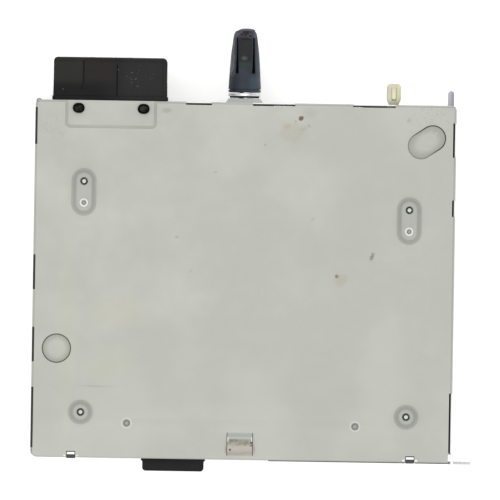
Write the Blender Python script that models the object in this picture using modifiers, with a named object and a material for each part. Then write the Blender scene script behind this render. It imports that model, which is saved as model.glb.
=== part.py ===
"""Car radio chassis with a slot-in disc deck, lying with its folded sheet-steel case upwards.

The frame is in metres with +Z up. The origin is the middle of the underside, +X points to the right of
the case seen from above and +Y to the rear, where the connectors and the locating stud are.
"""

import math

import bmesh
import bpy
from mathutils import Matrix, Vector

MM = 0.001
TURN = 2 * math.pi
DEG = math.pi / 180

# Case: a one-slot dashboard chassis of folded sheet steel
WIDTH = 180.0 * MM
DEPTH = 153.0 * MM
HEIGHT = 50.0 * MM
SHEET = 0.8 * MM
FOLD_RADIUS = 1.2 * MM
WALL_FOOT = 0.5 * MM
GAP = 0.3 * MM
PIN_PLAY = 0.3 * MM
OVERRUN = 2.0 * MM
MERGE = 0.01 * MM
LEFT, RIGHT = -WIDTH / 2, WIDTH / 2
FRONT, REAR = -DEPTH / 2, DEPTH / 2
UNDER_TOP = HEIGHT - SHEET
INNER_LEFT, INNER_RIGHT = LEFT + SHEET, RIGHT - SHEET
INNER_REAR = REAR - SHEET

# Slots cut along the folds of the case so that they bend in a straight line
FOLD_SLOT_WIDTH = 1.0 * MM
FOLD_SLOT_DEPTH = 2.2 * MM
REAR_SLOT_SHARES = ((-0.2833, -0.1611), (0.0344, 0.2356), (0.5111, 0.7133))
LEFT_SLOT_SHARES = ((0.7503, 0.9569), (-0.0627, 0.132), (-0.4667, -0.2732), (-0.9477, -0.6092))
RIGHT_SLOT_SHARES = ((0.7098, 0.902), (0.3791, 0.4706), (-0.9464, -0.6105))
REAR_SLOT_ENDS = tuple((RIGHT * start, RIGHT * end) for start, end in REAR_SLOT_SHARES)
LEFT_SLOT_ENDS = tuple((REAR * start, REAR * end) for start, end in LEFT_SLOT_SHARES)
RIGHT_SLOT_ENDS = tuple((REAR * start, REAR * end) for start, end in RIGHT_SLOT_SHARES)
CORNER_SLIT = 0.5 * MM
CORNER_SLIT_TOP_FROM_TOP = 3.5 * MM
CORNER_SLIT_TOP = HEIGHT - CORNER_SLIT_TOP_FROM_TOP

# Seats pressed down into the top for the board's screws, two of them long enough for a locating pip
SEAT_DEPTH = 1.8 * MM
SEAT_RUN = 2.0 * MM
DIE_SPREAD = 0.35 * MM
LEFT_SCREW_X_FROM_LEFT, LEFT_SCREW_Y_FROM_REAR = 21.3 * MM, 34.7 * MM
LEFT_SCREW_X, LEFT_SCREW_Y = LEFT + LEFT_SCREW_X_FROM_LEFT, REAR - LEFT_SCREW_Y_FROM_REAR
RIGHT_SCREW_X_FROM_RIGHT, RIGHT_SCREW_Y_FROM_REAR = 19.2 * MM, 45.0 * MM
RIGHT_SCREW_X, RIGHT_SCREW_Y = RIGHT - RIGHT_SCREW_X_FROM_RIGHT, REAR - RIGHT_SCREW_Y_FROM_REAR
FRONT_SCREW_X_FROM_RIGHT, FRONT_SCREW_Y_FROM_FRONT = 21.3 * MM, 19.4 * MM
FRONT_SCREW_X, FRONT_SCREW_Y = RIGHT - FRONT_SCREW_X_FROM_RIGHT, FRONT + FRONT_SCREW_Y_FROM_FRONT
FRONT_SCREW_SHIFT = 2.0 * MM
PIP_BEHIND_SCREW = 9.2 * MM
LONG_SEAT_WIDTH = 10.6 * MM
LONG_SEAT_LENGTH = 20.4 * MM
ROUND_SEAT_RADIUS = 5.2 * MM
SCREW_HOLE_RADIUS = 1.7 * MM
PIP_RADIUS = 1.5 * MM
PIP_DEPTH = 0.5 * MM
PIP_SIDE = 0.1 * MM

# Shallow marks pressed into the top: two half-pierced discs and two small dimples
HALF_PIERCE_DEPTH = 0.35 * MM
HALF_PIERCE_RADIUS = 6.3 * MM
HALF_PIERCE_X_FROM_LEFT, HALF_PIERCE_Y_FROM_FRONT = 10.6 * MM, 46.6 * MM
HALF_PIERCE_X, HALF_PIERCE_Y = LEFT + HALF_PIERCE_X_FROM_LEFT, FRONT + HALF_PIERCE_Y_FROM_FRONT
SLANT_RADIUS = 5.7 * MM
SLANT_X_FROM_RIGHT, SLANT_Y_FROM_REAR = 12.2 * MM, 15.75 * MM
SLANT_X, SLANT_Y = RIGHT - SLANT_X_FROM_RIGHT, REAR - SLANT_Y_FROM_REAR
SLANT_SPAN_X, SLANT_SPAN_Y = 5.0 * MM, 3.3 * MM
DIMPLE_RADIUS = 1.8 * MM
DIMPLE_DEPTH = 0.6 * MM
DIMPLE_RUN = 0.8 * MM
DIMPLE_Y_FROM_FRONT = 15.0 * MM
DIMPLE_X, DIMPLE_Y = 48.9 * MM, FRONT + DIMPLE_Y_FROM_FRONT

# Raised bridge lanced out of the top near the front edge
BRIDGE_Y_FROM_FRONT = 6.7 * MM
BRIDGE_X, BRIDGE_Y = -0.3 * MM, FRONT + BRIDGE_Y_FROM_FRONT
BRIDGE_WIDTH = 11.2 * MM
BRIDGE_LENGTH = 9.9 * MM
BRIDGE_RISE = 1.2 * MM
BRIDGE_RAMP = 1.7 * MM
BRIDGE_ROOT = 0.9 * MM
BRIDGE_SLIT = 0.6 * MM

# Pad pressed down over the main connector, with its two peg holes
PAD_LEFT_FROM_LEFT, PAD_RIGHT_FROM_LEFT = 12.9 * MM, 51.9 * MM
PAD_LEFT, PAD_RIGHT = LEFT + PAD_LEFT_FROM_LEFT, LEFT + PAD_RIGHT_FROM_LEFT
PAD_FRONT_FROM_REAR = 11.7 * MM
PAD_FRONT = REAR - PAD_FRONT_FROM_REAR
PAD_DEPTH = 1.0 * MM
PAD_RUN = 0.9 * MM
PAD_CORNER = 2.5 * MM
PEG_LEFT_X_FROM_PAD, PEG_RIGHT_X_FROM_PAD, PEG_Y_FROM_REAR = 5.6 * MM, 5.6 * MM, 3.4 * MM
PEG_LEFT_X = PAD_LEFT + PEG_LEFT_X_FROM_PAD
PEG_RIGHT_X = PAD_RIGHT - PEG_RIGHT_X_FROM_PAD
PEG_Y = REAR - PEG_Y_FROM_REAR
PEG_HEAD_LENGTH, PEG_HEAD_WIDTH = 5.1 * MM, 4.3 * MM
PEG_HEAD_RISE = 1.1 * MM
PEG_DISH_DEPTH = 0.4 * MM
PEG_DISH_RIM = 0.8 * MM
PEG_SHANK_RADIUS = 1.4 * MM
PEG_REACH = 8.0 * MM

# Notches in the front edge of the top, for the hooks of the front panel
NOTCH_X_FROM_RIGHT = 17.4 * MM
NOTCH_X = RIGHT - NOTCH_X_FROM_RIGHT
NOTCH_WIDTH = 3.9 * MM
NOTCH_DEPTH = 2.4 * MM

# Feet bent inwards from the side walls, for the two cover screws
FOOT_Y = 45.0 * MM
FOOT_LENGTH = 11.0 * MM
FOOT_REACH = 10.0 * MM
FOOT_Z = 3.0 * MM
COVER_SCREW_X_FROM_RIGHT = 7.0 * MM
COVER_SCREW_X = RIGHT - COVER_SCREW_X_FROM_RIGHT

# Cooling slots
VENT_WIDTH = 2.2 * MM
VENT_HEIGHT = 11.0 * MM
VENT_PITCH = 4.6 * MM
REAR_VENTS = 8
REAR_VENT_X, REAR_VENT_Z = 18.0 * MM, 14.5 * MM
SIDE_VENTS = 9
SIDE_VENT_Z_FROM_MIDDLE = 1.0 * MM
SIDE_VENT_Y, SIDE_VENT_Z = -14.0 * MM, HEIGHT / 2 + SIDE_VENT_Z_FROM_MIDDLE
COVER_VENTS = 9
COVER_VENT_X, COVER_VENT_Y, COVER_VENT_PITCH = 22.0 * MM, -6.0 * MM, 6.5 * MM
COVER_VENT_LENGTH = 26.0 * MM

# Rolled lug at the rear end of the left wall
LUG_RADIUS = 1.2 * MM
LUG_LOW, LUG_HIGH = 14.0 * MM, 32.0 * MM

# Lower cover with a lip all round
LIP_HEIGHT = 8.8 * MM
DISH_DEPTH = 1.9 * MM
DISH_RUN = 1.6 * MM
DISH_RADIUS = 6.4 * MM
COVER_HOLE_RADIUS = 1.8 * MM
COVER_RIB_X_FROM_RIGHT = 13.5 * MM
COVER_RIB_X, COVER_RIB_WIDTH, COVER_RIB_LENGTH = RIGHT - COVER_RIB_X_FROM_RIGHT, 5.0 * MM, 90.0 * MM
COVER_RIB_DEPTH = 0.9 * MM
COVER_RIB_RUN = 0.8 * MM
COVER_RIB_Y = -22.0 * MM

# Front panel with the disc slot
PANEL_SETBACK = 0.3 * MM
PANEL_SIDE_ROOM = 1.8 * MM
PANEL_HALF_WIDTH = INNER_RIGHT - PANEL_SIDE_ROOM
SLOT_WIDTH = 127.0 * MM
SLOT_HEIGHT = 7.0 * MM
SLOT_CORNER = 2.0 * MM
DISC_Z = 22.0 * MM
PANEL_HOLE_X_FROM_RIGHT, PANEL_HOLE_HIGH_FROM_TOP = 11.0 * MM, 10.0 * MM
PANEL_HOLE_X = RIGHT - PANEL_HOLE_X_FROM_RIGHT
PANEL_HOLE_LOW = 13.0 * MM
PANEL_HOLE_HIGH = HEIGHT - PANEL_HOLE_HIGH_FROM_TOP
PANEL_HOLE_RADIUS = 2.1 * MM
PANEL_WINDOW_X, PANEL_WINDOW_WIDTH, PANEL_WINDOW_HEIGHT = 42.0 * MM, 18.0 * MM, 5.0 * MM
FELT_GAP = 5.0 * MM
FELT_THICK = 1.2 * MM
FELT_HEIGHT = 2.6 * MM
FELT_WIDTH = 131.0 * MM

# Mounting strip inside the right wall, with a flange in front and a folded tongue behind
STRIP_THICK = 1.0 * MM
STRIP_LOW_FROM_MIDDLE, STRIP_HIGH_FROM_MIDDLE = 11.0 * MM, 11.0 * MM
STRIP_LOW, STRIP_HIGH = HEIGHT / 2 - STRIP_LOW_FROM_MIDDLE, HEIGHT / 2 + STRIP_HIGH_FROM_MIDDLE
STRIP_BEND = 1.2 * MM
FLANGE_TIP_X_FROM_RIGHT = 8.8 * MM
FLANGE_TIP_X = RIGHT + FLANGE_TIP_X_FROM_RIGHT
FLANGE_CENTRE_Y_FROM_FRONT = 0.2 * MM
FLANGE_CENTRE_Y = FRONT - FLANGE_CENTRE_Y_FROM_FRONT
FLANGE_HOLE_RADIUS = 2.1 * MM
TONGUE_END_Y_FROM_REAR = 6.6 * MM
TONGUE_END_Y = REAR + TONGUE_END_Y_FROM_REAR
TONGUE_THICK = 2.6 * MM
TONGUE_TAIL_Y_FROM_REAR = 5.0 * MM
TONGUE_TAIL_Y = REAR - TONGUE_TAIL_Y_FROM_REAR
TONGUE_LOW_FROM_EDGE, TONGUE_HIGH_FROM_EDGE = 5.0 * MM, 5.0 * MM
TONGUE_LOW, TONGUE_HIGH = STRIP_LOW + TONGUE_LOW_FROM_EDGE, STRIP_HIGH - TONGUE_HIGH_FROM_EDGE

# Main board hung under the top on four screws
BOARD_THICK = 1.6 * MM
BOARD_LEFT_FROM_WALL, BOARD_RIGHT_FROM_WALL = 2.2 * MM, 3.2 * MM
BOARD_LEFT, BOARD_RIGHT = INNER_LEFT + BOARD_LEFT_FROM_WALL, INNER_RIGHT - BOARD_RIGHT_FROM_WALL
BOARD_FRONT_FROM_FRONT, BOARD_REAR_FROM_REAR = 2.9 * MM, 1.6 * MM
BOARD_FRONT, BOARD_REAR = FRONT + BOARD_FRONT_FROM_FRONT, REAR - BOARD_REAR_FROM_REAR
BOARD_HIGH = UNDER_TOP - SEAT_DEPTH - GAP
BOARD_LOW = BOARD_HIGH - BOARD_THICK
BOARD_NOTCH = 4.0 * MM

# Main connector: one housing with a large chamber below three small ones
CONNECTOR_LEFT_FROM_PAD, CONNECTOR_RIGHT_FROM_PAD = 5.0 * MM, 4.2 * MM
CONNECTOR_LEFT, CONNECTOR_RIGHT = PAD_LEFT - CONNECTOR_LEFT_FROM_PAD, PAD_RIGHT + CONNECTOR_RIGHT_FROM_PAD
CONNECTOR_HIGH = BOARD_LOW - GAP
CONNECTOR_LOW_FROM_TOP = 25.2 * MM
CONNECTOR_LOW = CONNECTOR_HIGH - CONNECTOR_LOW_FROM_TOP
CONNECTOR_END_Y_FROM_REAR = 18.3 * MM
CONNECTOR_END_Y = REAR + CONNECTOR_END_Y_FROM_REAR
CONNECTOR_INNER_Y_FROM_REAR = 12.8 * MM
CONNECTOR_INNER_Y = REAR - CONNECTOR_INNER_Y_FROM_REAR
CONNECTOR_WALL = 1.5 * MM
CONNECTOR_CORNER = 1.3 * MM
CONNECTOR_FLANGE = 0.65 * MM
CONNECTOR_FLANGE_THICK = 1.6 * MM
CHAMBER_FLOOR_Y_FROM_REAR = 1.0 * MM
CHAMBER_FLOOR_Y = REAR + CHAMBER_FLOOR_Y_FROM_REAR
LOWER_CHAMBER_HEIGHT = 10.2 * MM
CHAMBER_LIP = 1.6 * MM
LIP_RECESS = 0.4 * MM
GROOVE_WIDTH = 0.7 * MM
GROOVE_SHARES = (0.2593, 0.556)
GROOVE_X = tuple(CONNECTOR_LEFT + (CONNECTOR_RIGHT - CONNECTOR_LEFT) * share for share in GROOVE_SHARES)
HEADER_THICK = 2.0 * MM
HEADER_END_Y_FROM_REAR = 11.5 * MM
HEADER_END_Y = REAR + HEADER_END_Y_FROM_REAR
BLADE_WIDTH, BLADE_THICK = 2.2 * MM, 0.8 * MM
BLADE_COLUMNS, BLADE_ROWS = 8, 2
SMALL_PIN = 0.64 * MM
SMALL_CHAMBERS = 3
SMALL_COLUMNS, SMALL_ROWS = 4, 2
KEY_WIDTH, KEY_DEPTH = 3.0 * MM, 0.8 * MM

# Aerial socket
AERIAL_WIDTH, AERIAL_HEIGHT = 5.8 * MM, 9.2 * MM
AERIAL_KEY_RISE = 0.7 * MM
AERIAL_X_FROM_RIGHT = 26.6 * MM
AERIAL_X = RIGHT - AERIAL_X_FROM_RIGHT
AERIAL_Z = BOARD_LOW - AERIAL_KEY_RISE - AERIAL_HEIGHT / 2
AERIAL_WALL = 0.75 * MM
AERIAL_CORNER = 0.9 * MM
AERIAL_END_Y_FROM_REAR, AERIAL_INNER_Y_FROM_REAR = 9.0 * MM, 4.9 * MM
AERIAL_END_Y, AERIAL_INNER_Y = REAR + AERIAL_END_Y_FROM_REAR, REAR - AERIAL_INNER_Y_FROM_REAR
AERIAL_FLOOR_Y_FROM_REAR = 0.3 * MM
AERIAL_FLOOR_Y = REAR - AERIAL_FLOOR_Y_FROM_REAR
AERIAL_KEY_Y_FROM_REAR = 2.5 * MM
AERIAL_KEY_WIDTH, AERIAL_KEY_Y = 1.8 * MM, REAR + AERIAL_KEY_Y_FROM_REAR
AERIAL_KEY_END_FROM_REAR = 7.1 * MM
AERIAL_KEY_END = REAR + AERIAL_KEY_END_FROM_REAR
FERRULE_END_Y_FROM_REAR = 4.1 * MM
FERRULE_RADIUS, FERRULE_WALL, FERRULE_END_Y = 1.75 * MM, 0.35 * MM, REAR + FERRULE_END_Y_FROM_REAR
AERIAL_PIN_END_Y_FROM_REAR = 3.5 * MM
AERIAL_PIN_RADIUS, AERIAL_PIN_END_Y = 0.5 * MM, REAR + AERIAL_PIN_END_Y_FROM_REAR

# Locating stud with its ring and rubber boot
STUD_Z = HEIGHT / 2
STUD_RADIUS = 3.5 * MM
STUD_HEAD_RADIUS, STUD_HEAD_THICK = 6.5 * MM, 2.0 * MM
STUD_END_Y_FROM_REAR = 26.5 * MM
STUD_END_Y = REAR + STUD_END_Y_FROM_REAR
STUD_TIP_CHAMFER = 0.8 * MM
COLLAR_BASE_RADIUS, COLLAR_TOP_RADIUS, COLLAR_RISE = 8.25 * MM, 6.5 * MM, 2.0 * MM
RING_RADIUS, RING_THICK = 6.85 * MM, 2.0 * MM
RING_EDGE = 0.3 * MM
BOOT_RADIUS = 6.85 * MM
BOOT_END_Y_FROM_REAR = 31.9 * MM
BOOT_END_Y = REAR + BOOT_END_Y_FROM_REAR
BOOT_SLOT_X, BOOT_SLOT_WIDTH = 3.35 * MM, 1.3 * MM
BOOT_SLOT_START_FROM_REAR, BOOT_SLOT_END_FROM_REAR = 12.7 * MM, 26.5 * MM
BOOT_SLOT_START, BOOT_SLOT_END = REAR + BOOT_SLOT_START_FROM_REAR, REAR + BOOT_SLOT_END_FROM_REAR
BOOT_SLOT_FLOOR = 2.6 * MM
BOOT_ROOT = 1.4 * MM
BOOT_ROOT_DEPTH = 0.35 * MM

# Control-panel connector at the front
FRONT_PLUG_LEFT, FRONT_PLUG_RIGHT = -41.7 * MM, -16.1 * MM
FRONT_PLUG_HIGH = BOARD_LOW - GAP
FRONT_PLUG_LOW_FROM_TOP = 9.4 * MM
FRONT_PLUG_LOW = FRONT_PLUG_HIGH - FRONT_PLUG_LOW_FROM_TOP
FRONT_PLUG_END_Y_FROM_FRONT, FRONT_PLUG_INNER_Y_FROM_FRONT = 5.0 * MM, 10.5 * MM
FRONT_PLUG_END_Y = FRONT - FRONT_PLUG_END_Y_FROM_FRONT
FRONT_PLUG_INNER_Y = FRONT + FRONT_PLUG_INNER_Y_FROM_FRONT
FRONT_PLUG_WALL, FRONT_PLUG_CORNER = 1.5 * MM, 1.5 * MM
FRONT_PLUG_FLOOR_Y_FROM_FRONT = 6.0 * MM
FRONT_PLUG_FLOOR_Y = FRONT + FRONT_PLUG_FLOOR_Y_FROM_FRONT
FRONT_PIN_END_Y_FROM_FRONT = 0.3 * MM
FRONT_PIN_END_Y = FRONT - FRONT_PIN_END_Y_FROM_FRONT
FRONT_PIN_COLUMNS, FRONT_PIN_ROWS = 10, 2

# Screws
SCREW_HEAD_RADIUS, SCREW_HEAD_THICK = 2.7 * MM, 1.7 * MM
SCREW_SHANK_RADIUS = 1.35 * MM
SCREW_TIP_RADIUS = 0.9 * MM
SCREW_TIP_LENGTH = 0.9 * MM
SCREW_TIP_BELOW_TOP = 1.35 * MM
SCREW_CROSS_LENGTH, SCREW_CROSS_WIDTH, SCREW_CROSS_DEPTH = 3.0 * MM, 0.6 * MM, 0.9 * MM

# Parts under the board
SINK_LEFT, SINK_RIGHT = 12.0 * MM, 50.0 * MM
SINK_HIGH_FROM_BOARD = 0.5 * MM
SINK_HIGH = BOARD_LOW - SINK_HIGH_FROM_BOARD
SINK_LOW_FROM_TOP = 23.0 * MM
SINK_LOW = SINK_HIGH - SINK_LOW_FROM_TOP
SINK_BASE, SINK_FIN, SINK_FIN_WIDTH = 3.0 * MM, 4.4 * MM, 1.6 * MM
SINK_SIDE_FINS = 3
SINK_FIN_PITCH = 3.4 * MM
CHIP_WIDTH, CHIP_THICK, CHIP_HEIGHT, CHIP_RISE = 16.0 * MM, 3.6 * MM, 17.0 * MM, 3.0 * MM
CHIP_LEGS = 11
LEG_WIDTH = 0.7 * MM
TUNER_LEFT_FROM_RIGHT, TUNER_RIGHT_FROM_RIGHT = 37.0 * MM, 11.0 * MM
TUNER_LEFT, TUNER_RIGHT = RIGHT - TUNER_LEFT_FROM_RIGHT, RIGHT - TUNER_RIGHT_FROM_RIGHT
TUNER_FRONT_FROM_REAR, TUNER_REAR_FROM_REAR = 30.0 * MM, 5.2 * MM
TUNER_FRONT, TUNER_REAR = REAR - TUNER_FRONT_FROM_REAR, REAR - TUNER_REAR_FROM_REAR
TUNER_CLEARANCE_SHARE = 0.22
TUNER_DENTS = 3
TUNER_DENT, TUNER_DENT_DEPTH = 5.0 * MM, 0.5 * MM
CAPACITOR_RADIUS, CAPACITOR_LENGTH = 5.6 * MM, 22.0 * MM
CAPACITOR_Y_FROM_REAR = 14.5 * MM
CAPACITOR_X, CAPACITOR_Y = -18.0 * MM, REAR - CAPACITOR_Y_FROM_REAR
CAPACITOR_GROOVE, CAPACITOR_GROOVE_AT = 0.5 * MM, 3.0 * MM
CAPACITOR_ROUND = 0.8 * MM

# Disc deck
SPINDLE_Y_FROM_FRONT = 72.5 * MM
SPINDLE_X, SPINDLE_Y = 0.0, FRONT + SPINDLE_Y_FROM_FRONT
DECK_LOW = 3.0 * MM
DECK_SHEET = 1.0 * MM
DECK_SIDE_ROOM = 18.7 * MM
DECK_HALF_WIDTH = INNER_RIGHT - DECK_SIDE_ROOM
DECK_FRONT_FROM_SPINDLE, DECK_REAR_FROM_SPINDLE = 67.0 * MM, 64.0 * MM
DECK_FRONT, DECK_REAR = SPINDLE_Y - DECK_FRONT_FROM_SPINDLE, SPINDLE_Y + DECK_REAR_FROM_SPINDLE
DECK_HIGH = 34.0 * MM
TUNER_LOW = DECK_HIGH + (BOARD_LOW - DECK_HIGH) * TUNER_CLEARANCE_SHARE
DECK_FOLD = 1.6 * MM
DECK_WAIST_Z = 21.5 * MM
DECK_WAIST_FRONT_FROM_SPINDLE, DECK_WAIST_REAR_FROM_SPINDLE = 23.0 * MM, 28.0 * MM
DECK_WAIST_FRONT = SPINDLE_Y - DECK_WAIST_FRONT_FROM_SPINDLE
DECK_WAIST_REAR = SPINDLE_Y + DECK_WAIST_REAR_FROM_SPINDLE
DECK_WINDOW_LEFT, DECK_WINDOW_RIGHT = -24.0 * MM, 52.0 * MM
DECK_WINDOW_FRONT_FROM_SPINDLE, DECK_WINDOW_REAR_FROM_SPINDLE = 27.0 * MM, 28.0 * MM
DECK_WINDOW_FRONT = SPINDLE_Y - DECK_WINDOW_FRONT_FROM_SPINDLE
DECK_WINDOW_REAR = SPINDLE_Y + DECK_WINDOW_REAR_FROM_SPINDLE
DECK_SCREW_X_FROM_DECK = 8.5 * MM
DECK_SCREW_X = DECK_HALF_WIDTH - DECK_SCREW_X_FROM_DECK
DECK_SCREW_FRONT_FROM_FRONT, DECK_SCREW_REAR_FROM_REAR = 7.5 * MM, 8.0 * MM
DECK_SCREW_FRONT = DECK_FRONT + DECK_SCREW_FRONT_FROM_FRONT
DECK_SCREW_REAR = DECK_REAR - DECK_SCREW_REAR_FROM_REAR
DECK_WALL_IN = DECK_HALF_WIDTH - DECK_SHEET

# Traverse plate floating on four rubber bushes
TRAVERSE_LOW = 7.9 * MM
TRAVERSE_THICK = 1.0 * MM
TRAVERSE_RIGHT_FROM_WALL = 0.9 * MM
TRAVERSE_LEFT, TRAVERSE_RIGHT = -42.0 * MM, DECK_WALL_IN - TRAVERSE_RIGHT_FROM_WALL
TRAVERSE_FRONT_FROM_SPINDLE, TRAVERSE_REAR_FROM_SPINDLE = 37.8 * MM, 39.5 * MM
TRAVERSE_FRONT = SPINDLE_Y - TRAVERSE_FRONT_FROM_SPINDLE
TRAVERSE_REAR = SPINDLE_Y + TRAVERSE_REAR_FROM_SPINDLE
TRAVERSE_HIGH = TRAVERSE_LOW + TRAVERSE_THICK
BUSH_LEFT_X_FROM_EDGE, BUSH_RIGHT_X_FROM_EDGE = 6.0 * MM, 8.6 * MM
BUSH_LEFT_X, BUSH_RIGHT_X = TRAVERSE_LEFT + BUSH_LEFT_X_FROM_EDGE, TRAVERSE_RIGHT - BUSH_RIGHT_X_FROM_EDGE
BUSH_FRONT_Y_FROM_EDGE, BUSH_REAR_Y_FROM_EDGE = 5.2 * MM, 5.5 * MM
BUSH_FRONT_Y, BUSH_REAR_Y = TRAVERSE_FRONT + BUSH_FRONT_Y_FROM_EDGE, TRAVERSE_REAR - BUSH_REAR_Y_FROM_EDGE
BUSH_RADIUS, BUSH_WAIST, BUSH_BORE = 4.0 * MM, 2.5 * MM, 1.5 * MM
BUSH_HIGH = 11.8 * MM
BUSH_PIN_RADIUS = 1.2 * MM
BUSH_BEAD = 0.5 * MM

# Spindle and turntable
STATOR_RADIUS, STATOR_HIGH = 11.0 * MM, 12.9 * MM
STATOR_TEETH, STATOR_TEETH_DEPTH = 6, 0.8 * MM
SPINDLE_RADIUS = 1.5 * MM
ROTOR_LOW = 13.3 * MM
ROTOR_RADIUS = 12.0 * MM
SEAT_RADIUS, DISC_SEAT_Z, SEAT_THICK = 14.0 * MM, 18.5 * MM, 1.4 * MM
CONE_RADIUS, CONE_HIGH, CONE_TOP_RADIUS = 7.4 * MM, 20.3 * MM, 5.8 * MM
CONE_STRAIGHT = 0.5 * MM

# Pickup sled on two rods, moved by a lead screw
ROD_Z = 12.5 * MM
MAIN_ROD_BEFORE, SUB_ROD_BEHIND, SCREW_BEFORE = 19.0 * MM, 19.0 * MM, 25.0 * MM
MAIN_ROD_RADIUS, SUB_ROD_RADIUS, LEAD_SCREW_RADIUS = 1.5 * MM, 1.2 * MM, 1.3 * MM
ROD_END_FROM_EDGE = 0.5 * MM
ROD_START, ROD_END = 11.2 * MM, TRAVERSE_RIGHT - ROD_END_FROM_EDGE
HOLDER_THICK, HOLDER_HALF, HOLDER_HIGH = 2.0 * MM, 3.0 * MM, 15.6 * MM
LENS_REST_X = 23.0 * MM
SLED_BEFORE, SLED_BEYOND = 9.0 * MM, 7.0 * MM
SLED_LOW, SLED_HIGH = 5.2 * MM, 14.0 * MM
SLED_FRONT_FROM_SPINDLE, SLED_REAR_FROM_SPINDLE = 15.6 * MM, 15.4 * MM
SLED_FRONT, SLED_REAR = SPINDLE_Y - SLED_FRONT_FROM_SPINDLE, SPINDLE_Y + SLED_REAR_FROM_SPINDLE
SLEEVE_HALF = 3.0 * MM
ROD_PLAY = 0.15 * MM
NUT_END_Y_FROM_SPINDLE = 27.3 * MM
NUT_LENGTH, NUT_END_Y = 8.0 * MM, SPINDLE_Y - NUT_END_Y_FROM_SPINDLE
NUT_LOW, NUT_HIGH = 10.0 * MM, 15.0 * MM
FORK_END_Y_FROM_SPINDLE = 21.8 * MM
FORK_END_Y, FORK_HALF = SPINDLE_Y + FORK_END_Y_FROM_SPINDLE, 2.7 * MM
LENS_RADIUS, LENS_HIGH, LENS_SOCKET_HIGH, LENS_SOCKET_HALF = 2.8 * MM, 17.0 * MM, 16.2 * MM, 4.2 * MM
LENS_LOW = 14.6 * MM
LENS_CROWN_SHARES = (0.0, 0.35, 0.7, 1.0)
TRAVERSE_WINDOW_END_FROM_EDGE = 2.7 * MM
TRAVERSE_WINDOW_START, TRAVERSE_WINDOW_END = 12.9 * MM, TRAVERSE_RIGHT - TRAVERSE_WINDOW_END_FROM_EDGE
SLED_MOTOR_RADIUS, SLED_MOTOR_LEFT, SLED_MOTOR_RIGHT = 4.7 * MM, -9.5 * MM, 10.7 * MM
SLED_MOTOR_FLAT = 3.6 * MM
MOTOR_BOSS_RADIUS, MOTOR_BOSS_LENGTH = 1.2 * MM, 1.0 * MM
SCREW_SOCKET = 2.2 * MM

# Clamp arm and puck
ARM_PIVOT_Y_FROM_SPINDLE = 52.0 * MM
ARM_PIVOT_Y, ARM_Z, ARM_THICK = SPINDLE_Y + ARM_PIVOT_Y_FROM_SPINDLE, 26.6 * MM, 1.0 * MM
ARM_BAR_HALF_WIDTH_FROM_WALL = 0.9 * MM
ARM_BAR_HALF_WIDTH = DECK_WALL_IN - ARM_BAR_HALF_WIDTH_FROM_WALL
ARM_BAR_FRONT_FROM_PIVOT, ARM_BAR_REAR_FROM_PIVOT = 7.0 * MM, 6.0 * MM
ARM_BAR_FRONT = ARM_PIVOT_Y - ARM_BAR_FRONT_FROM_PIVOT
ARM_BAR_REAR = ARM_PIVOT_Y + ARM_BAR_REAR_FROM_PIVOT
ARM_WEB_HALF_WIDTH, ARM_EYE_RADIUS = 26.0 * MM, 11.0 * MM
ARM_PRONG_FRONT_FROM_PIVOT, ARM_PRONG_ROOT_FROM_PIVOT = 17.5 * MM, 6.4 * MM
ARM_PRONG_FRONT = ARM_PIVOT_Y - ARM_PRONG_FRONT_FROM_PIVOT
ARM_PRONG_ROOT = ARM_PIVOT_Y - ARM_PRONG_ROOT_FROM_PIVOT
ARM_PRONG_LEFT_FROM_END = 8.6 * MM
ARM_PRONG_LEFT = ARM_BAR_HALF_WIDTH - ARM_PRONG_LEFT_FROM_END
ARM_WEB_ROOT_FROM_PIVOT = 7.8 * MM
ARM_WEB_ROOT = ARM_PIVOT_Y - ARM_WEB_ROOT_FROM_PIVOT
ARM_WINDOW_FRONT_FROM_SPINDLE, ARM_WINDOW_REAR_FROM_PIVOT = 18.0 * MM, 10.0 * MM
ARM_WINDOW_FRONT = SPINDLE_Y + ARM_WINDOW_FRONT_FROM_SPINDLE
ARM_WINDOW_REAR = ARM_PIVOT_Y - ARM_WINDOW_REAR_FROM_PIVOT
ARM_WINDOW_HALF = 11.0 * MM
ARM_PIN_RADIUS = 1.5 * MM
ARM_DROP = 4.0 * DEG
PUCK_RADIUS, PUCK_LOW, PUCK_THICK = 13.0 * MM, 23.2 * MM, 2.6 * MM
PUCK_HUB_RADIUS, PUCK_HOLE_PLAY = 4.6 * MM, 0.4 * MM
PUCK_CAP_RADIUS, PUCK_CAP_THICK = 7.0 * MM, 1.0 * MM
PUCK_RECESS_RADIUS, PUCK_RECESS_DEPTH = 8.6 * MM, 1.7 * MM
FOLLOWER_RADIUS, FOLLOWER_PLAY = 1.2 * MM, 0.35 * MM
ARM_FOLLOWER_Y_FROM_PIVOT = 14.0 * MM
ARM_FOLLOWER_Y = ARM_PIVOT_Y - ARM_FOLLOWER_Y_FROM_PIVOT

# Disc guide over the roller
GUIDE_FRONT_FROM_FRONT, GUIDE_REAR_FROM_FRONT = 0.5 * MM, 19.0 * MM
GUIDE_FRONT, GUIDE_REAR = DECK_FRONT + GUIDE_FRONT_FROM_FRONT, DECK_FRONT + GUIDE_REAR_FROM_FRONT
GUIDE_LOW, GUIDE_HIGH = 23.6 * MM, 26.6 * MM
GUIDE_LEAD_IN, GUIDE_SKIN = 1.6 * MM, 1.3 * MM
GUIDE_RIBS = 9
GUIDE_RIB_WIDTH = 1.4 * MM

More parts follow.
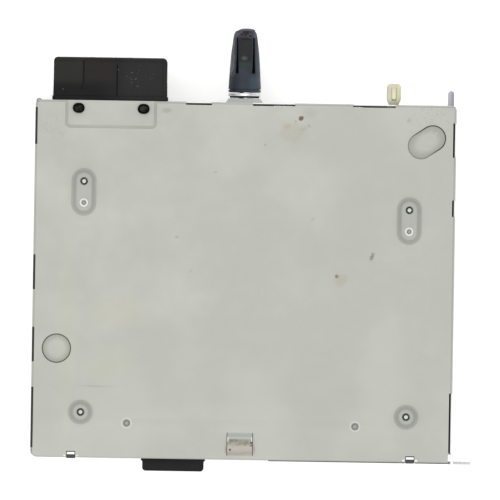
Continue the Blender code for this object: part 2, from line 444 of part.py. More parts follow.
# Roller with its swinging arm and drive
ROLLER_Y_FROM_FRONT = 9.0 * MM
ROLLER_Y, ROLLER_Z = DECK_FRONT + ROLLER_Y_FROM_FRONT, 17.3 * MM
ROLLER_PIVOT_Y_FROM_ROLLER = 18.0 * MM
ROLLER_PIVOT_Y = ROLLER_Y + ROLLER_PIVOT_Y_FROM_ROLLER
ROLLER_HALF_LENGTH_FROM_WALL = 7.5 * MM
ROLLER_RADIUS = 3.9 * MM
ROLLER_WAIST = 3.2 * MM
ROLLER_HALF_LENGTH = DECK_WALL_IN - ROLLER_HALF_LENGTH_FROM_WALL
ROLLER_NECK, ROLLER_BORE_PLAY = 1.0 * MM, 0.3 * MM
ROLLER_SHAFT_RADIUS = 1.5 * MM
ROLLER_DROP = 8.0 * DEG
EAR_X_FROM_WALL = 1.8 * MM
EAR_X, EAR_THICK, EAR_RADIUS = DECK_WALL_IN - EAR_X_FROM_WALL, 1.0 * MM, 3.4 * MM
BAIL_Z_FROM_ROLLER = 7.5 * MM
BAIL_Z, BAIL_BEND = ROLLER_Z - BAIL_Z_FROM_ROLLER, 2.0 * MM
BAIL_FRONT_FROM_ROLLER, BAIL_REAR_FROM_PIVOT = 5.0 * MM, 4.0 * MM
BAIL_FRONT, BAIL_REAR = ROLLER_Y + BAIL_FRONT_FROM_ROLLER, ROLLER_PIVOT_Y - BAIL_REAR_FROM_PIVOT
ROLLER_FOLLOWER_Y_FROM_ROLLER = 7.0 * MM
ROLLER_FOLLOWER_Y = ROLLER_Y + ROLLER_FOLLOWER_Y_FROM_ROLLER
SHAFT_WINDOW_HALF = 2.3 * MM
GEAR_MODULE = 0.6 * MM
ROLLER_TEETH, DRIVE_TEETH = 16, 20
GEAR_BACKLASH, GEAR_SPREAD = 0.16 * MM, 0.1 * MM
GEAR_ADDENDUM_SHARE, GEAR_DEDENDUM_SHARE = 1.0, 1.25
PRESSURE_ANGLE = 20.0 * DEG
GEAR_LEFT_X_FROM_DECK = 4.7 * MM
GEAR_LEFT_X, GEAR_WIDTH = -DECK_HALF_WIDTH - GEAR_LEFT_X_FROM_DECK, 2.6 * MM
DRIVE_STUD_END_FROM_DECK = 9.7 * MM
DRIVE_STUD_RADIUS, DRIVE_STUD_END = 1.5 * MM, -DECK_HALF_WIDTH - DRIVE_STUD_END_FROM_DECK
BELT_X_FROM_GEAR = 2.4 * MM
BELT_X, BELT_SIDE, BELT_PLAY = GEAR_LEFT_X - BELT_X_FROM_GEAR, 0.9 * MM, 0.3 * MM
PULLEY_WIDTH, PULLEY_FLANGE, PULLEY_FLANGE_RISE = 3.0 * MM, 0.6 * MM, 1.0 * MM
DRIVE_PULLEY_RADIUS, MOTOR_PULLEY_RADIUS = 4.8 * MM, 2.4 * MM
LOADING_MOTOR_Y_FROM_ROLLER, LOADING_MOTOR_Z_FROM_ROLLER = 24.0 * MM, 12.7 * MM
LOADING_MOTOR_Y = ROLLER_Y + LOADING_MOTOR_Y_FROM_ROLLER
LOADING_MOTOR_Z = ROLLER_Z + LOADING_MOTOR_Z_FROM_ROLLER
LOADING_MOTOR_RADIUS, LOADING_MOTOR_LENGTH = 5.0 * MM, 20.0 * MM
LOADING_MOTOR_FLAT = 4.1 * MM
MOTOR_SHAFT_RADIUS = 1.0 * MM

# Mode slide on the right of the deck
SLIDE_THICK = 1.0 * MM
SLIDE_TRAVEL = 8.0 * MM
SLIDE_FRONT_FROM_FRONT, SLIDE_REAR_FROM_PIVOT = 3.5 * MM, 6.0 * MM
SLIDE_FRONT, SLIDE_REAR = DECK_FRONT + SLIDE_FRONT_FROM_FRONT, ARM_PIVOT_Y - SLIDE_REAR_FROM_PIVOT
SLIDE_LOW, SLIDE_HIGH = 12.9 * MM, 21.4 * MM
SLIDE_RISER_FRONT_FROM_PIVOT = 25.5 * MM
SLIDE_RISER_FRONT, SLIDE_RISER_HIGH = ARM_PIVOT_Y - SLIDE_RISER_FRONT_FROM_PIVOT, 31.0 * MM
SLIDE_STUD_FRONT_Y_FROM_SPINDLE, SLIDE_STUD_REAR_Y_FROM_SPINDLE = 29.0 * MM, 13.0 * MM
SLIDE_STUD_FRONT_Y = SPINDLE_Y - SLIDE_STUD_FRONT_Y_FROM_SPINDLE
SLIDE_STUD_REAR_Y = SPINDLE_Y + SLIDE_STUD_REAR_Y_FROM_SPINDLE
SLIDE_STUD_Z = 17.3 * MM
SLIDE_STUD_RADIUS, SLIDE_STUD_HEAD, SLIDE_STUD_HEAD_THICK = 1.5 * MM, 2.7 * MM, 0.9 * MM
SLIDE_LIGHTENING = 3.4 * MM

# Numbers of facets
ROUND_STEPS = 16
HOLE_STEPS = 10
SMALL_ROUND_STEPS = 8
BEND_STEPS = 3
CORNER_STEPS = 2
VENT_STEPS = 3

PART_NAME = "car_radio"


# Scene and materials


def clear_scene():
    for item in list(bpy.data.objects):
        bpy.data.objects.remove(item, do_unlink=True)


def new_collection(name):
    collection = bpy.data.collections.new(name)
    bpy.context.scene.collection.children.link(collection)
    return collection


def new_material(name, colour, roughness, metallic):
    material = bpy.data.materials.new(name)
    material.use_nodes = True
    shader = material.node_tree.nodes["Principled BSDF"]
    shader.inputs["Base Color"].default_value = (*colour, 1.0)
    shader.inputs["Roughness"].default_value = roughness
    shader.inputs["Metallic"].default_value = metallic
    material.diffuse_color = (*colour, 1.0)
    return material


clear_scene()
PIECES = new_collection(PART_NAME)
CUTTERS = new_collection("cutters")

CASE_STEEL = new_material("case_steel", (0.52, 0.52, 0.48), 0.55, 0.3)
COVER_STEEL = new_material("cover_steel", (0.50, 0.51, 0.49), 0.5, 0.4)
PANEL_STEEL = new_material("panel_steel", (0.48, 0.49, 0.48), 0.5, 0.4)
STRIP_STEEL = new_material("strip_steel", (0.45, 0.45, 0.48), 0.4, 0.8)
BLACK_NYLON = new_material("black_nylon", (0.012, 0.012, 0.014), 0.35, 0.0)
PEG_BLACK = new_material("peg_black", (0.015, 0.015, 0.015), 0.5, 0.0)
CREAM_NYLON = new_material("cream_nylon", (0.70, 0.67, 0.46), 0.4, 0.0)
BRIGHT_STEEL = new_material("bright_steel", (0.62, 0.62, 0.60), 0.25, 1.0)
BOOT_RUBBER = new_material("boot_rubber", (0.03, 0.045, 0.06), 0.6, 0.0)
BUSH_RUBBER = new_material("bush_rubber", (0.02, 0.02, 0.02), 0.8, 0.0)
TIN_PLATE = new_material("tin_plate", (0.70, 0.70, 0.68), 0.3, 1.0)
CONTACT_TIN = new_material("contact_tin", (0.72, 0.70, 0.62), 0.3, 1.0)
BRASS = new_material("brass", (0.70, 0.52, 0.22), 0.3, 1.0)
BOARD_GREEN = new_material("board_green", (0.03, 0.13, 0.06), 0.45, 0.0)
SINK_ALUMINIUM = new_material("sink_aluminium", (0.72, 0.73, 0.74), 0.4, 1.0)
CHIP_EPOXY = new_material("chip_epoxy", (0.02, 0.02, 0.022), 0.6, 0.0)
SLEEVE_BLUE = new_material("sleeve_blue", (0.04, 0.07, 0.16), 0.4, 0.0)
FELT_GREY = new_material("felt_grey", (0.03, 0.03, 0.03), 0.95, 0.0)
DECK_STEEL = new_material("deck_steel", (0.60, 0.60, 0.58), 0.4, 0.9)
SLED_GREY = new_material("sled_grey", (0.10, 0.10, 0.11), 0.5, 0.0)
LENS_GLASS = new_material("lens_glass", (0.45, 0.50, 0.70), 0.05, 0.0)
ACETAL_WHITE = new_material("acetal_white", (0.80, 0.79, 0.74), 0.4, 0.0)
MOTOR_CAN = new_material("motor_can", (0.55, 0.55, 0.55), 0.35, 1.0)


# Outlines, as lists of points in their own plane


def arc(centre, radius, start, end, steps):
    x, y = centre
    angles = [start + (end - start) * i / steps for i in range(steps + 1)]
    return [(x + radius * math.cos(a), y + radius * math.sin(a)) for a in angles]


def circle(radius, steps, centre=(0, 0)):
    return arc(centre, radius, 0, TURN, steps)[:-1]


def obround(ax, ay, bx, by, radius, steps=HOLE_STEPS):
    """A slot with round ends about two centres."""
    along = math.atan2(by - ay, bx - ax)
    quarter = TURN / 4
    far = arc((bx, by), radius, along - quarter, along + quarter, steps // 2)
    near = arc((ax, ay), radius, along + quarter, along + 3 * quarter, steps // 2)
    return far + near


def rounded(left, low, right, high, radius, steps=CORNER_STEPS):
    """A rectangle with its corners rounded."""
    quarter = TURN / 4
    corners = ((right, high), (left, high), (left, low), (right, low))
    inward = ((-radius, -radius), (radius, -radius), (radius, radius), (-radius, radius))
    points = []
    for i, ((x, y), (dx, dy)) in enumerate(zip(corners, inward)):
        points += arc((x + dx, y + dy), radius, i * quarter, (i + 1) * quarter, steps)
    return points


def rectangle(left, low, right, high):
    return [(left, low), (right, low), (right, high), (left, high)]


# Shapes

PLANES = {
    "XY": Matrix(((1, 0, 0), (0, 1, 0), (0, 0, 1))),
    "XZ": Matrix(((1, 0, 0), (0, 0, -1), (0, 1, 0))),
    "YZ": Matrix(((0, 0, 1), (1, 0, 0), (0, 1, 0))),
}
AXES = {
    "X": Matrix.Rotation(TURN / 4, 4, "Y"),
    "Y": Matrix.Rotation(-TURN / 4, 4, "X"),
    "Z": Matrix.Identity(4),
}


def add_piece(name, mesh, matrix, material=None):
    piece = bpy.data.objects.new(name, mesh)
    piece.matrix_world = matrix
    PIECES.objects.link(piece)
    if material:
        mesh.materials.append(material)
    return piece


def mesh_from(name, builder):
    """A mesh made by a function that fills a bmesh."""
    mesh = bpy.data.meshes.new(name)
    shape = bmesh.new()
    builder(shape)
    shape.to_mesh(mesh)
    shape.free()
    return mesh


def block(name, low, high, material=None, edge=0):
    """A box between two corners, with its edges bevelled where a width is given."""
    low, high = Vector(low), Vector(high)

    def build(shape):
        bmesh.ops.create_cube(shape, size=1)
        bmesh.ops.scale(shape, vec=high - low, verts=shape.verts)

    piece = add_piece(name, mesh_from(name, build), Matrix.Translation((low + high) / 2), material)
    if edge:
        bevel(piece, edge, 1)
    return piece


def rod(name, start, end, radius, material=None, steps=HOLE_STEPS, end_radius=None):
    """A cylinder, or a cone where the end has another radius."""
    start, end = Vector(start), Vector(end)
    along = end - start
    if end_radius is None:
        end_radius = radius

    def build(shape):
        bmesh.ops.create_cone(
            shape, cap_ends=True, segments=steps, radius1=radius, radius2=end_radius, depth=along.length
        )

    turn = along.to_track_quat("Z", "Y").to_matrix().to_4x4()
    matrix = Matrix.Translation((start + end) / 2) @ turn
    return smooth(add_piece(name, mesh_from(name, build), matrix, material))


def turned(name, profile, at, axis, material=None, steps=ROUND_STEPS, closed=False):
    """A profile of (radius, height) points, running down its outer side, turned about an axis."""
    mesh = bpy.data.meshes.new(name)
    points = [(radius, 0, height) for radius, height in profile]
    edges = [(i, i + 1) for i in range(len(points) - 1)]
    if closed:
        edges.append((len(points) - 1, 0))
    mesh.from_pydata(points, edges, [])
    piece = add_piece(name, mesh, Matrix.Translation(at) @ AXES[axis], material)
    screw = piece.modifiers.new("turn", "SCREW")
    screw.steps = screw.render_steps = steps
    screw.use_merge_vertices = True
    screw.merge_threshold = MERGE
    screw.use_smooth_shade = True
    return piece


def prism(name, outline, thickness, at, plane, material=None, holes=()):
    """A flat outline with holes, extruded half its thickness each way across its plane."""
    curve = bpy.data.curves.new(name, "CURVE")
    curve.dimensions = "2D"
    curve.fill_mode = "BOTH"
    curve.extrude = thickness / 2
    for points in (outline, *holes):
        spline = curve.splines.new("POLY")
        spline.points.add(len(points) - 1)
        for point, (x, y) in zip(spline.points, points):
            point.co = (x, y, 0, 1)
        spline.use_cyclic_u = True
    drawn = bpy.data.objects.new(name + "_outline", curve)
    drawn.matrix_world = Matrix.Translation(at) @ PLANES[plane].to_4x4()
    PIECES.objects.link(drawn)
    return meshed(name, drawn, material)


def meshed(name, drawn, material):
    """A curve made into a welded mesh in the same place."""
    bpy.context.view_layer.update()
    graph = bpy.context.evaluated_depsgraph_get()
    mesh = bpy.data.meshes.new_from_object(drawn.evaluated_get(graph))
    mesh.name = name
    shape = bmesh.new()
    shape.from_mesh(mesh)
    bmesh.ops.remove_doubles(shape, verts=shape.verts, dist=MERGE)
    bmesh.ops.recalc_face_normals(shape, faces=shape.faces)
    shape.to_mesh(mesh)
    shape.free()
    mesh.materials.clear()
    piece = add_piece(name, mesh, drawn.matrix_world.copy(), material)
    bpy.data.objects.remove(drawn)
    return piece


def loft(name, lower, upper, low, high, material=None, plane="XY"):
    """A closed body between two outlines with as many points each."""

    def build(shape):
        rings = []
        for points, height in ((lower, low), (upper, high)):
            corners = [shape.verts.new((x, y, height)) for x, y in points]
            shape.faces.new(corners)
            rings.append(corners)
        edges = [edge for edge in shape.edges]
        bmesh.ops.bridge_loops(shape, edges=edges)
        bmesh.ops.recalc_face_normals(shape, faces=shape.faces)

    return add_piece(name, mesh_from(name, build), PLANES[plane].to_4x4(), material)


def bent_strip(name, path, low, high, thickness, plane, material=None):
    """A strip of sheet that follows a path in a plane and stands from low to high across it."""

    def build(shape):
        corners = [shape.verts.new((x, y, low)) for x, y in path]
        edges = [shape.edges.new(pair) for pair in zip(corners, corners[1:])]
        grown = bmesh.ops.extrude_edge_only(shape, edges=edges)["geom"]
        raised = [item for item in grown if isinstance(item, bmesh.types.BMVert)]
        bmesh.ops.translate(shape, vec=(0, 0, high - low), verts=raised)

    piece = add_piece(name, mesh_from(name, build), PLANES[plane].to_4x4(), material)
    shell(piece, thickness, 0)
    return piece


def open_box(name, low, high, missing, fold, material):
    """The outer skin of a folded box, without the sides named as missing, its folds rounded."""
    low, high = Vector(low), Vector(high)
    sides = {"-Y": (0, -1, 0), "+Y": (0, 1, 0), "-Z": (0, 0, -1), "+Z": (0, 0, 1)}

    def build(shape):
        bmesh.ops.create_cube(shape, size=1)
        bmesh.ops.scale(shape, vec=high - low, verts=shape.verts)
        shape.normal_update()
        gone = [
            face for face in shape.faces if any(face.normal.dot(sides[side]) > 0.9 for side in missing)
        ]
        bmesh.ops.delete(shape, geom=gone, context="FACES")
        folds = [edge for edge in shape.edges if len(edge.link_faces) == 2]
        bmesh.ops.bevel(
            shape,
            geom=folds,
            offset=fold,
            offset_type="OFFSET",
            segments=BEND_STEPS,
            profile=0.5,
            affect="EDGES",
        )

    return add_piece(name, mesh_from(name, build), Matrix.Translation((low + high) / 2), material)


# Finishing operations


def smooth(piece):
    piece.data.shade_smooth()
    piece.data.set_sharp_from_angle(angle=TURN / 10)
    return piece


def shell(piece, thickness, offset):
    solid = piece.modifiers.new("sheet", "SOLIDIFY")
    solid.thickness = thickness
    solid.offset = offset
    solid.use_even_offset = True
    return piece


def bevel(piece, width, segments):
    rounding = piece.modifiers.new("edges", "BEVEL")
    rounding.width = width
    rounding.segments = segments
    rounding.limit_method = "ANGLE"
    return piece


def as_tool(piece):
    PIECES.objects.unlink(piece)
    CUTTERS.objects.link(piece)
    piece.hide_render = True
    piece.display_type = "WIRE"


def combine(piece, others, operation):
    for other in others:
        change = piece.modifiers.new(other.name, "BOOLEAN")
        change.operation = operation
        change.object = other
        as_tool(other)
    return piece


def cut(piece, *others):
    return combine(piece, others, "DIFFERENCE")


def join(piece, *others):
    return combine(piece, others, "UNION")


def hinge_at(name, point, pieces):
    """An empty on a joint's axis that carries the pieces that turn or slide with it."""
    empty = bpy.data.objects.new(name, None)
    PIECES.objects.link(empty)
    empty.location = point
    for piece in pieces:
        piece.parent = empty
        piece.matrix_parent_inverse = Matrix.Translation(Vector(point)).inverted()


# Forms that a press gives to sheet, as outlines that grow by an amount


def round_form(x, y, radius, steps=HOLE_STEPS):
    return lambda grow: circle(radius + grow, steps, (x, y))


def long_form(ax, ay, bx, by, radius, steps=HOLE_STEPS):
    return lambda grow: obround(ax, ay, bx, by, radius + grow, steps)


def press(piece, name, form, face, depth, run, thickness, into=-1):
    """Presses a form into flat sheet whose struck face is at a height, leaving the sheet's thickness."""
    slope = run / depth
    struck = face + into * depth
    back = face + into * thickness
    die_low, die_high = sorted((back + into * depth, back - into * thickness / 2))
    die_forms = [form(DIE_SPREAD - run), form(DIE_SPREAD + slope * thickness / 2)]
    punch_low, punch_high = sorted((struck, face - into * OVERRUN))
    punch_forms = [form(-run), form(slope * OVERRUN)]
    if into > 0:
        die_forms.reverse()
        punch_forms.reverse()
    die = loft(name + "_die", *die_forms, die_low, die_high)
    punch = loft(name + "_punch", *punch_forms, punch_low, punch_high)
    join(piece, die)
    return punch


# Case


def seat_forms():
    """Outline of each screw seat in the top, from its screw's place."""
    half = LONG_SEAT_WIDTH / 2
    reach = (LONG_SEAT_LENGTH - LONG_SEAT_WIDTH) / 2
    forms = []
    for name, x, y in (("left", LEFT_SCREW_X, LEFT_SCREW_Y), ("right", RIGHT_SCREW_X, RIGHT_SCREW_Y)):
        middle = y - PIP_BEHIND_SCREW / 2
        forms.append((name + "_seat", long_form(x, middle - reach, x, middle + reach, half)))
    for name, x in (("front_left", -FRONT_SCREW_X), ("front_right", FRONT_SCREW_X + FRONT_SCREW_SHIFT)):
        forms.append((name + "_seat", round_form(x, FRONT_SCREW_Y, ROUND_SEAT_RADIUS)))
    return forms


def screw_places():
    return (
        ("rear_left", LEFT_SCREW_X, LEFT_SCREW_Y),
        ("rear_right", RIGHT_SCREW_X, RIGHT_SCREW_Y),
        ("front_left", -FRONT_SCREW_X, FRONT_SCREW_Y),
        ("front_right", FRONT_SCREW_X + FRONT_SCREW_SHIFT, FRONT_SCREW_Y),
    )


def press_top(case):
    """Seats, marks, dimples and the connector pad, then their screw and peg holes."""
    punches = [
        press(case, name, form, HEIGHT, SEAT_DEPTH, SEAT_RUN, SHEET) for name, form in seat_forms()
    ]
    disc = round_form(HALF_PIERCE_X, HALF_PIERCE_Y, HALF_PIERCE_RADIUS, ROUND_STEPS)
    punches.append(press(case, "disc_mark", disc, HEIGHT, HALF_PIERCE_DEPTH, 0, SHEET))
    dx, dy = SLANT_SPAN_X / 2, SLANT_SPAN_Y / 2
    slant = long_form(
        SLANT_X - dx, SLANT_Y - dy, SLANT_X + dx, SLANT_Y + dy, SLANT_RADIUS, 2 * HOLE_STEPS
    )
    punches.append(press(case, "slant_mark", slant, HEIGHT, HALF_PIERCE_DEPTH, 0, SHEET))
    for side, x in (("left", -DIMPLE_X), ("right", DIMPLE_X)):
        form = round_form(x, DIMPLE_Y, DIMPLE_RADIUS, SMALL_ROUND_STEPS)
        punches.append(press(case, side + "_dimple", form, HEIGHT, DIMPLE_DEPTH, DIMPLE_RUN, SHEET))
    cut(case, *punches)
    pad_low = UNDER_TOP - PAD_DEPTH
    die = block(
        "pad_die", (PAD_LEFT, PAD_FRONT, pad_low), (PAD_RIGHT, REAR - SHEET / 2, UNDER_TOP + SHEET / 2)
    )
    lower = rounded(
        PAD_LEFT + PAD_RUN, PAD_FRONT + PAD_RUN, PAD_RIGHT - PAD_RUN, REAR + OVERRUN, PAD_CORNER
    )
    grow = PAD_RUN * OVERRUN / PAD_DEPTH
    upper = rounded(
        PAD_LEFT - grow, PAD_FRONT - grow, PAD_RIGHT + grow, REAR + OVERRUN, PAD_CORNER + grow
    )
    join(case, die)
    cut(case, loft("pad_punch", lower, upper, HEIGHT - PAD_DEPTH, HEIGHT + OVERRUN))
    floor = HEIGHT - SEAT_DEPTH
    for side, x, y in (("left", LEFT_SCREW_X, LEFT_SCREW_Y), ("right", RIGHT_SCREW_X, RIGHT_SCREW_Y)):
        form = round_form(x, y - PIP_BEHIND_SCREW, PIP_RADIUS, SMALL_ROUND_STEPS)
        cut(case, press(case, side + "_pip", form, floor, PIP_DEPTH, PIP_SIDE, SHEET))
    for name, x, y in screw_places():
        cut(case, upright_hole(name + "_hole", x, y, SCREW_HOLE_RADIUS, UNDER_TOP - SEAT_DEPTH, HEIGHT))
    for name, x in (("left_peg", PEG_LEFT_X), ("right_peg", PEG_RIGHT_X)):
        radius = PEG_SHANK_RADIUS + PIN_PLAY
        cut(case, upright_hole(name + "_hole", x, PEG_Y, radius, pad_low, HEIGHT))


def upright_hole(name, x, y, radius, low, high, steps=HOLE_STEPS):
    return rod(name, (x, y, low - OVERRUN), (x, y, high + OVERRUN), radius, steps=steps)


def lance_bridge(case):
    """A strip of the top cut free at both sides and raised."""
    half, reach = BRIDGE_WIDTH / 2, BRIDGE_LENGTH / 2
    front, rear = BRIDGE_Y - reach, BRIDGE_Y + reach
    low, high = UNDER_TOP - OVERRUN, HEIGHT + OVERRUN
    cut(case, block("bridge_hole", (BRIDGE_X - half, front, low), (BRIDGE_X + half, rear, high)))
    middle = HEIGHT - SHEET / 2
    path = (
        (front - BRIDGE_ROOT, middle),
        (front + BRIDGE_ROOT, middle),
        (front + BRIDGE_ROOT + BRIDGE_RAMP, middle + BRIDGE_RISE),
        (rear - BRIDGE_ROOT - BRIDGE_RAMP, middle + BRIDGE_RISE),
        (rear - BRIDGE_ROOT, middle),
        (rear + BRIDGE_ROOT, middle),
    )
    inset = half - BRIDGE_SLIT
    strip = bent_strip("bridge", path, BRIDGE_X - inset, BRIDGE_X + inset, SHEET * (1 - 1 / 64), "YZ")
    join(case, strip)


def slot_folds(case):
    """Relief slots along the three folds, slits at the rear corners and the front notches."""
    low, high = UNDER_TOP - FOLD_SLOT_DEPTH + SHEET, HEIGHT + OVERRUN
    for i, (start, end) in enumerate(REAR_SLOT_ENDS):
        cut(
            case,
            block(
                f"rear_fold_slot_{i}", (start, REAR - FOLD_SLOT_WIDTH, low), (end, REAR + OVERRUN, high)
            ),
        )
    for i, (start, end) in enumerate(LEFT_SLOT_ENDS):
        cut(
            case,
            block(
                f"left_fold_slot_{i}", (LEFT - OVERRUN, start, low), (LEFT + FOLD_SLOT_WIDTH, end, high)
            ),
        )
    for i, (start, end) in enumerate(RIGHT_SLOT_ENDS):
        cut(
            case,
            block(
                f"right_fold_slot_{i}",
                (RIGHT - FOLD_SLOT_WIDTH, start, low),
                (RIGHT + OVERRUN, end, high),
            ),
        )
    slit_rear = INNER_REAR - FOLD_RADIUS / 4
    for side, x in (("left", LEFT), ("right", RIGHT)):
        corner_low = (x - OVERRUN, slit_rear - CORNER_SLIT, WALL_FOOT - OVERRUN)
        corner_high = (x + OVERRUN, slit_rear, CORNER_SLIT_TOP)
        cut(case, block(side + "_corner_slit", corner_low, corner_high))
    for side, x in (("left", -NOTCH_X), ("right", NOTCH_X)):
        notch_low = (x - NOTCH_WIDTH / 2, FRONT - OVERRUN, UNDER_TOP - OVERRUN)
        notch_high = (x + NOTCH_WIDTH / 2, FRONT + NOTCH_DEPTH, HEIGHT + OVERRUN)
        cut(case, block(side + "_notch", notch_low, notch_high))


def bend_feet(case):
    """Two feet bent in from the side walls, with the holes for the cover screws."""
    for side, sign in (("left", -1), ("right", 1)):
        outer = sign * (RIGHT - SHEET / 2)
        inner = sign * (INNER_RIGHT - FOOT_REACH)
        low = (min(outer, inner), FOOT_Y - FOOT_LENGTH / 2, FOOT_Z)
        high = (max(outer, inner), FOOT_Y + FOOT_LENGTH / 2, FOOT_Z + SHEET)
        join(case, block(side + "_foot", low, high))
        cut(
            case,
            upright_hole(
                side + "_foot_hole", sign * COVER_SCREW_X, FOOT_Y, COVER_HOLE_RADIUS, FOOT_Z, FOOT_Z
            ),
        )


def pierce_rear(case):
    """Openings of the rear wall for the connectors, the tongue and the stud, and its cooling slots."""
    low, high = INNER_REAR - OVERRUN, REAR + OVERRUN
    cut(
        case,
        block(
            "connector_opening",
            (CONNECTOR_LEFT - GAP, low, CONNECTOR_LOW - GAP),
            (CONNECTOR_RIGHT + GAP, high, CONNECTOR_HIGH + GAP),
        ),
    )
    half_width, half_height = AERIAL_WIDTH / 2 + GAP, AERIAL_HEIGHT / 2 + GAP
    cut(
        case,
        block(
            "aerial_opening",
            (AERIAL_X - half_width, low, AERIAL_Z - half_height),
            (AERIAL_X + half_width, high, AERIAL_Z + half_height),
        ),
    )
    tongue_left = strip_outer_x() - TONGUE_THICK - GAP
    cut(
        case,
        block(
            "tongue_notch",
            (tongue_left, low - SHEET, TONGUE_LOW - GAP),
            (RIGHT + OVERRUN, high, TONGUE_HIGH + GAP),
        ),
    )
    root = INNER_REAR + SHEET / 2
    slope = (COLLAR_BASE_RADIUS - COLLAR_TOP_RADIUS) / COLLAR_RISE
    axis = lambda y: (0, y, STUD_Z)
    base = COLLAR_BASE_RADIUS + slope * SHEET / 2
    outer = rod(
        "collar",
        axis(root),
        axis(REAR + COLLAR_RISE),
        base,
        steps=ROUND_STEPS,
        end_radius=COLLAR_TOP_RADIUS,
    )
    inner_end = REAR + COLLAR_RISE - SHEET
    inner_base = COLLAR_BASE_RADIUS - DIE_SPREAD + slope * OVERRUN
    inner = rod(
        "collar_hollow",
        axis(INNER_REAR - OVERRUN),
        axis(inner_end),
        inner_base,
        steps=ROUND_STEPS,
        end_radius=COLLAR_TOP_RADIUS - DIE_SPREAD,
    )
    join(case, outer)
    cut(
        case,
        inner,
        rod("stud_hole", axis(low), axis(high + COLLAR_RISE), STUD_RADIUS + PIN_PLAY, steps=HOLE_STEPS),
    )
    for i in range(REAR_VENTS):
        x = REAR_VENT_X + i * VENT_PITCH
        cut(case, vent(f"rear_vent_{i}", x, REAR_VENT_Z, -high, -low, "XZ"))


def vent(name, across, height, low, high, plane):
    """An upright cooling slot as a cutter."""
    half = (VENT_HEIGHT - VENT_WIDTH) / 2
    outline = obround(across, height - half, across, height + half, VENT_WIDTH / 2, VENT_STEPS)
    return loft(name, outline, outline, low, high, plane=plane)


def pierce_sides(case):
    """Cooling slots of the left wall, and the front of the right wall cut back for the strip's flange."""
    for i in range(SIDE_VENTS):
        y = SIDE_VENT_Y + i * VENT_PITCH
        cut(case, vent(f"left_vent_{i}", y, SIDE_VENT_Z, LEFT - OVERRUN, INNER_LEFT + OVERRUN, "YZ"))
    rear = FLANGE_CENTRE_Y + STRIP_THICK / 2 + GAP
    low = (INNER_RIGHT - SHEET, FRONT - OVERRUN, STRIP_LOW - GAP)
    high = (RIGHT + OVERRUN, rear + STRIP_BEND / 2, STRIP_HIGH + GAP)
    cut(case, block("flange_notch", low, high))


def make_main_chassis():
    case = open_box(
        "main_chassis",
        (LEFT, FRONT, WALL_FOOT),
        (RIGHT, REAR, HEIGHT),
        ("-Y", "-Z"),
        FOLD_RADIUS,
        CASE_STEEL,
    )
    shell(case, SHEET, -1)
    press_top(case)
    lance_bridge(case)
    bend_feet(case)
    lug_x, lug_y = LEFT + LUG_RADIUS, REAR - LUG_RADIUS / 4
    join(case, rod("rear_lug", (lug_x, lug_y, LUG_LOW), (lug_x, lug_y, LUG_HIGH), LUG_RADIUS))
    slot_folds(case)
    pierce_rear(case)
    pierce_sides(case)
    return case


def cover_screw_places():
    places = [("cover_screw_left", -COVER_SCREW_X, FOOT_Y), ("cover_screw_right", COVER_SCREW_X, FOOT_Y)]
    return places


def deck_screw_places():
    rows = (("front", DECK_SCREW_FRONT), ("rear", DECK_SCREW_REAR))
    sides = (("left", -DECK_SCREW_X), ("right", DECK_SCREW_X))
    return [(f"deck_screw_{row}_{side}", x, y) for row, y in rows for side, x in sides]


def make_lower_cover():
    side = INNER_RIGHT - GAP
    cover = open_box(
        "lower_cover",
        (-side, FRONT, 0),
        (side, INNER_REAR - GAP, LIP_HEIGHT),
        ("+Z",),
        FOLD_RADIUS,
        COVER_STEEL,
    )
    shell(cover, SHEET, -1)
    punches = []
    places = cover_screw_places() + deck_screw_places()
    for name, x, y in places:
        form = round_form(x, y, DISH_RADIUS)
        if name.startswith("cover"):
            half = DISH_RADIUS - DISH_RUN
            form = round_form(x, y, half + DISH_RUN / 2)
        punches.append(press(cover, name + "_dish", form, 0, DISH_DEPTH, DISH_RUN, SHEET, 1))
    half = COVER_RIB_LENGTH / 2
    for name, sign in (("left_rib", -1), ("right_rib", 1)):
        x = sign * COVER_RIB_X
        form = long_form(x, COVER_RIB_Y - half, x, COVER_RIB_Y + half, COVER_RIB_WIDTH / 2)
        punches.append(press(cover, name, form, 0, COVER_RIB_DEPTH, COVER_RIB_RUN, SHEET, 1))
    cut(cover, *punches)
    for name, x, y in places:
        cut(cover, upright_hole(name + "_hole", x, y, COVER_HOLE_RADIUS, 0, DISH_DEPTH + SHEET))
    for sign in (-1, 1):
        for i in range(COVER_VENTS):
            y = COVER_VENT_Y + (i - (COVER_VENTS - 1) / 2) * COVER_VENT_PITCH
            x = sign * COVER_VENT_X
            reach = COVER_VENT_LENGTH / 2
            outline = obround(x - reach, y, x + reach, y, VENT_WIDTH / 2, VENT_STEPS)
            cut(cover, loft(f"cover_vent_{sign}_{i}", outline, outline, -OVERRUN, SHEET + OVERRUN))
    for name, sign in (("left_foot_gap", -1), ("right_foot_gap", 1)):
        outer, inner = sign * (RIGHT + OVERRUN), sign * (INNER_RIGHT - FOLD_RADIUS - SHEET)
        low = (min(outer, inner), FOOT_Y - FOOT_LENGTH / 2 - GAP, FOOT_Z - GAP)
        high = (max(outer, inner), FOOT_Y + FOOT_LENGTH / 2 + GAP, LIP_HEIGHT + OVERRUN)
        cut(cover, block(name, low, high))
    return cover


def panel_centre_y():
    return FRONT + SHEET + PANEL_SETBACK + SHEET / 2


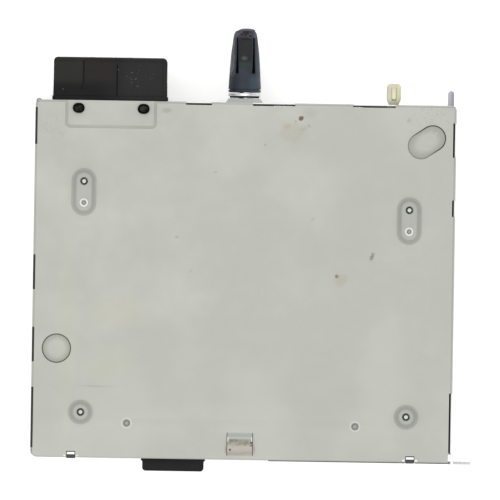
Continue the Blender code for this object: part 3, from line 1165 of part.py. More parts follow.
def make_front_panel():
    low, high = SHEET + GAP, UNDER_TOP - GAP
    hook_top = HEIGHT - SHEET / 4
    hook_half = NOTCH_WIDTH / 2 - GAP
    outline = [
        (-PANEL_HALF_WIDTH, low),
        (PANEL_HALF_WIDTH, low),
        (PANEL_HALF_WIDTH, high),
        (NOTCH_X + hook_half, high),
        (NOTCH_X + hook_half, hook_top),
        (NOTCH_X - hook_half, hook_top),
        (NOTCH_X - hook_half, high),
        (-NOTCH_X + hook_half, high),
        (-NOTCH_X + hook_half, hook_top),
        (-NOTCH_X - hook_half, hook_top),
        (-NOTCH_X - hook_half, high),
        (-PANEL_HALF_WIDTH, high),
    ]
    half_slot = SLOT_WIDTH / 2
    holes = [
        rounded(-half_slot, DISC_Z - SLOT_HEIGHT / 2, half_slot, DISC_Z + SLOT_HEIGHT / 2, SLOT_CORNER),
        rectangle(
            FRONT_PLUG_LEFT - GAP, FRONT_PLUG_LOW - GAP, FRONT_PLUG_RIGHT + GAP, FRONT_PLUG_HIGH + GAP
        ),
        rounded(
            PANEL_WINDOW_X - PANEL_WINDOW_WIDTH / 2,
            PANEL_HOLE_HIGH - PANEL_WINDOW_HEIGHT / 2,
            PANEL_WINDOW_X + PANEL_WINDOW_WIDTH / 2,
            PANEL_HOLE_HIGH + PANEL_WINDOW_HEIGHT / 2,
            SLOT_CORNER,
        ),
    ]
    for x in (-PANEL_HOLE_X, PANEL_HOLE_X):
        for z in (PANEL_HOLE_LOW, PANEL_HOLE_HIGH):
            holes.append(circle(PANEL_HOLE_RADIUS, HOLE_STEPS, (x, z)))
    return prism("front_panel", outline, SHEET, (0, panel_centre_y(), 0), "XZ", PANEL_STEEL, holes)


def make_slot_felts():
    front = panel_centre_y() + SHEET / 2 + GAP
    for name, sign in (("slot_felt_upper", 1), ("slot_felt_lower", -1)):
        near = DISC_Z + sign * FELT_GAP / 2
        far = near + sign * FELT_HEIGHT
        low = (-FELT_WIDTH / 2, front, min(near, far))
        high = (FELT_WIDTH / 2, front + FELT_THICK, max(near, far))
        block(name, low, high, FELT_GREY, FELT_THICK / 4)


# Mounting strip


def strip_outer_x():
    return INNER_RIGHT - GAP


def make_mounting_strip():
    centre_x = strip_outer_x() - STRIP_THICK / 2
    corner_x, corner_y = centre_x + STRIP_BEND, FLANGE_CENTRE_Y + STRIP_BEND
    hem = (TONGUE_THICK - STRIP_THICK) / 2
    quarter = TURN / 4
    path = [(FLANGE_TIP_X, FLANGE_CENTRE_Y)]
    path += arc((corner_x, corner_y), STRIP_BEND, 3 * quarter, 2 * quarter, BEND_STEPS)
    hem_y = TONGUE_END_Y - hem - STRIP_THICK / 2
    path += arc((centre_x - hem, hem_y), hem, 0, 2 * quarter, 2 * BEND_STEPS)
    path.append((centre_x - 2 * hem, TONGUE_TAIL_Y))
    strip = bent_strip("mounting_strip", path, STRIP_LOW, STRIP_HIGH, STRIP_THICK, "XY", STRIP_STEEL)
    left, right = centre_x - TONGUE_THICK - OVERRUN, centre_x + OVERRUN
    tail = TONGUE_TAIL_Y - GAP
    over = (left, tail, TONGUE_HIGH), (right, TONGUE_END_Y + OVERRUN, STRIP_HIGH + OVERRUN)
    under = (left, tail, STRIP_LOW - OVERRUN), (right, TONGUE_END_Y + OVERRUN, TONGUE_LOW)
    cut(strip, block("tongue_over", *over), block("tongue_under", *under))
    hole_x = (FLANGE_TIP_X + RIGHT) / 2
    hole_z = (STRIP_LOW + STRIP_HIGH) / 2
    front, rear = FLANGE_CENTRE_Y - OVERRUN, FLANGE_CENTRE_Y + OVERRUN
    cut(strip, rod("flange_hole", (hole_x, front, hole_z), (hole_x, rear, hole_z), FLANGE_HOLE_RADIUS))
    return strip


# Main connector


def chamber_boxes():
    """Low and high corners of the four chambers, as X and Z."""
    left, right = CONNECTOR_LEFT + CONNECTOR_WALL, CONNECTOR_RIGHT - CONNECTOR_WALL
    low = CONNECTOR_LOW + CONNECTOR_WALL
    boxes = [(left, low, right, low + LOWER_CHAMBER_HEIGHT)]
    upper_low = low + LOWER_CHAMBER_HEIGHT + CONNECTOR_WALL
    upper_high = CONNECTOR_HIGH - CONNECTOR_WALL
    width = (right - left - 2 * CONNECTOR_WALL) / SMALL_CHAMBERS
    for i in range(SMALL_CHAMBERS):
        start = left + i * (width + CONNECTOR_WALL)
        boxes.append((start, upper_low, start + width, upper_high))
    return boxes


def make_main_connector():
    outline = rounded(CONNECTOR_LEFT, CONNECTOR_LOW, CONNECTOR_RIGHT, CONNECTOR_HIGH, CONNECTOR_CORNER)
    length = CONNECTOR_END_Y - CONNECTOR_INNER_Y
    middle = (CONNECTOR_END_Y + CONNECTOR_INNER_Y) / 2
    housing = prism("main_connector_housing", outline, length, (0, middle, 0), "XZ", BLACK_NYLON)
    grow = CONNECTOR_FLANGE
    rim = rounded(
        CONNECTOR_LEFT - grow,
        CONNECTOR_LOW - grow,
        CONNECTOR_RIGHT + grow,
        CONNECTOR_HIGH + grow,
        CONNECTOR_CORNER,
    )
    rim_y = REAR + GAP + CONNECTOR_FLANGE_THICK / 2
    join(housing, prism("connector_rim", rim, CONNECTOR_FLANGE_THICK, (0, rim_y, 0), "XZ"))
    for i, (left, low, right, high) in enumerate(chamber_boxes()):
        hollow = block(
            f"chamber_{i}", (left, CHAMBER_FLOOR_Y, low), (right, CONNECTOR_END_Y + OVERRUN, high)
        )
        cut(housing, hollow)
    boxes = chamber_boxes()
    slot_low = (boxes[1][0], CHAMBER_FLOOR_Y, boxes[1][1])
    slot_high = (boxes[-1][2], CHAMBER_FLOOR_Y + HEADER_THICK + 2 * GAP, boxes[1][3])
    cut(housing, block("header_slot", slot_low, slot_high))
    key_z = boxes[0][1]
    for x in (CONNECTOR_LEFT / 3 + CONNECTOR_RIGHT * 2 / 3, CONNECTOR_LEFT * 2 / 3 + CONNECTOR_RIGHT / 3):
        low = (x - KEY_WIDTH / 2, CHAMBER_FLOOR_Y + HEADER_THICK + GAP * 2, key_z - KEY_DEPTH)
        high = (x + KEY_WIDTH / 2, CONNECTOR_END_Y + OVERRUN, key_z + KEY_DEPTH)
        cut(housing, block("keyway", low, high))
    top = CONNECTOR_HIGH - LIP_RECESS
    low = (CONNECTOR_LEFT - OVERRUN, rim_y + CONNECTOR_FLANGE_THICK / 2, top)
    high = (CONNECTOR_RIGHT - CHAMBER_LIP, CONNECTOR_END_Y - CHAMBER_LIP, CONNECTOR_HIGH + OVERRUN)
    cut(housing, block("top_recess", low, high))
    for x in GROOVE_X:
        low = (x - GROOVE_WIDTH / 2, rim_y + CONNECTOR_FLANGE_THICK / 2, top - LIP_RECESS)
        high = (x + GROOVE_WIDTH / 2, CONNECTOR_END_Y - CHAMBER_LIP, CONNECTOR_HIGH + OVERRUN)
        cut(housing, block("top_groove", low, high))
    for x in (PEG_LEFT_X, PEG_RIGHT_X):
        foot = CONNECTOR_HIGH - PEG_REACH
        radius = PEG_SHANK_RADIUS + PIN_PLAY
        hole = rod(
            "peg_socket",
            (x, PEG_Y, foot),
            (x, PEG_Y, CONNECTOR_HIGH + OVERRUN),
            radius,
            steps=SMALL_ROUND_STEPS,
        )
        cut(housing, hole)
    return housing


def pin_header(name, box, floor_y, end_y, columns, rows, pin_width, pin_thick, material, toward=1):
    """An insulator plate at the bottom of a chamber with rows of pins."""
    left, low, right, high = box
    back = floor_y + toward * GAP
    face = back + toward * HEADER_THICK
    plate = block(
        name,
        (left + GAP, min(back, face), low + GAP),
        (right - GAP, max(back, face), high - GAP),
        material,
    )
    root = back + toward * HEADER_THICK / 2
    for i in range(columns):
        for j in range(rows):
            x = left + (right - left) * (i + 1 / 2) / columns
            z = low + (high - low) * (j + 1 / 2) / rows
            pin_low = (x - pin_width / 2, min(root, end_y), z - pin_thick / 2)
            pin_high = (x + pin_width / 2, max(root, end_y), z + pin_thick / 2)
            join(plate, block(f"{name}_pin_{i}_{j}", pin_low, pin_high))
    return plate


def make_pin_headers():
    """Blades in the large chamber, and one strip of small pins for the three small ones."""
    boxes = chamber_boxes()
    pin_header(
        "power_pin_header",
        boxes[0],
        CHAMBER_FLOOR_Y,
        HEADER_END_Y,
        BLADE_COLUMNS,
        BLADE_ROWS,
        BLADE_THICK,
        BLADE_WIDTH,
        CONTACT_TIN,
    )
    small_end = (CHAMBER_FLOOR_Y + HEADER_END_Y) / 2 + HEADER_THICK
    left, low, _, high = boxes[1]
    right = boxes[-1][2]
    columns = SMALL_COLUMNS * SMALL_CHAMBERS
    pin_header(
        "signal_pin_header",
        (left, low, right, high),
        CHAMBER_FLOOR_Y,
        small_end,
        columns,
        SMALL_ROWS,
        SMALL_PIN,
        SMALL_PIN,
        CONTACT_TIN,
    )


def make_connector_pegs():
    head_low = HEIGHT - PAD_DEPTH + GAP
    head_high = head_low + PEG_HEAD_RISE
    reach = (PEG_HEAD_LENGTH - PEG_HEAD_WIDTH) / 2
    for name, x in (("connector_peg_left", PEG_LEFT_X), ("connector_peg_right", PEG_RIGHT_X)):
        outline = obround(x - reach, PEG_Y, x + reach, PEG_Y, PEG_HEAD_WIDTH / 2)
        head_at = (0, 0, (head_low + head_high) / 2)
        peg = prism(name, outline, head_high - head_low, head_at, "XY", PEG_BLACK)
        foot = CONNECTOR_HIGH - PEG_REACH + GAP
        shank = rod(
            name + "_shank",
            (x, PEG_Y, foot),
            (x, PEG_Y, head_low + GAP),
            PEG_SHANK_RADIUS,
            steps=SMALL_ROUND_STEPS,
        )
        join(peg, shank)
        dish = obround(x - reach, PEG_Y, x + reach, PEG_Y, PEG_HEAD_WIDTH / 2 - PEG_DISH_RIM)
        dish_at = (0, 0, head_high)
        cut(peg, prism(name + "_dish", dish, 2 * PEG_DISH_DEPTH, dish_at, "XY"))


# Aerial socket


def make_aerial_socket():
    half_width, half_height = AERIAL_WIDTH / 2, AERIAL_HEIGHT / 2
    outline = rounded(
        AERIAL_X - half_width,
        AERIAL_Z - half_height,
        AERIAL_X + half_width,
        AERIAL_Z + half_height,
        AERIAL_CORNER,
    )
    length = AERIAL_END_Y - AERIAL_INNER_Y
    at = (0, (AERIAL_END_Y + AERIAL_INNER_Y) / 2, 0)
    socket = prism("aerial_socket", outline, length, at, "XZ", CREAM_NYLON)
    wall = AERIAL_WALL
    cut(
        socket,
        block(
            "aerial_cavity",
            (AERIAL_X - half_width + wall, AERIAL_FLOOR_Y, AERIAL_Z - half_height + wall),
            (AERIAL_X + half_width - wall, AERIAL_END_Y + OVERRUN, AERIAL_Z + half_height - wall),
        ),
    )
    key_half = AERIAL_KEY_WIDTH / 2
    top = AERIAL_Z + half_height
    join(
        socket,
        block(
            "aerial_key",
            (AERIAL_X - key_half, AERIAL_KEY_Y, top - wall / 2),
            (AERIAL_X + key_half, AERIAL_KEY_END, top + AERIAL_KEY_RISE),
        ),
    )
    root = (AERIAL_INNER_Y + AERIAL_FLOOR_Y) / 2
    centre = lambda y: (AERIAL_X, y, AERIAL_Z)
    bore = FERRULE_RADIUS + PIN_PLAY
    cut(
        socket,
        rod("ferrule_bore", centre(root), centre(AERIAL_FLOOR_Y + OVERRUN), bore, steps=HOLE_STEPS),
    )
    inner = FERRULE_RADIUS - FERRULE_WALL
    start = root + GAP
    profile = [
        (FERRULE_RADIUS, FERRULE_END_Y - start),
        (FERRULE_RADIUS, 0),
        (inner, 0),
        (inner, FERRULE_END_Y - start),
    ]
    turned("aerial_ferrule", profile, centre(start), "Y", BRASS, HOLE_STEPS, closed=True)
    pin_start = (AERIAL_INNER_Y + root) / 2
    socket_hole = AERIAL_PIN_RADIUS + PIN_PLAY
    cut(socket, rod("pin_bore", centre(pin_start), centre(root + OVERRUN), socket_hole, steps=8))
    rod(
        "aerial_pin",
        centre(pin_start + GAP),
        centre(AERIAL_PIN_END_Y),
        AERIAL_PIN_RADIUS,
        CONTACT_TIN,
        SMALL_ROUND_STEPS,
    )


# Locating stud


def make_rear_stud():
    head = INNER_REAR - GAP
    profile = [
        (0, STUD_END_Y),
        (STUD_RADIUS - STUD_TIP_CHAMFER, STUD_END_Y),
        (STUD_RADIUS, STUD_END_Y - STUD_TIP_CHAMFER),
        (STUD_RADIUS, head),
        (STUD_HEAD_RADIUS, head),
        (STUD_HEAD_RADIUS, head - STUD_HEAD_THICK),
        (0, head - STUD_HEAD_THICK),
    ]
    turned("rear_stud", profile, (0, 0, STUD_Z), "Y", BRIGHT_STEEL, HOLE_STEPS)
    start = REAR + COLLAR_RISE + GAP
    end = start + RING_THICK
    bore = STUD_RADIUS + PIN_PLAY
    profile = [
        (RING_RADIUS - RING_EDGE, end),
        (RING_RADIUS, end - RING_EDGE),
        (RING_RADIUS, start + RING_EDGE),
        (RING_RADIUS - RING_EDGE, start),
        (bore, start),
        (bore, end),
    ]
    turned("stud_ring", profile, (0, 0, STUD_Z), "Y", BRIGHT_STEEL, ROUND_STEPS, closed=True)
    return end + GAP


BOOT_PROFILE_SHARES = (
    (0.0, 1.0),
    (0.12, 0.985),
    (0.50, 0.905),
    (0.80, 0.765),
    (0.86, 0.715),
    (0.92, 0.62),
    (0.967, 0.47),
    (0.99, 0.27),
)


def make_rubber_boot(start):
    """Tapered rubber boot with a domed end, a root groove and pairs of long slots above and below."""
    length = BOOT_END_Y - start
    outer = [(BOOT_RADIUS * wide, start + length * far) for far, wide in BOOT_PROFILE_SHARES[1:]]
    bore = STUD_RADIUS + PIN_PLAY
    profile = [(0, BOOT_END_Y)]
    profile += reversed(outer)
    profile += [
        (BOOT_RADIUS, start + BOOT_ROOT),
        (BOOT_RADIUS - BOOT_ROOT_DEPTH, start + BOOT_ROOT),
        (BOOT_RADIUS - BOOT_ROOT_DEPTH, start + BOOT_ROOT * 2 / 3),
        (BOOT_RADIUS, start + BOOT_ROOT * 2 / 3),
        (BOOT_RADIUS, start),
        (bore, start),
        (bore, STUD_END_Y - STUD_TIP_CHAMFER + GAP),
        (bore - STUD_TIP_CHAMFER, STUD_END_Y + GAP),
        (0, STUD_END_Y + GAP),
    ]
    boot = turned("rubber_boot", profile, (0, 0, STUD_Z), "Y", BOOT_RUBBER, ROUND_STEPS)
    for side, sign in (("upper", 1), ("lower", -1)):
        for x in (-BOOT_SLOT_X, BOOT_SLOT_X):
            near, far = STUD_Z + sign * BOOT_SLOT_FLOOR, STUD_Z + sign * (BOOT_RADIUS + OVERRUN)
            low = (x - BOOT_SLOT_WIDTH / 2, BOOT_SLOT_START, min(near, far))
            high = (x + BOOT_SLOT_WIDTH / 2, BOOT_SLOT_END, max(near, far))
            cut(boot, block(side + "_boot_slot", low, high))
    return boot


# Front connector


def make_front_connector():
    outline = rounded(
        FRONT_PLUG_LEFT, FRONT_PLUG_END_Y, FRONT_PLUG_RIGHT, FRONT_PLUG_INNER_Y, FRONT_PLUG_CORNER
    )
    height = FRONT_PLUG_HIGH - FRONT_PLUG_LOW
    middle = (FRONT_PLUG_HIGH + FRONT_PLUG_LOW) / 2
    housing = prism("front_connector", outline, height, (0, 0, middle), "XY", BLACK_NYLON)
    wall = FRONT_PLUG_WALL
    box = (
        FRONT_PLUG_LEFT + wall,
        FRONT_PLUG_LOW + wall,
        FRONT_PLUG_RIGHT - wall,
        FRONT_PLUG_HIGH - wall,
    )
    hollow = block(
        "front_cavity", (box[0], FRONT_PLUG_END_Y - OVERRUN, box[1]), (box[2], FRONT_PLUG_FLOOR_Y, box[3])
    )
    cut(housing, hollow)
    pin_header(
        "front_pin_header",
        box,
        FRONT_PLUG_FLOOR_Y,
        FRONT_PIN_END_Y,
        FRONT_PIN_COLUMNS,
        FRONT_PIN_ROWS,
        SMALL_PIN,
        SMALL_PIN,
        CONTACT_TIN,
        -1,
    )


# Board and its screws


def make_main_board():
    notch = BOARD_NOTCH
    outline = [
        (BOARD_LEFT, BOARD_FRONT + notch),
        (BOARD_LEFT + notch, BOARD_FRONT + notch),
        (BOARD_LEFT + notch, BOARD_FRONT),
        (BOARD_RIGHT - notch, BOARD_FRONT),
        (BOARD_RIGHT - notch, BOARD_FRONT + notch),
        (BOARD_RIGHT, BOARD_FRONT + notch),
        (BOARD_RIGHT, BOARD_REAR - notch),
        (BOARD_RIGHT - notch, BOARD_REAR),
        (BOARD_LEFT, BOARD_REAR),
    ]
    holes = [circle(SCREW_HOLE_RADIUS, SMALL_ROUND_STEPS, (x, y)) for _, x, y in screw_places()]
    for x in (PEG_LEFT_X, PEG_RIGHT_X):
        holes.append(circle(PEG_SHANK_RADIUS + PIN_PLAY, SMALL_ROUND_STEPS, (x, PEG_Y)))
    pip_hole = PIP_RADIUS + DIE_SPREAD + PIN_PLAY
    for x, y in ((LEFT_SCREW_X, LEFT_SCREW_Y), (RIGHT_SCREW_X, RIGHT_SCREW_Y)):
        holes.append(circle(pip_hole, SMALL_ROUND_STEPS, (x, y - PIP_BEHIND_SCREW)))
    at = (0, 0, (BOARD_LOW + BOARD_HIGH) / 2)
    return prism("main_board", outline, BOARD_THICK, at, "XY", BOARD_GREEN, holes)


def screw(name, x, y, seat, tip, material=BRIGHT_STEEL):
    """A pan-head screw seen from below, its head under the seat and its shank reaching up to the tip."""
    head_low = seat - SCREW_HEAD_THICK
    profile = [
        (0, tip),
        (SCREW_TIP_RADIUS, tip),
        (SCREW_SHANK_RADIUS, tip - SCREW_TIP_LENGTH),
        (SCREW_SHANK_RADIUS, seat),
        (SCREW_HEAD_RADIUS, seat),
        (SCREW_HEAD_RADIUS * 3 / 4, head_low),
        (0, head_low),
    ]
    piece = turned(name, profile, (x, y, 0), "Z", material, SMALL_ROUND_STEPS)
    long_half, short_half = SCREW_CROSS_LENGTH / 2, SCREW_CROSS_WIDTH / 2
    top = head_low + SCREW_CROSS_DEPTH
    for a, b in ((long_half, short_half), (short_half, long_half)):
        cut(piece, block(name + "_recess", (x - a, y - b, head_low - OVERRUN), (x + a, y + b, top)))
    return piece


def make_screws():
    for name, x, y in screw_places():
        screw("board_screw_" + name, x, y, BOARD_LOW - GAP, HEIGHT - SCREW_TIP_BELOW_TOP)
    seat = DISH_DEPTH - GAP
    for name, x, y in deck_screw_places():
        screw(name, x, y, seat, DECK_LOW + DECK_SHEET + SCREW_TIP_LENGTH * 2)
    for name, x, y in cover_screw_places():
        screw(name, x, y, seat, FOOT_Z + SHEET + SCREW_TIP_LENGTH * 2)


# Parts under the board


def make_heat_sink():
    """Finned aluminium section by the rear wall, with a flat land for the amplifier chip."""
    rear = INNER_REAR - GAP
    base = rear - SINK_BASE
    outline = [(SINK_RIGHT, base), (SINK_RIGHT, rear), (SINK_LEFT, rear), (SINK_LEFT, base)]
    starts = [SINK_LEFT + i * SINK_FIN_PITCH for i in range(SINK_SIDE_FINS)]
    last = SINK_RIGHT - SINK_FIN_WIDTH
    starts += [last - i * SINK_FIN_PITCH for i in reversed(range(SINK_SIDE_FINS))]
    for start in starts:
        end = start + SINK_FIN_WIDTH
        outline += [(start, base), (start, base - SINK_FIN), (end, base - SINK_FIN), (end, base)]
    cleaned = [p for i, p in enumerate(outline) if p != outline[i - 1]]
    if cleaned[0] == cleaned[-1]:
        cleaned.pop()
    at = (0, 0, (SINK_LOW + SINK_HIGH) / 2)
    return prism("heat_sink", cleaned, SINK_HIGH - SINK_LOW, at, "XY", SINK_ALUMINIUM)


def make_amplifier_chip():
    centre = (SINK_LEFT + SINK_RIGHT) / 2
    rear = INNER_REAR - GAP - SINK_BASE - GAP
    low = SINK_LOW + CHIP_RISE
    half = CHIP_WIDTH / 2
    chip = block(
        "amplifier_chip",
        (centre - half, rear - CHIP_THICK, low),
        (centre + half, rear, low + CHIP_HEIGHT),
        CHIP_EPOXY,
    )
    leg_top = BOARD_LOW - GAP
    for i in range(CHIP_LEGS):
        x = centre - half + CHIP_WIDTH * (i + 1 / 2) / CHIP_LEGS
        y = rear - CHIP_THICK / 2
        leg_low = (x - LEG_WIDTH / 2, y - LEG_WIDTH / 2, low + CHIP_HEIGHT - LEG_WIDTH)
        leg_high = (x + LEG_WIDTH / 2, y + LEG_WIDTH / 2, leg_top)
        join(chip, block(f"chip_leg_{i}", leg_low, leg_high))
    return chip


def make_tuner_can():
    can = block(
        "tuner_can",
        (TUNER_LEFT, TUNER_FRONT, TUNER_LOW),
        (TUNER_RIGHT, TUNER_REAR, BOARD_LOW - GAP),
        TIN_PLATE,
        SHEET / 2,
    )
    for i in range(TUNER_DENTS):
        x = TUNER_LEFT + (TUNER_RIGHT - TUNER_LEFT) * (i + 1) / (TUNER_DENTS + 1)
        half = TUNER_DENT / 2
        low = (x - half, TUNER_FRONT + TUNER_DENT, TUNER_LOW - OVERRUN)
        high = (x + half / 2, TUNER_REAR - TUNER_DENT, TUNER_LOW + TUNER_DENT_DEPTH)
        cut(can, block(f"tuner_dent_{i}", low, high))
    return can


def make_filter_capacitor():
    """An electrolytic capacitor lying on the board's underside."""
    radius, length = CAPACITOR_RADIUS, CAPACITOR_LENGTH
    edge, groove, at = CAPACITOR_ROUND, CAPACITOR_GROOVE, CAPACITOR_GROOVE_AT
    profile = [
        (0, length / 2),
        (radius - edge, length / 2),
        (radius, length / 2 - edge),
        (radius, at + groove - length / 2),
        (radius - groove, at - length / 2),
        (radius, at - groove - length / 2),
        (radius, edge - length / 2),
        (radius - edge, -length / 2),
        (0, -length / 2),
    ]
    centre = (CAPACITOR_X, CAPACITOR_Y, BOARD_LOW - GAP - radius)
    return turned("filter_capacitor", profile, centre, "X", SLEEVE_BLUE, HOLE_STEPS)


# Disc deck


def make_deck_frame():
    """Folded base with two side walls, pins for the bushes, bearings, guide studs and the drive's stud."""
    frame = open_box(
        "deck_frame",
        (-DECK_HALF_WIDTH, DECK_FRONT, DECK_LOW),
        (DECK_HALF_WIDTH, DECK_REAR, DECK_HIGH),
        ("-Y", "+Y", "+Z"),
        DECK_FOLD,
        DECK_STEEL,
    )
    shell(frame, DECK_SHEET, -1)
    floor = DECK_LOW + DECK_SHEET
    window = block(
        "deck_window",
        (DECK_WINDOW_LEFT, DECK_WINDOW_FRONT, DECK_LOW - OVERRUN),
        (DECK_WINDOW_RIGHT, DECK_WINDOW_REAR, floor + OVERRUN),
    )
    waist = block(
        "deck_waist",
        (-DECK_HALF_WIDTH - OVERRUN, DECK_WAIST_FRONT, DECK_WAIST_Z),
        (DECK_HALF_WIDTH + OVERRUN, DECK_WAIST_REAR, DECK_HIGH + OVERRUN),
    )
    cut(frame, window, waist)
    for name, x, y in deck_screw_places():
        cut(
            frame,
            upright_hole(name + "_pilot", x, y, SCREW_HOLE_RADIUS, DECK_LOW, floor, SMALL_ROUND_STEPS),
        )
    for name, x, y in bush_places():
        post = rod(
            name + "_post",
            (x, y, DECK_LOW + DECK_SHEET / 2),
            (x, y, BUSH_HIGH + GAP),
            BUSH_PIN_RADIUS,
            steps=8,
        )
        join(frame, post)
    pierce_deck_walls(frame)
    add_deck_studs(frame)
    return frame


def across(name, side, y, z, radius, steps=SMALL_ROUND_STEPS, near=None, far=None):
    """A round cutter or pin that runs along X through one side wall of the deck."""
    near = DECK_WALL_IN - OVERRUN if near is None else near
    far = DECK_HALF_WIDTH + OVERRUN if far is None else far
    return rod(name, (side * near, y, z), (side * far, y, z), radius, steps=steps)


def pierce_deck_walls(frame):
    pivot = ARM_PIN_RADIUS + PIN_PLAY
    for name, side in (("left", -1), ("right", 1)):
        cut(frame, across(name + "_arm_bearing", side, ARM_PIVOT_Y, ARM_Z, pivot))
        cut(frame, across(name + "_bail_bearing", side, ROLLER_PIVOT_Y, ROLLER_Z, pivot))
    swing = (ROLLER_PIVOT_Y - ROLLER_Y) * math.sin(ROLLER_DROP)
    shaft_window = obround(
        ROLLER_Y, ROLLER_Z - swing, ROLLER_Y, ROLLER_Z, SHAFT_WINDOW_HALF, SMALL_ROUND_STEPS
    )
    wall = 2 * (DECK_SHEET + OVERRUN)
    cut(frame, prism("shaft_window", shaft_window, wall, (-DECK_WALL_IN, 0, 0), "YZ"))
    room = FOLLOWER_RADIUS + 2 * FOLLOWER_PLAY
    for name, y, z, drop in follower_places():
        window = obround(y, z - drop, y, z, room, SMALL_ROUND_STEPS)
        cut(frame, prism(name + "_window", window, wall, (DECK_WALL_IN, 0, 0), "YZ"))
    shaft_hole = MOTOR_SHAFT_RADIUS + PIN_PLAY
    cut(frame, across("motor_hole", -1, LOADING_MOTOR_Y, LOADING_MOTOR_Z, shaft_hole))


def follower_places():
    """Each follower pin of the mode slide: its name, place at rest and how far it drops."""
    roller_drop = (ROLLER_PIVOT_Y - ROLLER_FOLLOWER_Y) * math.sin(ROLLER_DROP)
    arm_drop = (ARM_PIVOT_Y - ARM_FOLLOWER_Y) * math.sin(ARM_DROP)
    return (
        ("roller_follower", ROLLER_FOLLOWER_Y, ROLLER_Z, roller_drop),
        ("arm_follower", ARM_FOLLOWER_Y, ARM_Z, arm_drop),
    )


def slide_face():
    return DECK_HALF_WIDTH + GAP


def add_deck_studs(frame):
    root = DECK_HALF_WIDTH - DECK_SHEET / 2
    outer = slide_face() + SLIDE_THICK + GAP
    for name, y in (("front", SLIDE_STUD_FRONT_Y), ("rear", SLIDE_STUD_REAR_Y)):
        join(
            frame,
            across(
                name + "_slide_stud", 1, y, SLIDE_STUD_Z, SLIDE_STUD_RADIUS, near=root, far=outer + GAP
            ),
        )
        head_end = outer + SLIDE_STUD_HEAD_THICK
        join(
            frame,
            across(name + "_slide_head", 1, y, SLIDE_STUD_Z, SLIDE_STUD_HEAD, near=outer, far=head_end),
        )
    drive_z = drive_axis_z()
    join(
        frame,
        across("drive_stud", -1, ROLLER_Y, drive_z, DRIVE_STUD_RADIUS, near=root, far=-DRIVE_STUD_END),
    )


def bush_places():
    rows = (("front", BUSH_FRONT_Y), ("rear", BUSH_REAR_Y))
    sides = (("left", BUSH_LEFT_X), ("right", BUSH_RIGHT_X))
    return [(f"damper_bush_{row}_{side}", x, y) for row, y in rows for side, x in sides]


def make_damper_bushes():
    low = DECK_LOW + DECK_SHEET + GAP
    groove_low, groove_high = TRAVERSE_LOW - GAP, TRAVERSE_HIGH + GAP
    profile = [
        (BUSH_RADIUS - BUSH_BEAD, BUSH_HIGH),
        (BUSH_RADIUS, groove_high),
        (BUSH_WAIST, groove_high),
        (BUSH_WAIST, groove_low),
        (BUSH_RADIUS, groove_low),
        (BUSH_RADIUS - BUSH_BEAD, low),
        (BUSH_BORE, low),
        (BUSH_BORE, BUSH_HIGH),
    ]
    for name, x, y in bush_places():
        turned(name, profile, (x, y, 0), "Z", BUSH_RUBBER, SMALL_ROUND_STEPS, closed=True)


def rod_rows():
    """Y of the main rod, the second rod and the lead screw."""
    return SPINDLE_Y - MAIN_ROD_BEFORE, SPINDLE_Y + SUB_ROD_BEHIND, SPINDLE_Y - SCREW_BEFORE


def make_traverse_plate():
    main_y, sub_y, screw_y = rod_rows()
    middle = (TRAVERSE_LOW + TRAVERSE_HIGH) / 2
    holes = [circle(BUSH_WAIST + PIN_PLAY, SMALL_ROUND_STEPS, (x, y)) for _, x, y in bush_places()]
    window = rectangle(
        TRAVERSE_WINDOW_START, SLED_FRONT - 3 * GAP, TRAVERSE_WINDOW_END, SLED_REAR + 3 * GAP
    )
    room = SLED_MOTOR_RADIUS + 2 * GAP
    motor_window = rectangle(
        SLED_MOTOR_LEFT - 2 * GAP, screw_y - room, SLED_MOTOR_RIGHT + GAP, screw_y + room
    )
    outline = rounded(TRAVERSE_LEFT, TRAVERSE_FRONT, TRAVERSE_RIGHT, TRAVERSE_REAR, HOLDER_HALF)
    holes += [window, motor_window, circle(STATOR_RADIUS / 3, HOLE_STEPS, (SPINDLE_X, SPINDLE_Y))]
    plate = prism("traverse_plate", outline, TRAVERSE_THICK, (0, 0, middle), "XY", DECK_STEEL, holes)
    near = ROD_START - GAP
    far = TRAVERSE_WINDOW_END + GAP
    root = middle
    for name, start in (("near", near), ("far", far)):
        front = screw_y - HOLDER_HALF
        rear = main_y + HOLDER_HALF
        if name == "near":
            start = SLED_MOTOR_RIGHT + GAP
        low, high = (start, front, root), (start + HOLDER_THICK, rear, HOLDER_HIGH)
        join(plate, block(name + "_front_holder", low, high))
        low = (start, sub_y - HOLDER_HALF, root)
        high = (start + HOLDER_THICK, sub_y + HOLDER_HALF, HOLDER_HIGH)
        join(plate, block(name + "_rear_holder", low, high))
    for name, y, radius in (
        ("main_rod", main_y, MAIN_ROD_RADIUS),
        ("sub_rod", sub_y, SUB_ROD_RADIUS),
        ("lead_screw", screw_y, LEAD_SCREW_RADIUS),
    ):
        start, end = (near - OVERRUN, y, ROD_Z), (ROD_END + OVERRUN, y, ROD_Z)
        cut(plate, rod(name + "_bores", start, end, radius + PIN_PLAY, steps=SMALL_ROUND_STEPS))
    return plate


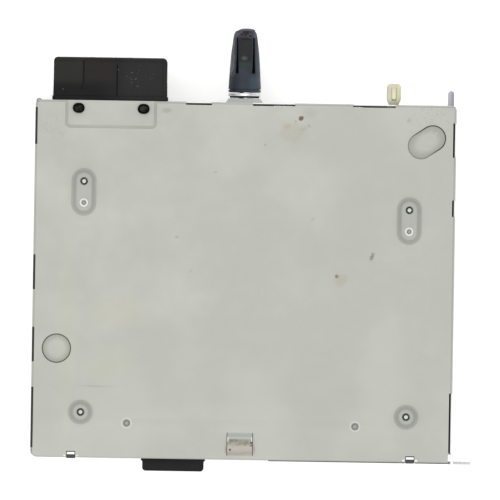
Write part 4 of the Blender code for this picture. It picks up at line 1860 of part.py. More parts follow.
def make_spindle_motor():
    """Stator ring under the turntable, with slots between its coils."""
    low = TRAVERSE_HIGH + GAP
    bore = SPINDLE_RADIUS + PIN_PLAY
    profile = [
        (STATOR_RADIUS, STATOR_HIGH),
        (STATOR_RADIUS, low),
        (bore, low),
        (bore, STATOR_HIGH),
    ]
    motor = turned(
        "spindle_motor", profile, (SPINDLE_X, SPINDLE_Y, 0), "Z", MOTOR_CAN, ROUND_STEPS, closed=True
    )
    for i in range(STATOR_TEETH):
        angle = TURN * (i + 1 / 2) / STATOR_TEETH
        reach = STATOR_RADIUS * 2 / 3
        x, y = SPINDLE_X + reach * math.cos(angle), SPINDLE_Y + reach * math.sin(angle)
        outer_x = SPINDLE_X + (STATOR_RADIUS + OVERRUN) * math.cos(angle)
        outer_y = SPINDLE_Y + (STATOR_RADIUS + OVERRUN) * math.sin(angle)
        outline = obround(x, y, outer_x, outer_y, STATOR_TEETH_DEPTH, 8)
        top = STATOR_HIGH
        cut(motor, prism(f"coil_gap_{i}", outline, 2 * STATOR_TEETH_DEPTH, (0, 0, top), "XY"))
    return motor


def make_turntable():
    origin = Vector((SPINDLE_X, SPINDLE_Y, 0))
    profile = [
        (0, CONE_HIGH),
        (CONE_TOP_RADIUS, CONE_HIGH),
        (CONE_RADIUS, DISC_SEAT_Z + CONE_STRAIGHT),
        (CONE_RADIUS, DISC_SEAT_Z),
        (SEAT_RADIUS, DISC_SEAT_Z),
        (SEAT_RADIUS, DISC_SEAT_Z - SEAT_THICK),
        (ROTOR_RADIUS, DISC_SEAT_Z - SEAT_THICK - SHEET / 2),
        (ROTOR_RADIUS, ROTOR_LOW),
        (SPINDLE_RADIUS, ROTOR_LOW),
        (SPINDLE_RADIUS, TRAVERSE_HIGH + GAP),
        (0, TRAVERSE_HIGH + GAP),
    ]
    table = turned("turntable", profile, origin, "Z", BLACK_NYLON, ROUND_STEPS)
    hinge_at("turntable_axis", origin, [table])


def make_pickup():
    """Sled with a sleeve on the main rod, a nut on the lead screw and a fork on the second rod."""
    main_y, sub_y, screw_y = rod_rows()
    left, right = LENS_REST_X - SLED_BEFORE, LENS_REST_X + SLED_BEYOND
    sled = block(
        "pickup_sled", (left, SLED_FRONT, SLED_LOW), (right, SLED_REAR, SLED_HIGH), SLED_GREY, SHEET
    )
    low, high = ROD_Z - SLEEVE_HALF, ROD_Z + SLEEVE_HALF
    join(sled, block("rod_sleeve", (left, main_y - SLEEVE_HALF, low), (right, SLED_FRONT + SHEET, high)))
    nut_left = LENS_REST_X - NUT_LENGTH / 2
    nut_right = LENS_REST_X + NUT_LENGTH / 2
    join(
        sled,
        block("nut", (nut_left, NUT_END_Y, NUT_LOW), (nut_right, main_y - SLEEVE_HALF + SHEET, NUT_HIGH)),
    )
    fork_low, fork_high = ROD_Z - FORK_HALF, ROD_Z + FORK_HALF
    join(sled, block("fork", (nut_left, SLED_REAR - SHEET, fork_low), (nut_right, FORK_END_Y, fork_high)))
    half = LENS_SOCKET_HALF
    socket_low = (LENS_REST_X - half, SPINDLE_Y - half, SLED_HIGH - SHEET)
    socket_high = (LENS_REST_X + half, SPINDLE_Y + half, LENS_SOCKET_HIGH)
    join(sled, block("lens_socket", socket_low, socket_high))
    start, end = left - OVERRUN, right + OVERRUN
    cut(
        sled, rod("sleeve_bore", (start, main_y, ROD_Z), (end, main_y, ROD_Z), MAIN_ROD_RADIUS + ROD_PLAY)
    )
    nut_bore = LEAD_SCREW_RADIUS + PIN_PLAY
    cut(
        sled,
        rod(
            "nut_bore", (start, screw_y, ROD_Z), (end, screw_y, ROD_Z), nut_bore, steps=SMALL_ROUND_STEPS
        ),
    )
    slot_half = SUB_ROD_RADIUS + ROD_PLAY
    fork_slot = (
        (start, sub_y - slot_half, ROD_Z - slot_half),
        (end, FORK_END_Y + OVERRUN, ROD_Z + slot_half),
    )
    cut(sled, block("fork_slot", *fork_slot))
    lens_hole = LENS_RADIUS + PIN_PLAY
    lens_at = (LENS_REST_X, SPINDLE_Y)
    cut(
        sled,
        rod("lens_hole", (*lens_at, LENS_LOW - GAP), (*lens_at, LENS_SOCKET_HIGH + OVERRUN), lens_hole),
    )
    crown = LENS_HIGH - LENS_SOCKET_HIGH
    dome = [
        (LENS_RADIUS * share, LENS_SOCKET_HIGH + crown * math.sqrt(1 - share * share))
        for share in LENS_CROWN_SHARES
    ]
    profile = [*dome, (LENS_RADIUS, LENS_LOW), (0, LENS_LOW)]
    lens = turned("objective_lens", profile, (*lens_at, 0), "Z", LENS_GLASS, HOLE_STEPS)
    hinge_at("sled_path", (LENS_REST_X, SPINDLE_Y, ROD_Z), [sled, lens])


def make_rods():
    main_y, sub_y, screw_y = rod_rows()
    rod(
        "guide_rod_main",
        (ROD_START, main_y, ROD_Z),
        (ROD_END, main_y, ROD_Z),
        MAIN_ROD_RADIUS,
        BRIGHT_STEEL,
    )
    rod(
        "guide_rod_second",
        (ROD_START, sub_y, ROD_Z),
        (ROD_END, sub_y, ROD_Z),
        SUB_ROD_RADIUS,
        BRIGHT_STEEL,
    )
    start = SLED_MOTOR_RIGHT - SCREW_SOCKET + GAP
    lead = rod(
        "lead_screw",
        (start, screw_y, ROD_Z),
        (ROD_END, screw_y, ROD_Z),
        LEAD_SCREW_RADIUS,
        BRIGHT_STEEL,
        SMALL_ROUND_STEPS,
    )
    hinge_at("lead_screw_axis", (start, screw_y, ROD_Z), [lead])
    flat_can(
        "sled_motor",
        SLED_MOTOR_LEFT,
        SLED_MOTOR_RIGHT,
        screw_y,
        ROD_Z,
        SLED_MOTOR_RADIUS,
        SLED_MOTOR_FLAT,
        1,
    )


def flat_can(name, left, right, y, z, radius, flat, shaft_side):
    """A small motor: a round can along X with a flat above and below and a socket for its shaft."""
    can = rod(name, (left, y, z), (right, y, z), radius, MOTOR_CAN)
    for side in (-1, 1):
        near, far = z + side * flat, z + side * (radius + OVERRUN)
        low = (left - OVERRUN, y - radius - OVERRUN, min(near, far))
        high = (right + OVERRUN, y + radius + OVERRUN, max(near, far))
        cut(can, block(f"{name}_flat_{side}", low, high))
    bore = LEAD_SCREW_RADIUS + PIN_PLAY
    mouth = right if shaft_side > 0 else left
    inner = mouth - shaft_side * SCREW_SOCKET
    cut(
        can,
        rod(
            name + "_socket",
            (inner, y, z),
            (mouth + shaft_side * OVERRUN, y, z),
            bore,
            steps=SMALL_ROUND_STEPS,
        ),
    )
    closed_end = left if shaft_side > 0 else right
    boss_end = closed_end - shaft_side * MOTOR_BOSS_LENGTH
    root = closed_end + shaft_side * MOTOR_BOSS_LENGTH
    join(
        can,
        rod(name + "_boss", (root, y, z), (boss_end, y, z), MOTOR_BOSS_RADIUS, steps=SMALL_ROUND_STEPS),
    )
    return can


# Clamp arm and puck


def make_clamp():
    half, eye = ARM_BAR_HALF_WIDTH, ARM_EYE_RADIUS
    web = ARM_WEB_HALF_WIDTH
    outline = [
        (half, ARM_BAR_REAR),
        (-half, ARM_BAR_REAR),
        (-half, ARM_BAR_FRONT),
        (-web, ARM_WEB_ROOT),
    ]
    outline += arc((SPINDLE_X, SPINDLE_Y), eye, TURN / 2, TURN, HOLE_STEPS)
    outline += [
        (web, ARM_WEB_ROOT),
        (ARM_PRONG_LEFT, ARM_PRONG_ROOT),
        (ARM_PRONG_LEFT, ARM_PRONG_FRONT),
        (half, ARM_PRONG_FRONT),
    ]
    hole = PUCK_HUB_RADIUS + PUCK_HOLE_PLAY
    window_half = ARM_WINDOW_HALF
    holes = [
        circle(hole, HOLE_STEPS, (SPINDLE_X, SPINDLE_Y)),
        [
            (-window_half * 2 / 3, ARM_WINDOW_FRONT),
            (window_half * 2 / 3, ARM_WINDOW_FRONT),
            (window_half, ARM_WINDOW_REAR),
            (-window_half, ARM_WINDOW_REAR),
        ],
    ]
    arm = prism("clamp_arm", outline, ARM_THICK, (0, 0, ARM_Z), "XY", DECK_STEEL, holes)
    near, far = half - 2 * ARM_PIN_RADIUS, DECK_HALF_WIDTH + GAP
    for name, side in (("left", -1), ("right", 1)):
        join(arm, across(name + "_arm_pin", side, ARM_PIVOT_Y, ARM_Z, ARM_PIN_RADIUS, near=near, far=far))
    follower_end = slide_face() + SLIDE_THICK + GAP
    join(
        arm,
        across("arm_follower", 1, ARM_FOLLOWER_Y, ARM_Z, FOLLOWER_RADIUS, near=near, far=follower_end),
    )
    hinge_at("clamp_arm_axis", (0, ARM_PIVOT_Y, ARM_Z), [arm])
    body_high = PUCK_LOW + PUCK_THICK
    cap_low = ARM_Z + ARM_THICK / 2 + GAP
    cap_high = cap_low + PUCK_CAP_THICK
    profile = [
        (0, cap_high),
        (PUCK_CAP_RADIUS, cap_high),
        (PUCK_CAP_RADIUS, cap_low),
        (PUCK_HUB_RADIUS, cap_low),
        (PUCK_HUB_RADIUS, body_high),
        (PUCK_RADIUS, body_high),
        (PUCK_RADIUS, PUCK_LOW),
        (PUCK_RECESS_RADIUS, PUCK_LOW),
        (PUCK_RECESS_RADIUS, PUCK_LOW + PUCK_RECESS_DEPTH),
        (0, PUCK_LOW + PUCK_RECESS_DEPTH),
    ]
    puck = turned("clamp_puck", profile, (SPINDLE_X, SPINDLE_Y, 0), "Z", ACETAL_WHITE, ROUND_STEPS)
    hinge_at("clamp_puck_axis", (SPINDLE_X, SPINDLE_Y, PUCK_LOW), [puck])


# Disc guide, roller and its drive


def make_disc_guide():
    """Moulded bar over the roller, sloped at its front edge, with ribs on top."""
    lead, skin = GUIDE_LEAD_IN, GUIDE_SKIN
    outline = [
        (GUIDE_FRONT, GUIDE_LOW + lead),
        (GUIDE_FRONT + lead, GUIDE_LOW),
        (GUIDE_REAR - lead, GUIDE_LOW),
        (GUIDE_REAR, GUIDE_LOW + lead),
        (GUIDE_REAR, GUIDE_LOW + lead + skin),
        (GUIDE_REAR - lead, GUIDE_LOW + skin),
        (GUIDE_FRONT + lead, GUIDE_LOW + skin),
        (GUIDE_FRONT, GUIDE_LOW + lead + skin),
    ]
    half = DECK_WALL_IN - GAP
    guide = prism("disc_guide", outline, 2 * half, (0, 0, 0), "YZ", BLACK_NYLON)
    for i in range(GUIDE_RIBS):
        x = -half + GUIDE_RIB_WIDTH / 2 + (2 * half - GUIDE_RIB_WIDTH) * i / (GUIDE_RIBS - 1)
        inset = GUIDE_RIB_WIDTH / 2 - MERGE
        low = (x - inset, GUIDE_FRONT + lead, GUIDE_LOW + skin / 2)
        high = (x + inset, GUIDE_REAR - lead, GUIDE_HIGH)
        join(guide, block(f"guide_rib_{i}", low, high))
    return guide


def make_roller_arm():
    """Bail under the roller with two ears, pivot pins and the pin that follows the mode slide."""
    quarter = TURN / 4
    bend, x = BAIL_BEND, EAR_X
    path = [(-x, ROLLER_Z)]
    path += arc((-x + bend, BAIL_Z + bend), bend, 2 * quarter, 3 * quarter, BEND_STEPS)
    path += arc((x - bend, BAIL_Z + bend), bend, 3 * quarter, 4 * quarter, BEND_STEPS)
    path.append((x, ROLLER_Z))
    thin = EAR_THICK * (1 - 1 / 32)
    arm = bent_strip("roller_arm", path, -BAIL_REAR, -BAIL_FRONT, thin, "XZ", DECK_STEEL)
    for name, side in (("left", -1), ("right", 1)):
        outline = obround(ROLLER_Y, ROLLER_Z, ROLLER_PIVOT_Y, ROLLER_Z, EAR_RADIUS, SMALL_ROUND_STEPS)
        join(arm, prism(name + "_ear", outline, EAR_THICK, (side * EAR_X, 0, 0), "YZ"))
        far = DECK_HALF_WIDTH + GAP
        join(
            arm,
            across(
                name + "_bail_pin", side, ROLLER_PIVOT_Y, ROLLER_Z, ARM_PIN_RADIUS, near=EAR_X, far=far
            ),
        )
        bearing = ROLLER_SHAFT_RADIUS + PIN_PLAY
        near, beyond = EAR_X - OVERRUN, EAR_X + OVERRUN
        cut(
            arm,
            across(name + "_roller_bearing", side, ROLLER_Y, ROLLER_Z, bearing, near=near, far=beyond),
        )
    end = slide_face() + SLIDE_THICK + GAP
    join(
        arm,
        across("roller_follower", 1, ROLLER_FOLLOWER_Y, ROLLER_Z, FOLLOWER_RADIUS, near=EAR_X, far=end),
    )
    hinge_at("roller_arm_axis", (0, ROLLER_PIVOT_Y, ROLLER_Z), [arm])


def gear_outline(teeth, turn=0):
    """Spur gear with involute flanks, each tooth thinned by half the backlash."""
    pitch = GEAR_MODULE * teeth / 2
    base = pitch * math.cos(PRESSURE_ANGLE)
    tip = pitch + GEAR_MODULE * GEAR_ADDENDUM_SHARE
    root = pitch - GEAR_MODULE * GEAR_DEDENDUM_SHARE

    def involute(radius):
        if radius <= base:
            return 0
        return math.sqrt((radius / base) ** 2 - 1) - math.acos(base / radius)

    half_tooth = TURN / teeth / 4 - GEAR_BACKLASH / 2 / (2 * pitch)
    points = []
    for i in range(teeth):
        middle = turn + TURN * i / teeth
        rising = []
        for radius in (root, pitch, tip):
            away = half_tooth + involute(pitch) - involute(radius)
            rising.append((radius, away))
        points += [(r * math.cos(middle - a), r * math.sin(middle - a)) for r, a in rising]
        points += [(r * math.cos(middle + a), r * math.sin(middle + a)) for r, a in reversed(rising)]
    return points


def drive_axis_z():
    return ROLLER_Z + GEAR_MODULE * (ROLLER_TEETH + DRIVE_TEETH) / 2 + GEAR_SPREAD


def make_roller():
    end = EAR_X + EAR_THICK / 2 + GAP
    shaft_left = GEAR_LEFT_X - PIN_PLAY
    start = (shaft_left, ROLLER_Y, ROLLER_Z)
    shaft = rod(
        "roller_shaft",
        start,
        (end + GAP, ROLLER_Y, ROLLER_Z),
        ROLLER_SHAFT_RADIUS,
        BRIGHT_STEEL,
        SMALL_ROUND_STEPS,
    )
    half, neck = ROLLER_HALF_LENGTH, ROLLER_NECK
    bore = ROLLER_SHAFT_RADIUS + ROLLER_BORE_PLAY
    profile = [
        (ROLLER_RADIUS, half),
        (ROLLER_WAIST, neck),
        (ROLLER_WAIST - neck / 2, neck),
        (ROLLER_WAIST - neck / 2, -neck),
        (ROLLER_WAIST, -neck),
        (ROLLER_RADIUS, -half),
        (bore, -half),
        (bore, half),
    ]
    axis = (0, ROLLER_Y, ROLLER_Z)
    rubber = turned("roller_rubber", profile, axis, "X", BUSH_RUBBER, HOLE_STEPS, closed=True)
    gear = prism(
        "roller_gear",
        gear_outline(ROLLER_TEETH, TURN / 4),
        GEAR_WIDTH,
        (GEAR_LEFT_X + GEAR_WIDTH / 2, ROLLER_Y, ROLLER_Z),
        "YZ",
        ACETAL_WHITE,
        [circle(bore, SMALL_ROUND_STEPS)],
    )
    hinge_at("roller_axis", axis, [shaft, rubber, gear])


def make_drive():
    z = drive_axis_z()
    bore = DRIVE_STUD_RADIUS + PIN_PLAY
    hub = bore + SHEET
    gear_middle = GEAR_LEFT_X + GEAR_WIDTH / 2
    phase = TURN * 3 / 4 + TURN / DRIVE_TEETH / 2
    gear = prism(
        "drive_gear",
        gear_outline(DRIVE_TEETH, phase),
        GEAR_WIDTH,
        (gear_middle, ROLLER_Y, z),
        "YZ",
        ACETAL_WHITE,
        [circle(bore + SHEET / 2, SMALL_ROUND_STEPS)],
    )
    half, flange = PULLEY_WIDTH / 2, PULLEY_FLANGE
    radius, rim = DRIVE_PULLEY_RADIUS, DRIVE_PULLEY_RADIUS + PULLEY_FLANGE_RISE
    hub_end = GEAR_LEFT_X + GEAR_WIDTH + GAP
    profile = [
        (hub, hub_end),
        (hub, BELT_X + half),
        (rim, BELT_X + half),
        (rim, BELT_X + half - flange),
        (radius, BELT_X + half - flange),
        (radius, BELT_X - half + flange),
        (rim, BELT_X - half + flange),
        (rim, BELT_X - half),
        (bore, BELT_X - half),
        (bore, hub_end),
    ]
    join(gear, turned("drive_pulley", profile, (0, ROLLER_Y, z), "X", steps=HOLE_STEPS, closed=True))
    hinge_at("drive_gear_axis", (gear_middle, ROLLER_Y, z), [gear])
    right = -DECK_WALL_IN + GAP + SCREW_SOCKET - GAP
    rim = MOTOR_PULLEY_RADIUS + PULLEY_FLANGE_RISE
    radius = MOTOR_PULLEY_RADIUS
    profile = [
        (0, right),
        (MOTOR_SHAFT_RADIUS, right),
        (MOTOR_SHAFT_RADIUS, BELT_X + half),
        (rim, BELT_X + half),
        (rim, BELT_X + half - flange),
        (radius, BELT_X + half - flange),
        (radius, BELT_X - half + flange),
        (rim, BELT_X - half + flange),
        (rim, BELT_X - half),
        (0, BELT_X - half),
    ]
    axis = (0, LOADING_MOTOR_Y, LOADING_MOTOR_Z)
    small = turned("motor_pulley", profile, axis, "X", BRASS, HOLE_STEPS)
    hinge_at("motor_pulley_axis", (BELT_X, LOADING_MOTOR_Y, LOADING_MOTOR_Z), [small])
    left = -DECK_WALL_IN + GAP
    right_end = left + LOADING_MOTOR_LENGTH
    flat_can(
        "loading_motor",
        left,
        right_end,
        LOADING_MOTOR_Y,
        LOADING_MOTOR_Z,
        LOADING_MOTOR_RADIUS,
        LOADING_MOTOR_FLAT,
        -1,
    )
    outer = belt_outline(z, BELT_PLAY + BELT_SIDE)
    inner = belt_outline(z, BELT_PLAY)
    prism("loading_belt", outer, BELT_SIDE, (BELT_X, 0, 0), "YZ", BUSH_RUBBER, [inner])


def belt_outline(drive_z, grow):
    """Two pulley arcs and the straight runs between them."""
    big, small = DRIVE_PULLEY_RADIUS + grow, MOTOR_PULLEY_RADIUS + grow
    dy, dz = LOADING_MOTOR_Y - ROLLER_Y, LOADING_MOTOR_Z - drive_z
    along = math.atan2(dz, dy)
    lean = math.acos((big - small) / math.hypot(dy, dz))
    points = arc((ROLLER_Y, drive_z), big, along + lean, along + TURN - lean, HOLE_STEPS)
    points += arc((LOADING_MOTOR_Y, LOADING_MOTOR_Z), small, along - lean, along + lean, HOLE_STEPS // 2)
    return points


# Mode slide


def make_mode_slide():
    """Plate that lowers the roller arm and the clamp arm together through two sloped slots."""
    outline = [
        (SLIDE_FRONT, SLIDE_LOW),
        (SLIDE_REAR, SLIDE_LOW),
        (SLIDE_REAR, SLIDE_RISER_HIGH),
        (SLIDE_RISER_FRONT, SLIDE_RISER_HIGH),
        (SLIDE_RISER_FRONT, SLIDE_HIGH),
        (SLIDE_FRONT, SLIDE_HIGH),
    ]
    holes = []
    for _, y, z, drop in follower_places():
        holes.append(obround(y - SLIDE_TRAVEL, z - drop, y, z, FOLLOWER_RADIUS + FOLLOWER_PLAY))
    guide = SLIDE_STUD_RADIUS + PIN_PLAY
    for y in (SLIDE_STUD_FRONT_Y, SLIDE_STUD_REAR_Y):
        holes.append(obround(y - SLIDE_TRAVEL, SLIDE_STUD_Z, y, SLIDE_STUD_Z, guide))
    middle = (SLIDE_STUD_FRONT_Y + SLIDE_STUD_REAR_Y - SLIDE_TRAVEL) / 2
    holes.append(circle(SLIDE_LIGHTENING / 2, SMALL_ROUND_STEPS, (middle, SLIDE_STUD_Z)))
    at = (slide_face() + SLIDE_THICK / 2, 0, 0)
    slide = prism("mode_slide", outline, SLIDE_THICK, at, "YZ", DECK_STEEL, holes)
    hinge_at("mode_slide_path", (slide_face(), SLIDE_STUD_FRONT_Y, SLIDE_STUD_Z), [slide])


def build():
    make_main_chassis()
    make_lower_cover()
    make_front_panel()
    make_slot_felts()
    make_mounting_strip()
    make_main_connector()
    make_pin_headers()
    make_connector_pegs()
    make_aerial_socket()
    boot_start = make_rear_stud()
    make_rubber_boot(boot_start)
    make_front_connector()
    make_main_board()
    make_screws()
    make_heat_sink()
    make_amplifier_chip()
    make_tuner_can()
    make_filter_capacitor()
    make_deck_frame()
    make_damper_bushes()
    make_traverse_plate()
    make_spindle_motor()
    make_turntable()
    make_pickup()
    make_rods()
    make_clamp()
    make_disc_guide()
    make_roller_arm()
    make_roller()
    make_drive()
    make_mode_slide()


build()
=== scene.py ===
"""Looks of a one-slot car radio that lies with its folded steel case upwards, on a plain pale floor."""

import math

import bmesh
import bpy
from mathutils import Matrix, Vector
from mathutils.geometry import tessellate_polygon


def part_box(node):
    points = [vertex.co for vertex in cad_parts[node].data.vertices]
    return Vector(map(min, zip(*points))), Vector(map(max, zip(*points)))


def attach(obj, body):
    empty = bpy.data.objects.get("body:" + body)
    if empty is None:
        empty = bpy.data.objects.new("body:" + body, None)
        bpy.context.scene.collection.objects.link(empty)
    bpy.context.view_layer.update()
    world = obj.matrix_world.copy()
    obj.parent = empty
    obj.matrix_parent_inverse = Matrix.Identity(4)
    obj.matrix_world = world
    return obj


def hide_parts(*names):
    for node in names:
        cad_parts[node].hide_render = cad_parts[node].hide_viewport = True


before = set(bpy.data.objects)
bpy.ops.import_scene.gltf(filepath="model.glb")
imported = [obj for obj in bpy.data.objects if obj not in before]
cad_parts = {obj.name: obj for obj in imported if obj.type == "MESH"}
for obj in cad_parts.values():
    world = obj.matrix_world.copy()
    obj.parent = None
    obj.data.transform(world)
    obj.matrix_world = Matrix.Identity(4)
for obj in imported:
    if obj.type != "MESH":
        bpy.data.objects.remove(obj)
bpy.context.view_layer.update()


# Case: one blank of pale zinc-plated steel sheet, 0.8 mm thick, pressed, pierced and folded on three sides.
# The board hangs from the sunken seats by screws driven from inside, whose bright tips show in the holes.

MM = 0.001
TURN = 2 * math.pi
SHEET = 0.8 * MM
CASE_LEFT, CASE_RIGHT, CASE_FRONT, CASE_REAR = -90 * MM, 90.4 * MM, -76.5 * MM, 76.5 * MM
CASE_TOP, CASE_FOOT = 50 * MM, 0.5 * MM
FOLD = 1.2 * MM
WELD = 0.001 * MM

PLANES = {
    "XY": Matrix(((1, 0, 0), (0, 1, 0), (0, 0, 1))).to_4x4(),
    "XZ": Matrix(((1, 0, 0), (0, 0, -1), (0, 1, 0))).to_4x4(),
    "YZ": Matrix(((0, 0, 1), (1, 0, 0), (0, 1, 0))).to_4x4(),
}


def mm(*sizes):
    """Sizes given in millimetres."""
    return tuple(size * MM for size in sizes)


def arc(x, y, radius, start, end, steps):
    """Points along a part of a circle."""
    angles = [start + (end - start) * i / steps for i in range(steps + 1)]
    return [(x + radius * math.cos(a), y + radius * math.sin(a)) for a in angles]


def circle(x, y, radius, steps=48):
    return arc(x, y, radius, 0, TURN, steps)[:-1]


def obround(ax, ay, bx, by, radius, steps=24):
    """A slot with round ends about two centres."""
    along = math.atan2(by - ay, bx - ax)
    far = arc(bx, by, radius, along - TURN / 4, along + TURN / 4, steps)
    near = arc(ax, ay, radius, along + TURN / 4, along + TURN * 3 / 4, steps)
    return far + near


def rounded(left, low, right, high, radius, steps=6):
    """A rectangle with round corners."""
    corners = ((right - radius, high - radius), (left + radius, high - radius))
    corners += ((left + radius, low + radius), (right - radius, low + radius))
    points = []
    for i, (x, y) in enumerate(corners):
        points += arc(x, y, radius, i * TURN / 4, (i + 1) * TURN / 4, steps)
    return points


class Skin:
    """An open surface of flat fields, pressed rings and folds, later given the sheet's thickness."""

    def __init__(self):
        self.mesh = bmesh.new()

    def ring(self, outline, height, plane="XY"):
        return [self.mesh.verts.new(PLANES[plane] @ Vector((x, y, height))) for x, y in outline]

    def band(self, outer, inner, closed=True, paint=0):
        for i in range(len(outer) if closed else len(outer) - 1):
            j = (i + 1) % len(outer)
            self.mesh.faces.new((outer[i], outer[j], inner[j], inner[i])).material_index = paint

    def field(self, outline, holes, height, plane="XY", paint=0):
        """A flat face with holes; returns the corners of each of its outlines."""
        rings = [self.ring(points, height, plane) for points in (outline, *holes)]
        corners = [corner for ring in rings for corner in ring]
        loops = [[Vector((x, y, 0)) for x, y in points] for points in (outline, *holes)]
        for a, b, c in tessellate_polygon(loops):
            self.mesh.faces.new((corners[a], corners[b], corners[c])).material_index = paint
        return rings

    def pressing(self, form, profile, face, plane="XY", painted=(), paint=1):
        """Rings of an outline that shrinks and sinks along a profile; returns the height at its end."""
        rings = [self.ring(form(grow), face + drop, plane) for grow, drop in profile]
        for i, (outer, inner) in enumerate(zip(rings, rings[1:])):
            self.band(outer, inner, paint=paint if i in painted else 0)
        return face + profile[-1][1]

    def finish(self, name, upward):
        """The welded surface as an object, its normals turned so that the highest face looks upward."""
        bmesh.ops.remove_doubles(self.mesh, verts=self.mesh.verts, dist=WELD)
        bmesh.ops.recalc_face_normals(self.mesh, faces=self.mesh.faces)
        self.mesh.normal_update()
        highest = max(self.mesh.faces, key=lambda face: face.calc_center_median().dot(upward))
        if highest.normal.dot(upward) < 0:
            bmesh.ops.reverse_faces(self.mesh, faces=self.mesh.faces)
        data = bpy.data.meshes.new(name)
        self.mesh.to_mesh(data)
        self.mesh.free()
        piece = bpy.data.objects.new(name, data)
        bpy.context.scene.collection.objects.link(piece)
        return piece


def slope(depth, run, soft, steps=5):
    """Profile of a pressed wall: a rounded shoulder, a straight slope and a rounded root."""
    count = 4 * steps
    points = []
    for i in range(count + 1):
        share = i / count
        eased = share * share * (3 - 2 * share)
        blend = soft * eased + (1 - soft) * share
        points.append((-run * share, -depth * blend))
    return points


def baked(piece, angle=30):
    """The piece with its modifiers applied, its place in its mesh, and edges under an angle shaded smooth."""
    bpy.context.view_layer.update()
    graph = bpy.context.evaluated_depsgraph_get()
    data = bpy.data.meshes.new_from_object(piece.evaluated_get(graph))
    data.transform(piece.matrix_world)
    data.name = piece.name
    piece.modifiers.clear()
    piece.data = data
    piece.matrix_world = Matrix.Identity(4)
    data.shade_smooth()
    data.set_sharp_from_angle(angle=math.radians(angle))
    return piece


def solid_box(low, high, name="block", paint=0):
    """A plain block between two corners, to be carved or joined."""
    low, high = Vector(low), Vector(high)
    shape = bmesh.new()
    bmesh.ops.create_cube(shape, size=1)
    bmesh.ops.scale(shape, vec=high - low, verts=shape.verts)
    bmesh.ops.translate(shape, vec=(low + high) / 2, verts=shape.verts)
    for face in shape.faces:
        face.material_index = paint
    data = bpy.data.meshes.new(name)
    shape.to_mesh(data)
    shape.free()
    piece = bpy.data.objects.new(name, data)
    bpy.context.scene.collection.objects.link(piece)
    return piece


def merge(pieces):
    """Several meshes as one object, the first."""
    shape = bmesh.new()
    for piece in pieces:
        copy = piece.data.copy()
        copy.transform(piece.matrix_world)
        shape.from_mesh(copy)
        bpy.data.meshes.remove(copy)
    shape.to_mesh(pieces[0].data)
    shape.free()
    pieces[0].matrix_world = Matrix.Identity(4)
    for piece in pieces[1:]:
        bpy.data.objects.remove(piece)
    return pieces[0]


def carve(piece, tools, operation="DIFFERENCE"):
    """Cuts or joins other pieces exactly, then removes them. Cut faces keep the finish number of the tool."""
    for tool in tools:
        for owner in (piece, tool):
            while len(owner.data.materials) < 2:
                owner.data.materials.append(None)
        change = piece.modifiers.new("carve", "BOOLEAN")
        change.operation = operation
        change.object = tool
    baked(piece)
    for tool in tools:
        bpy.data.objects.remove(tool)
    return piece


def thicken(piece, thickness, offset=-1):
    sheet = piece.modifiers.new("sheet", "SOLIDIFY")
    sheet.thickness = thickness
    sheet.offset = offset
    sheet.use_even_offset = True
    while len(piece.data.materials) < 2:
        piece.data.materials.append(None)
    sheet.material_offset_rim = 1
    return baked(piece)


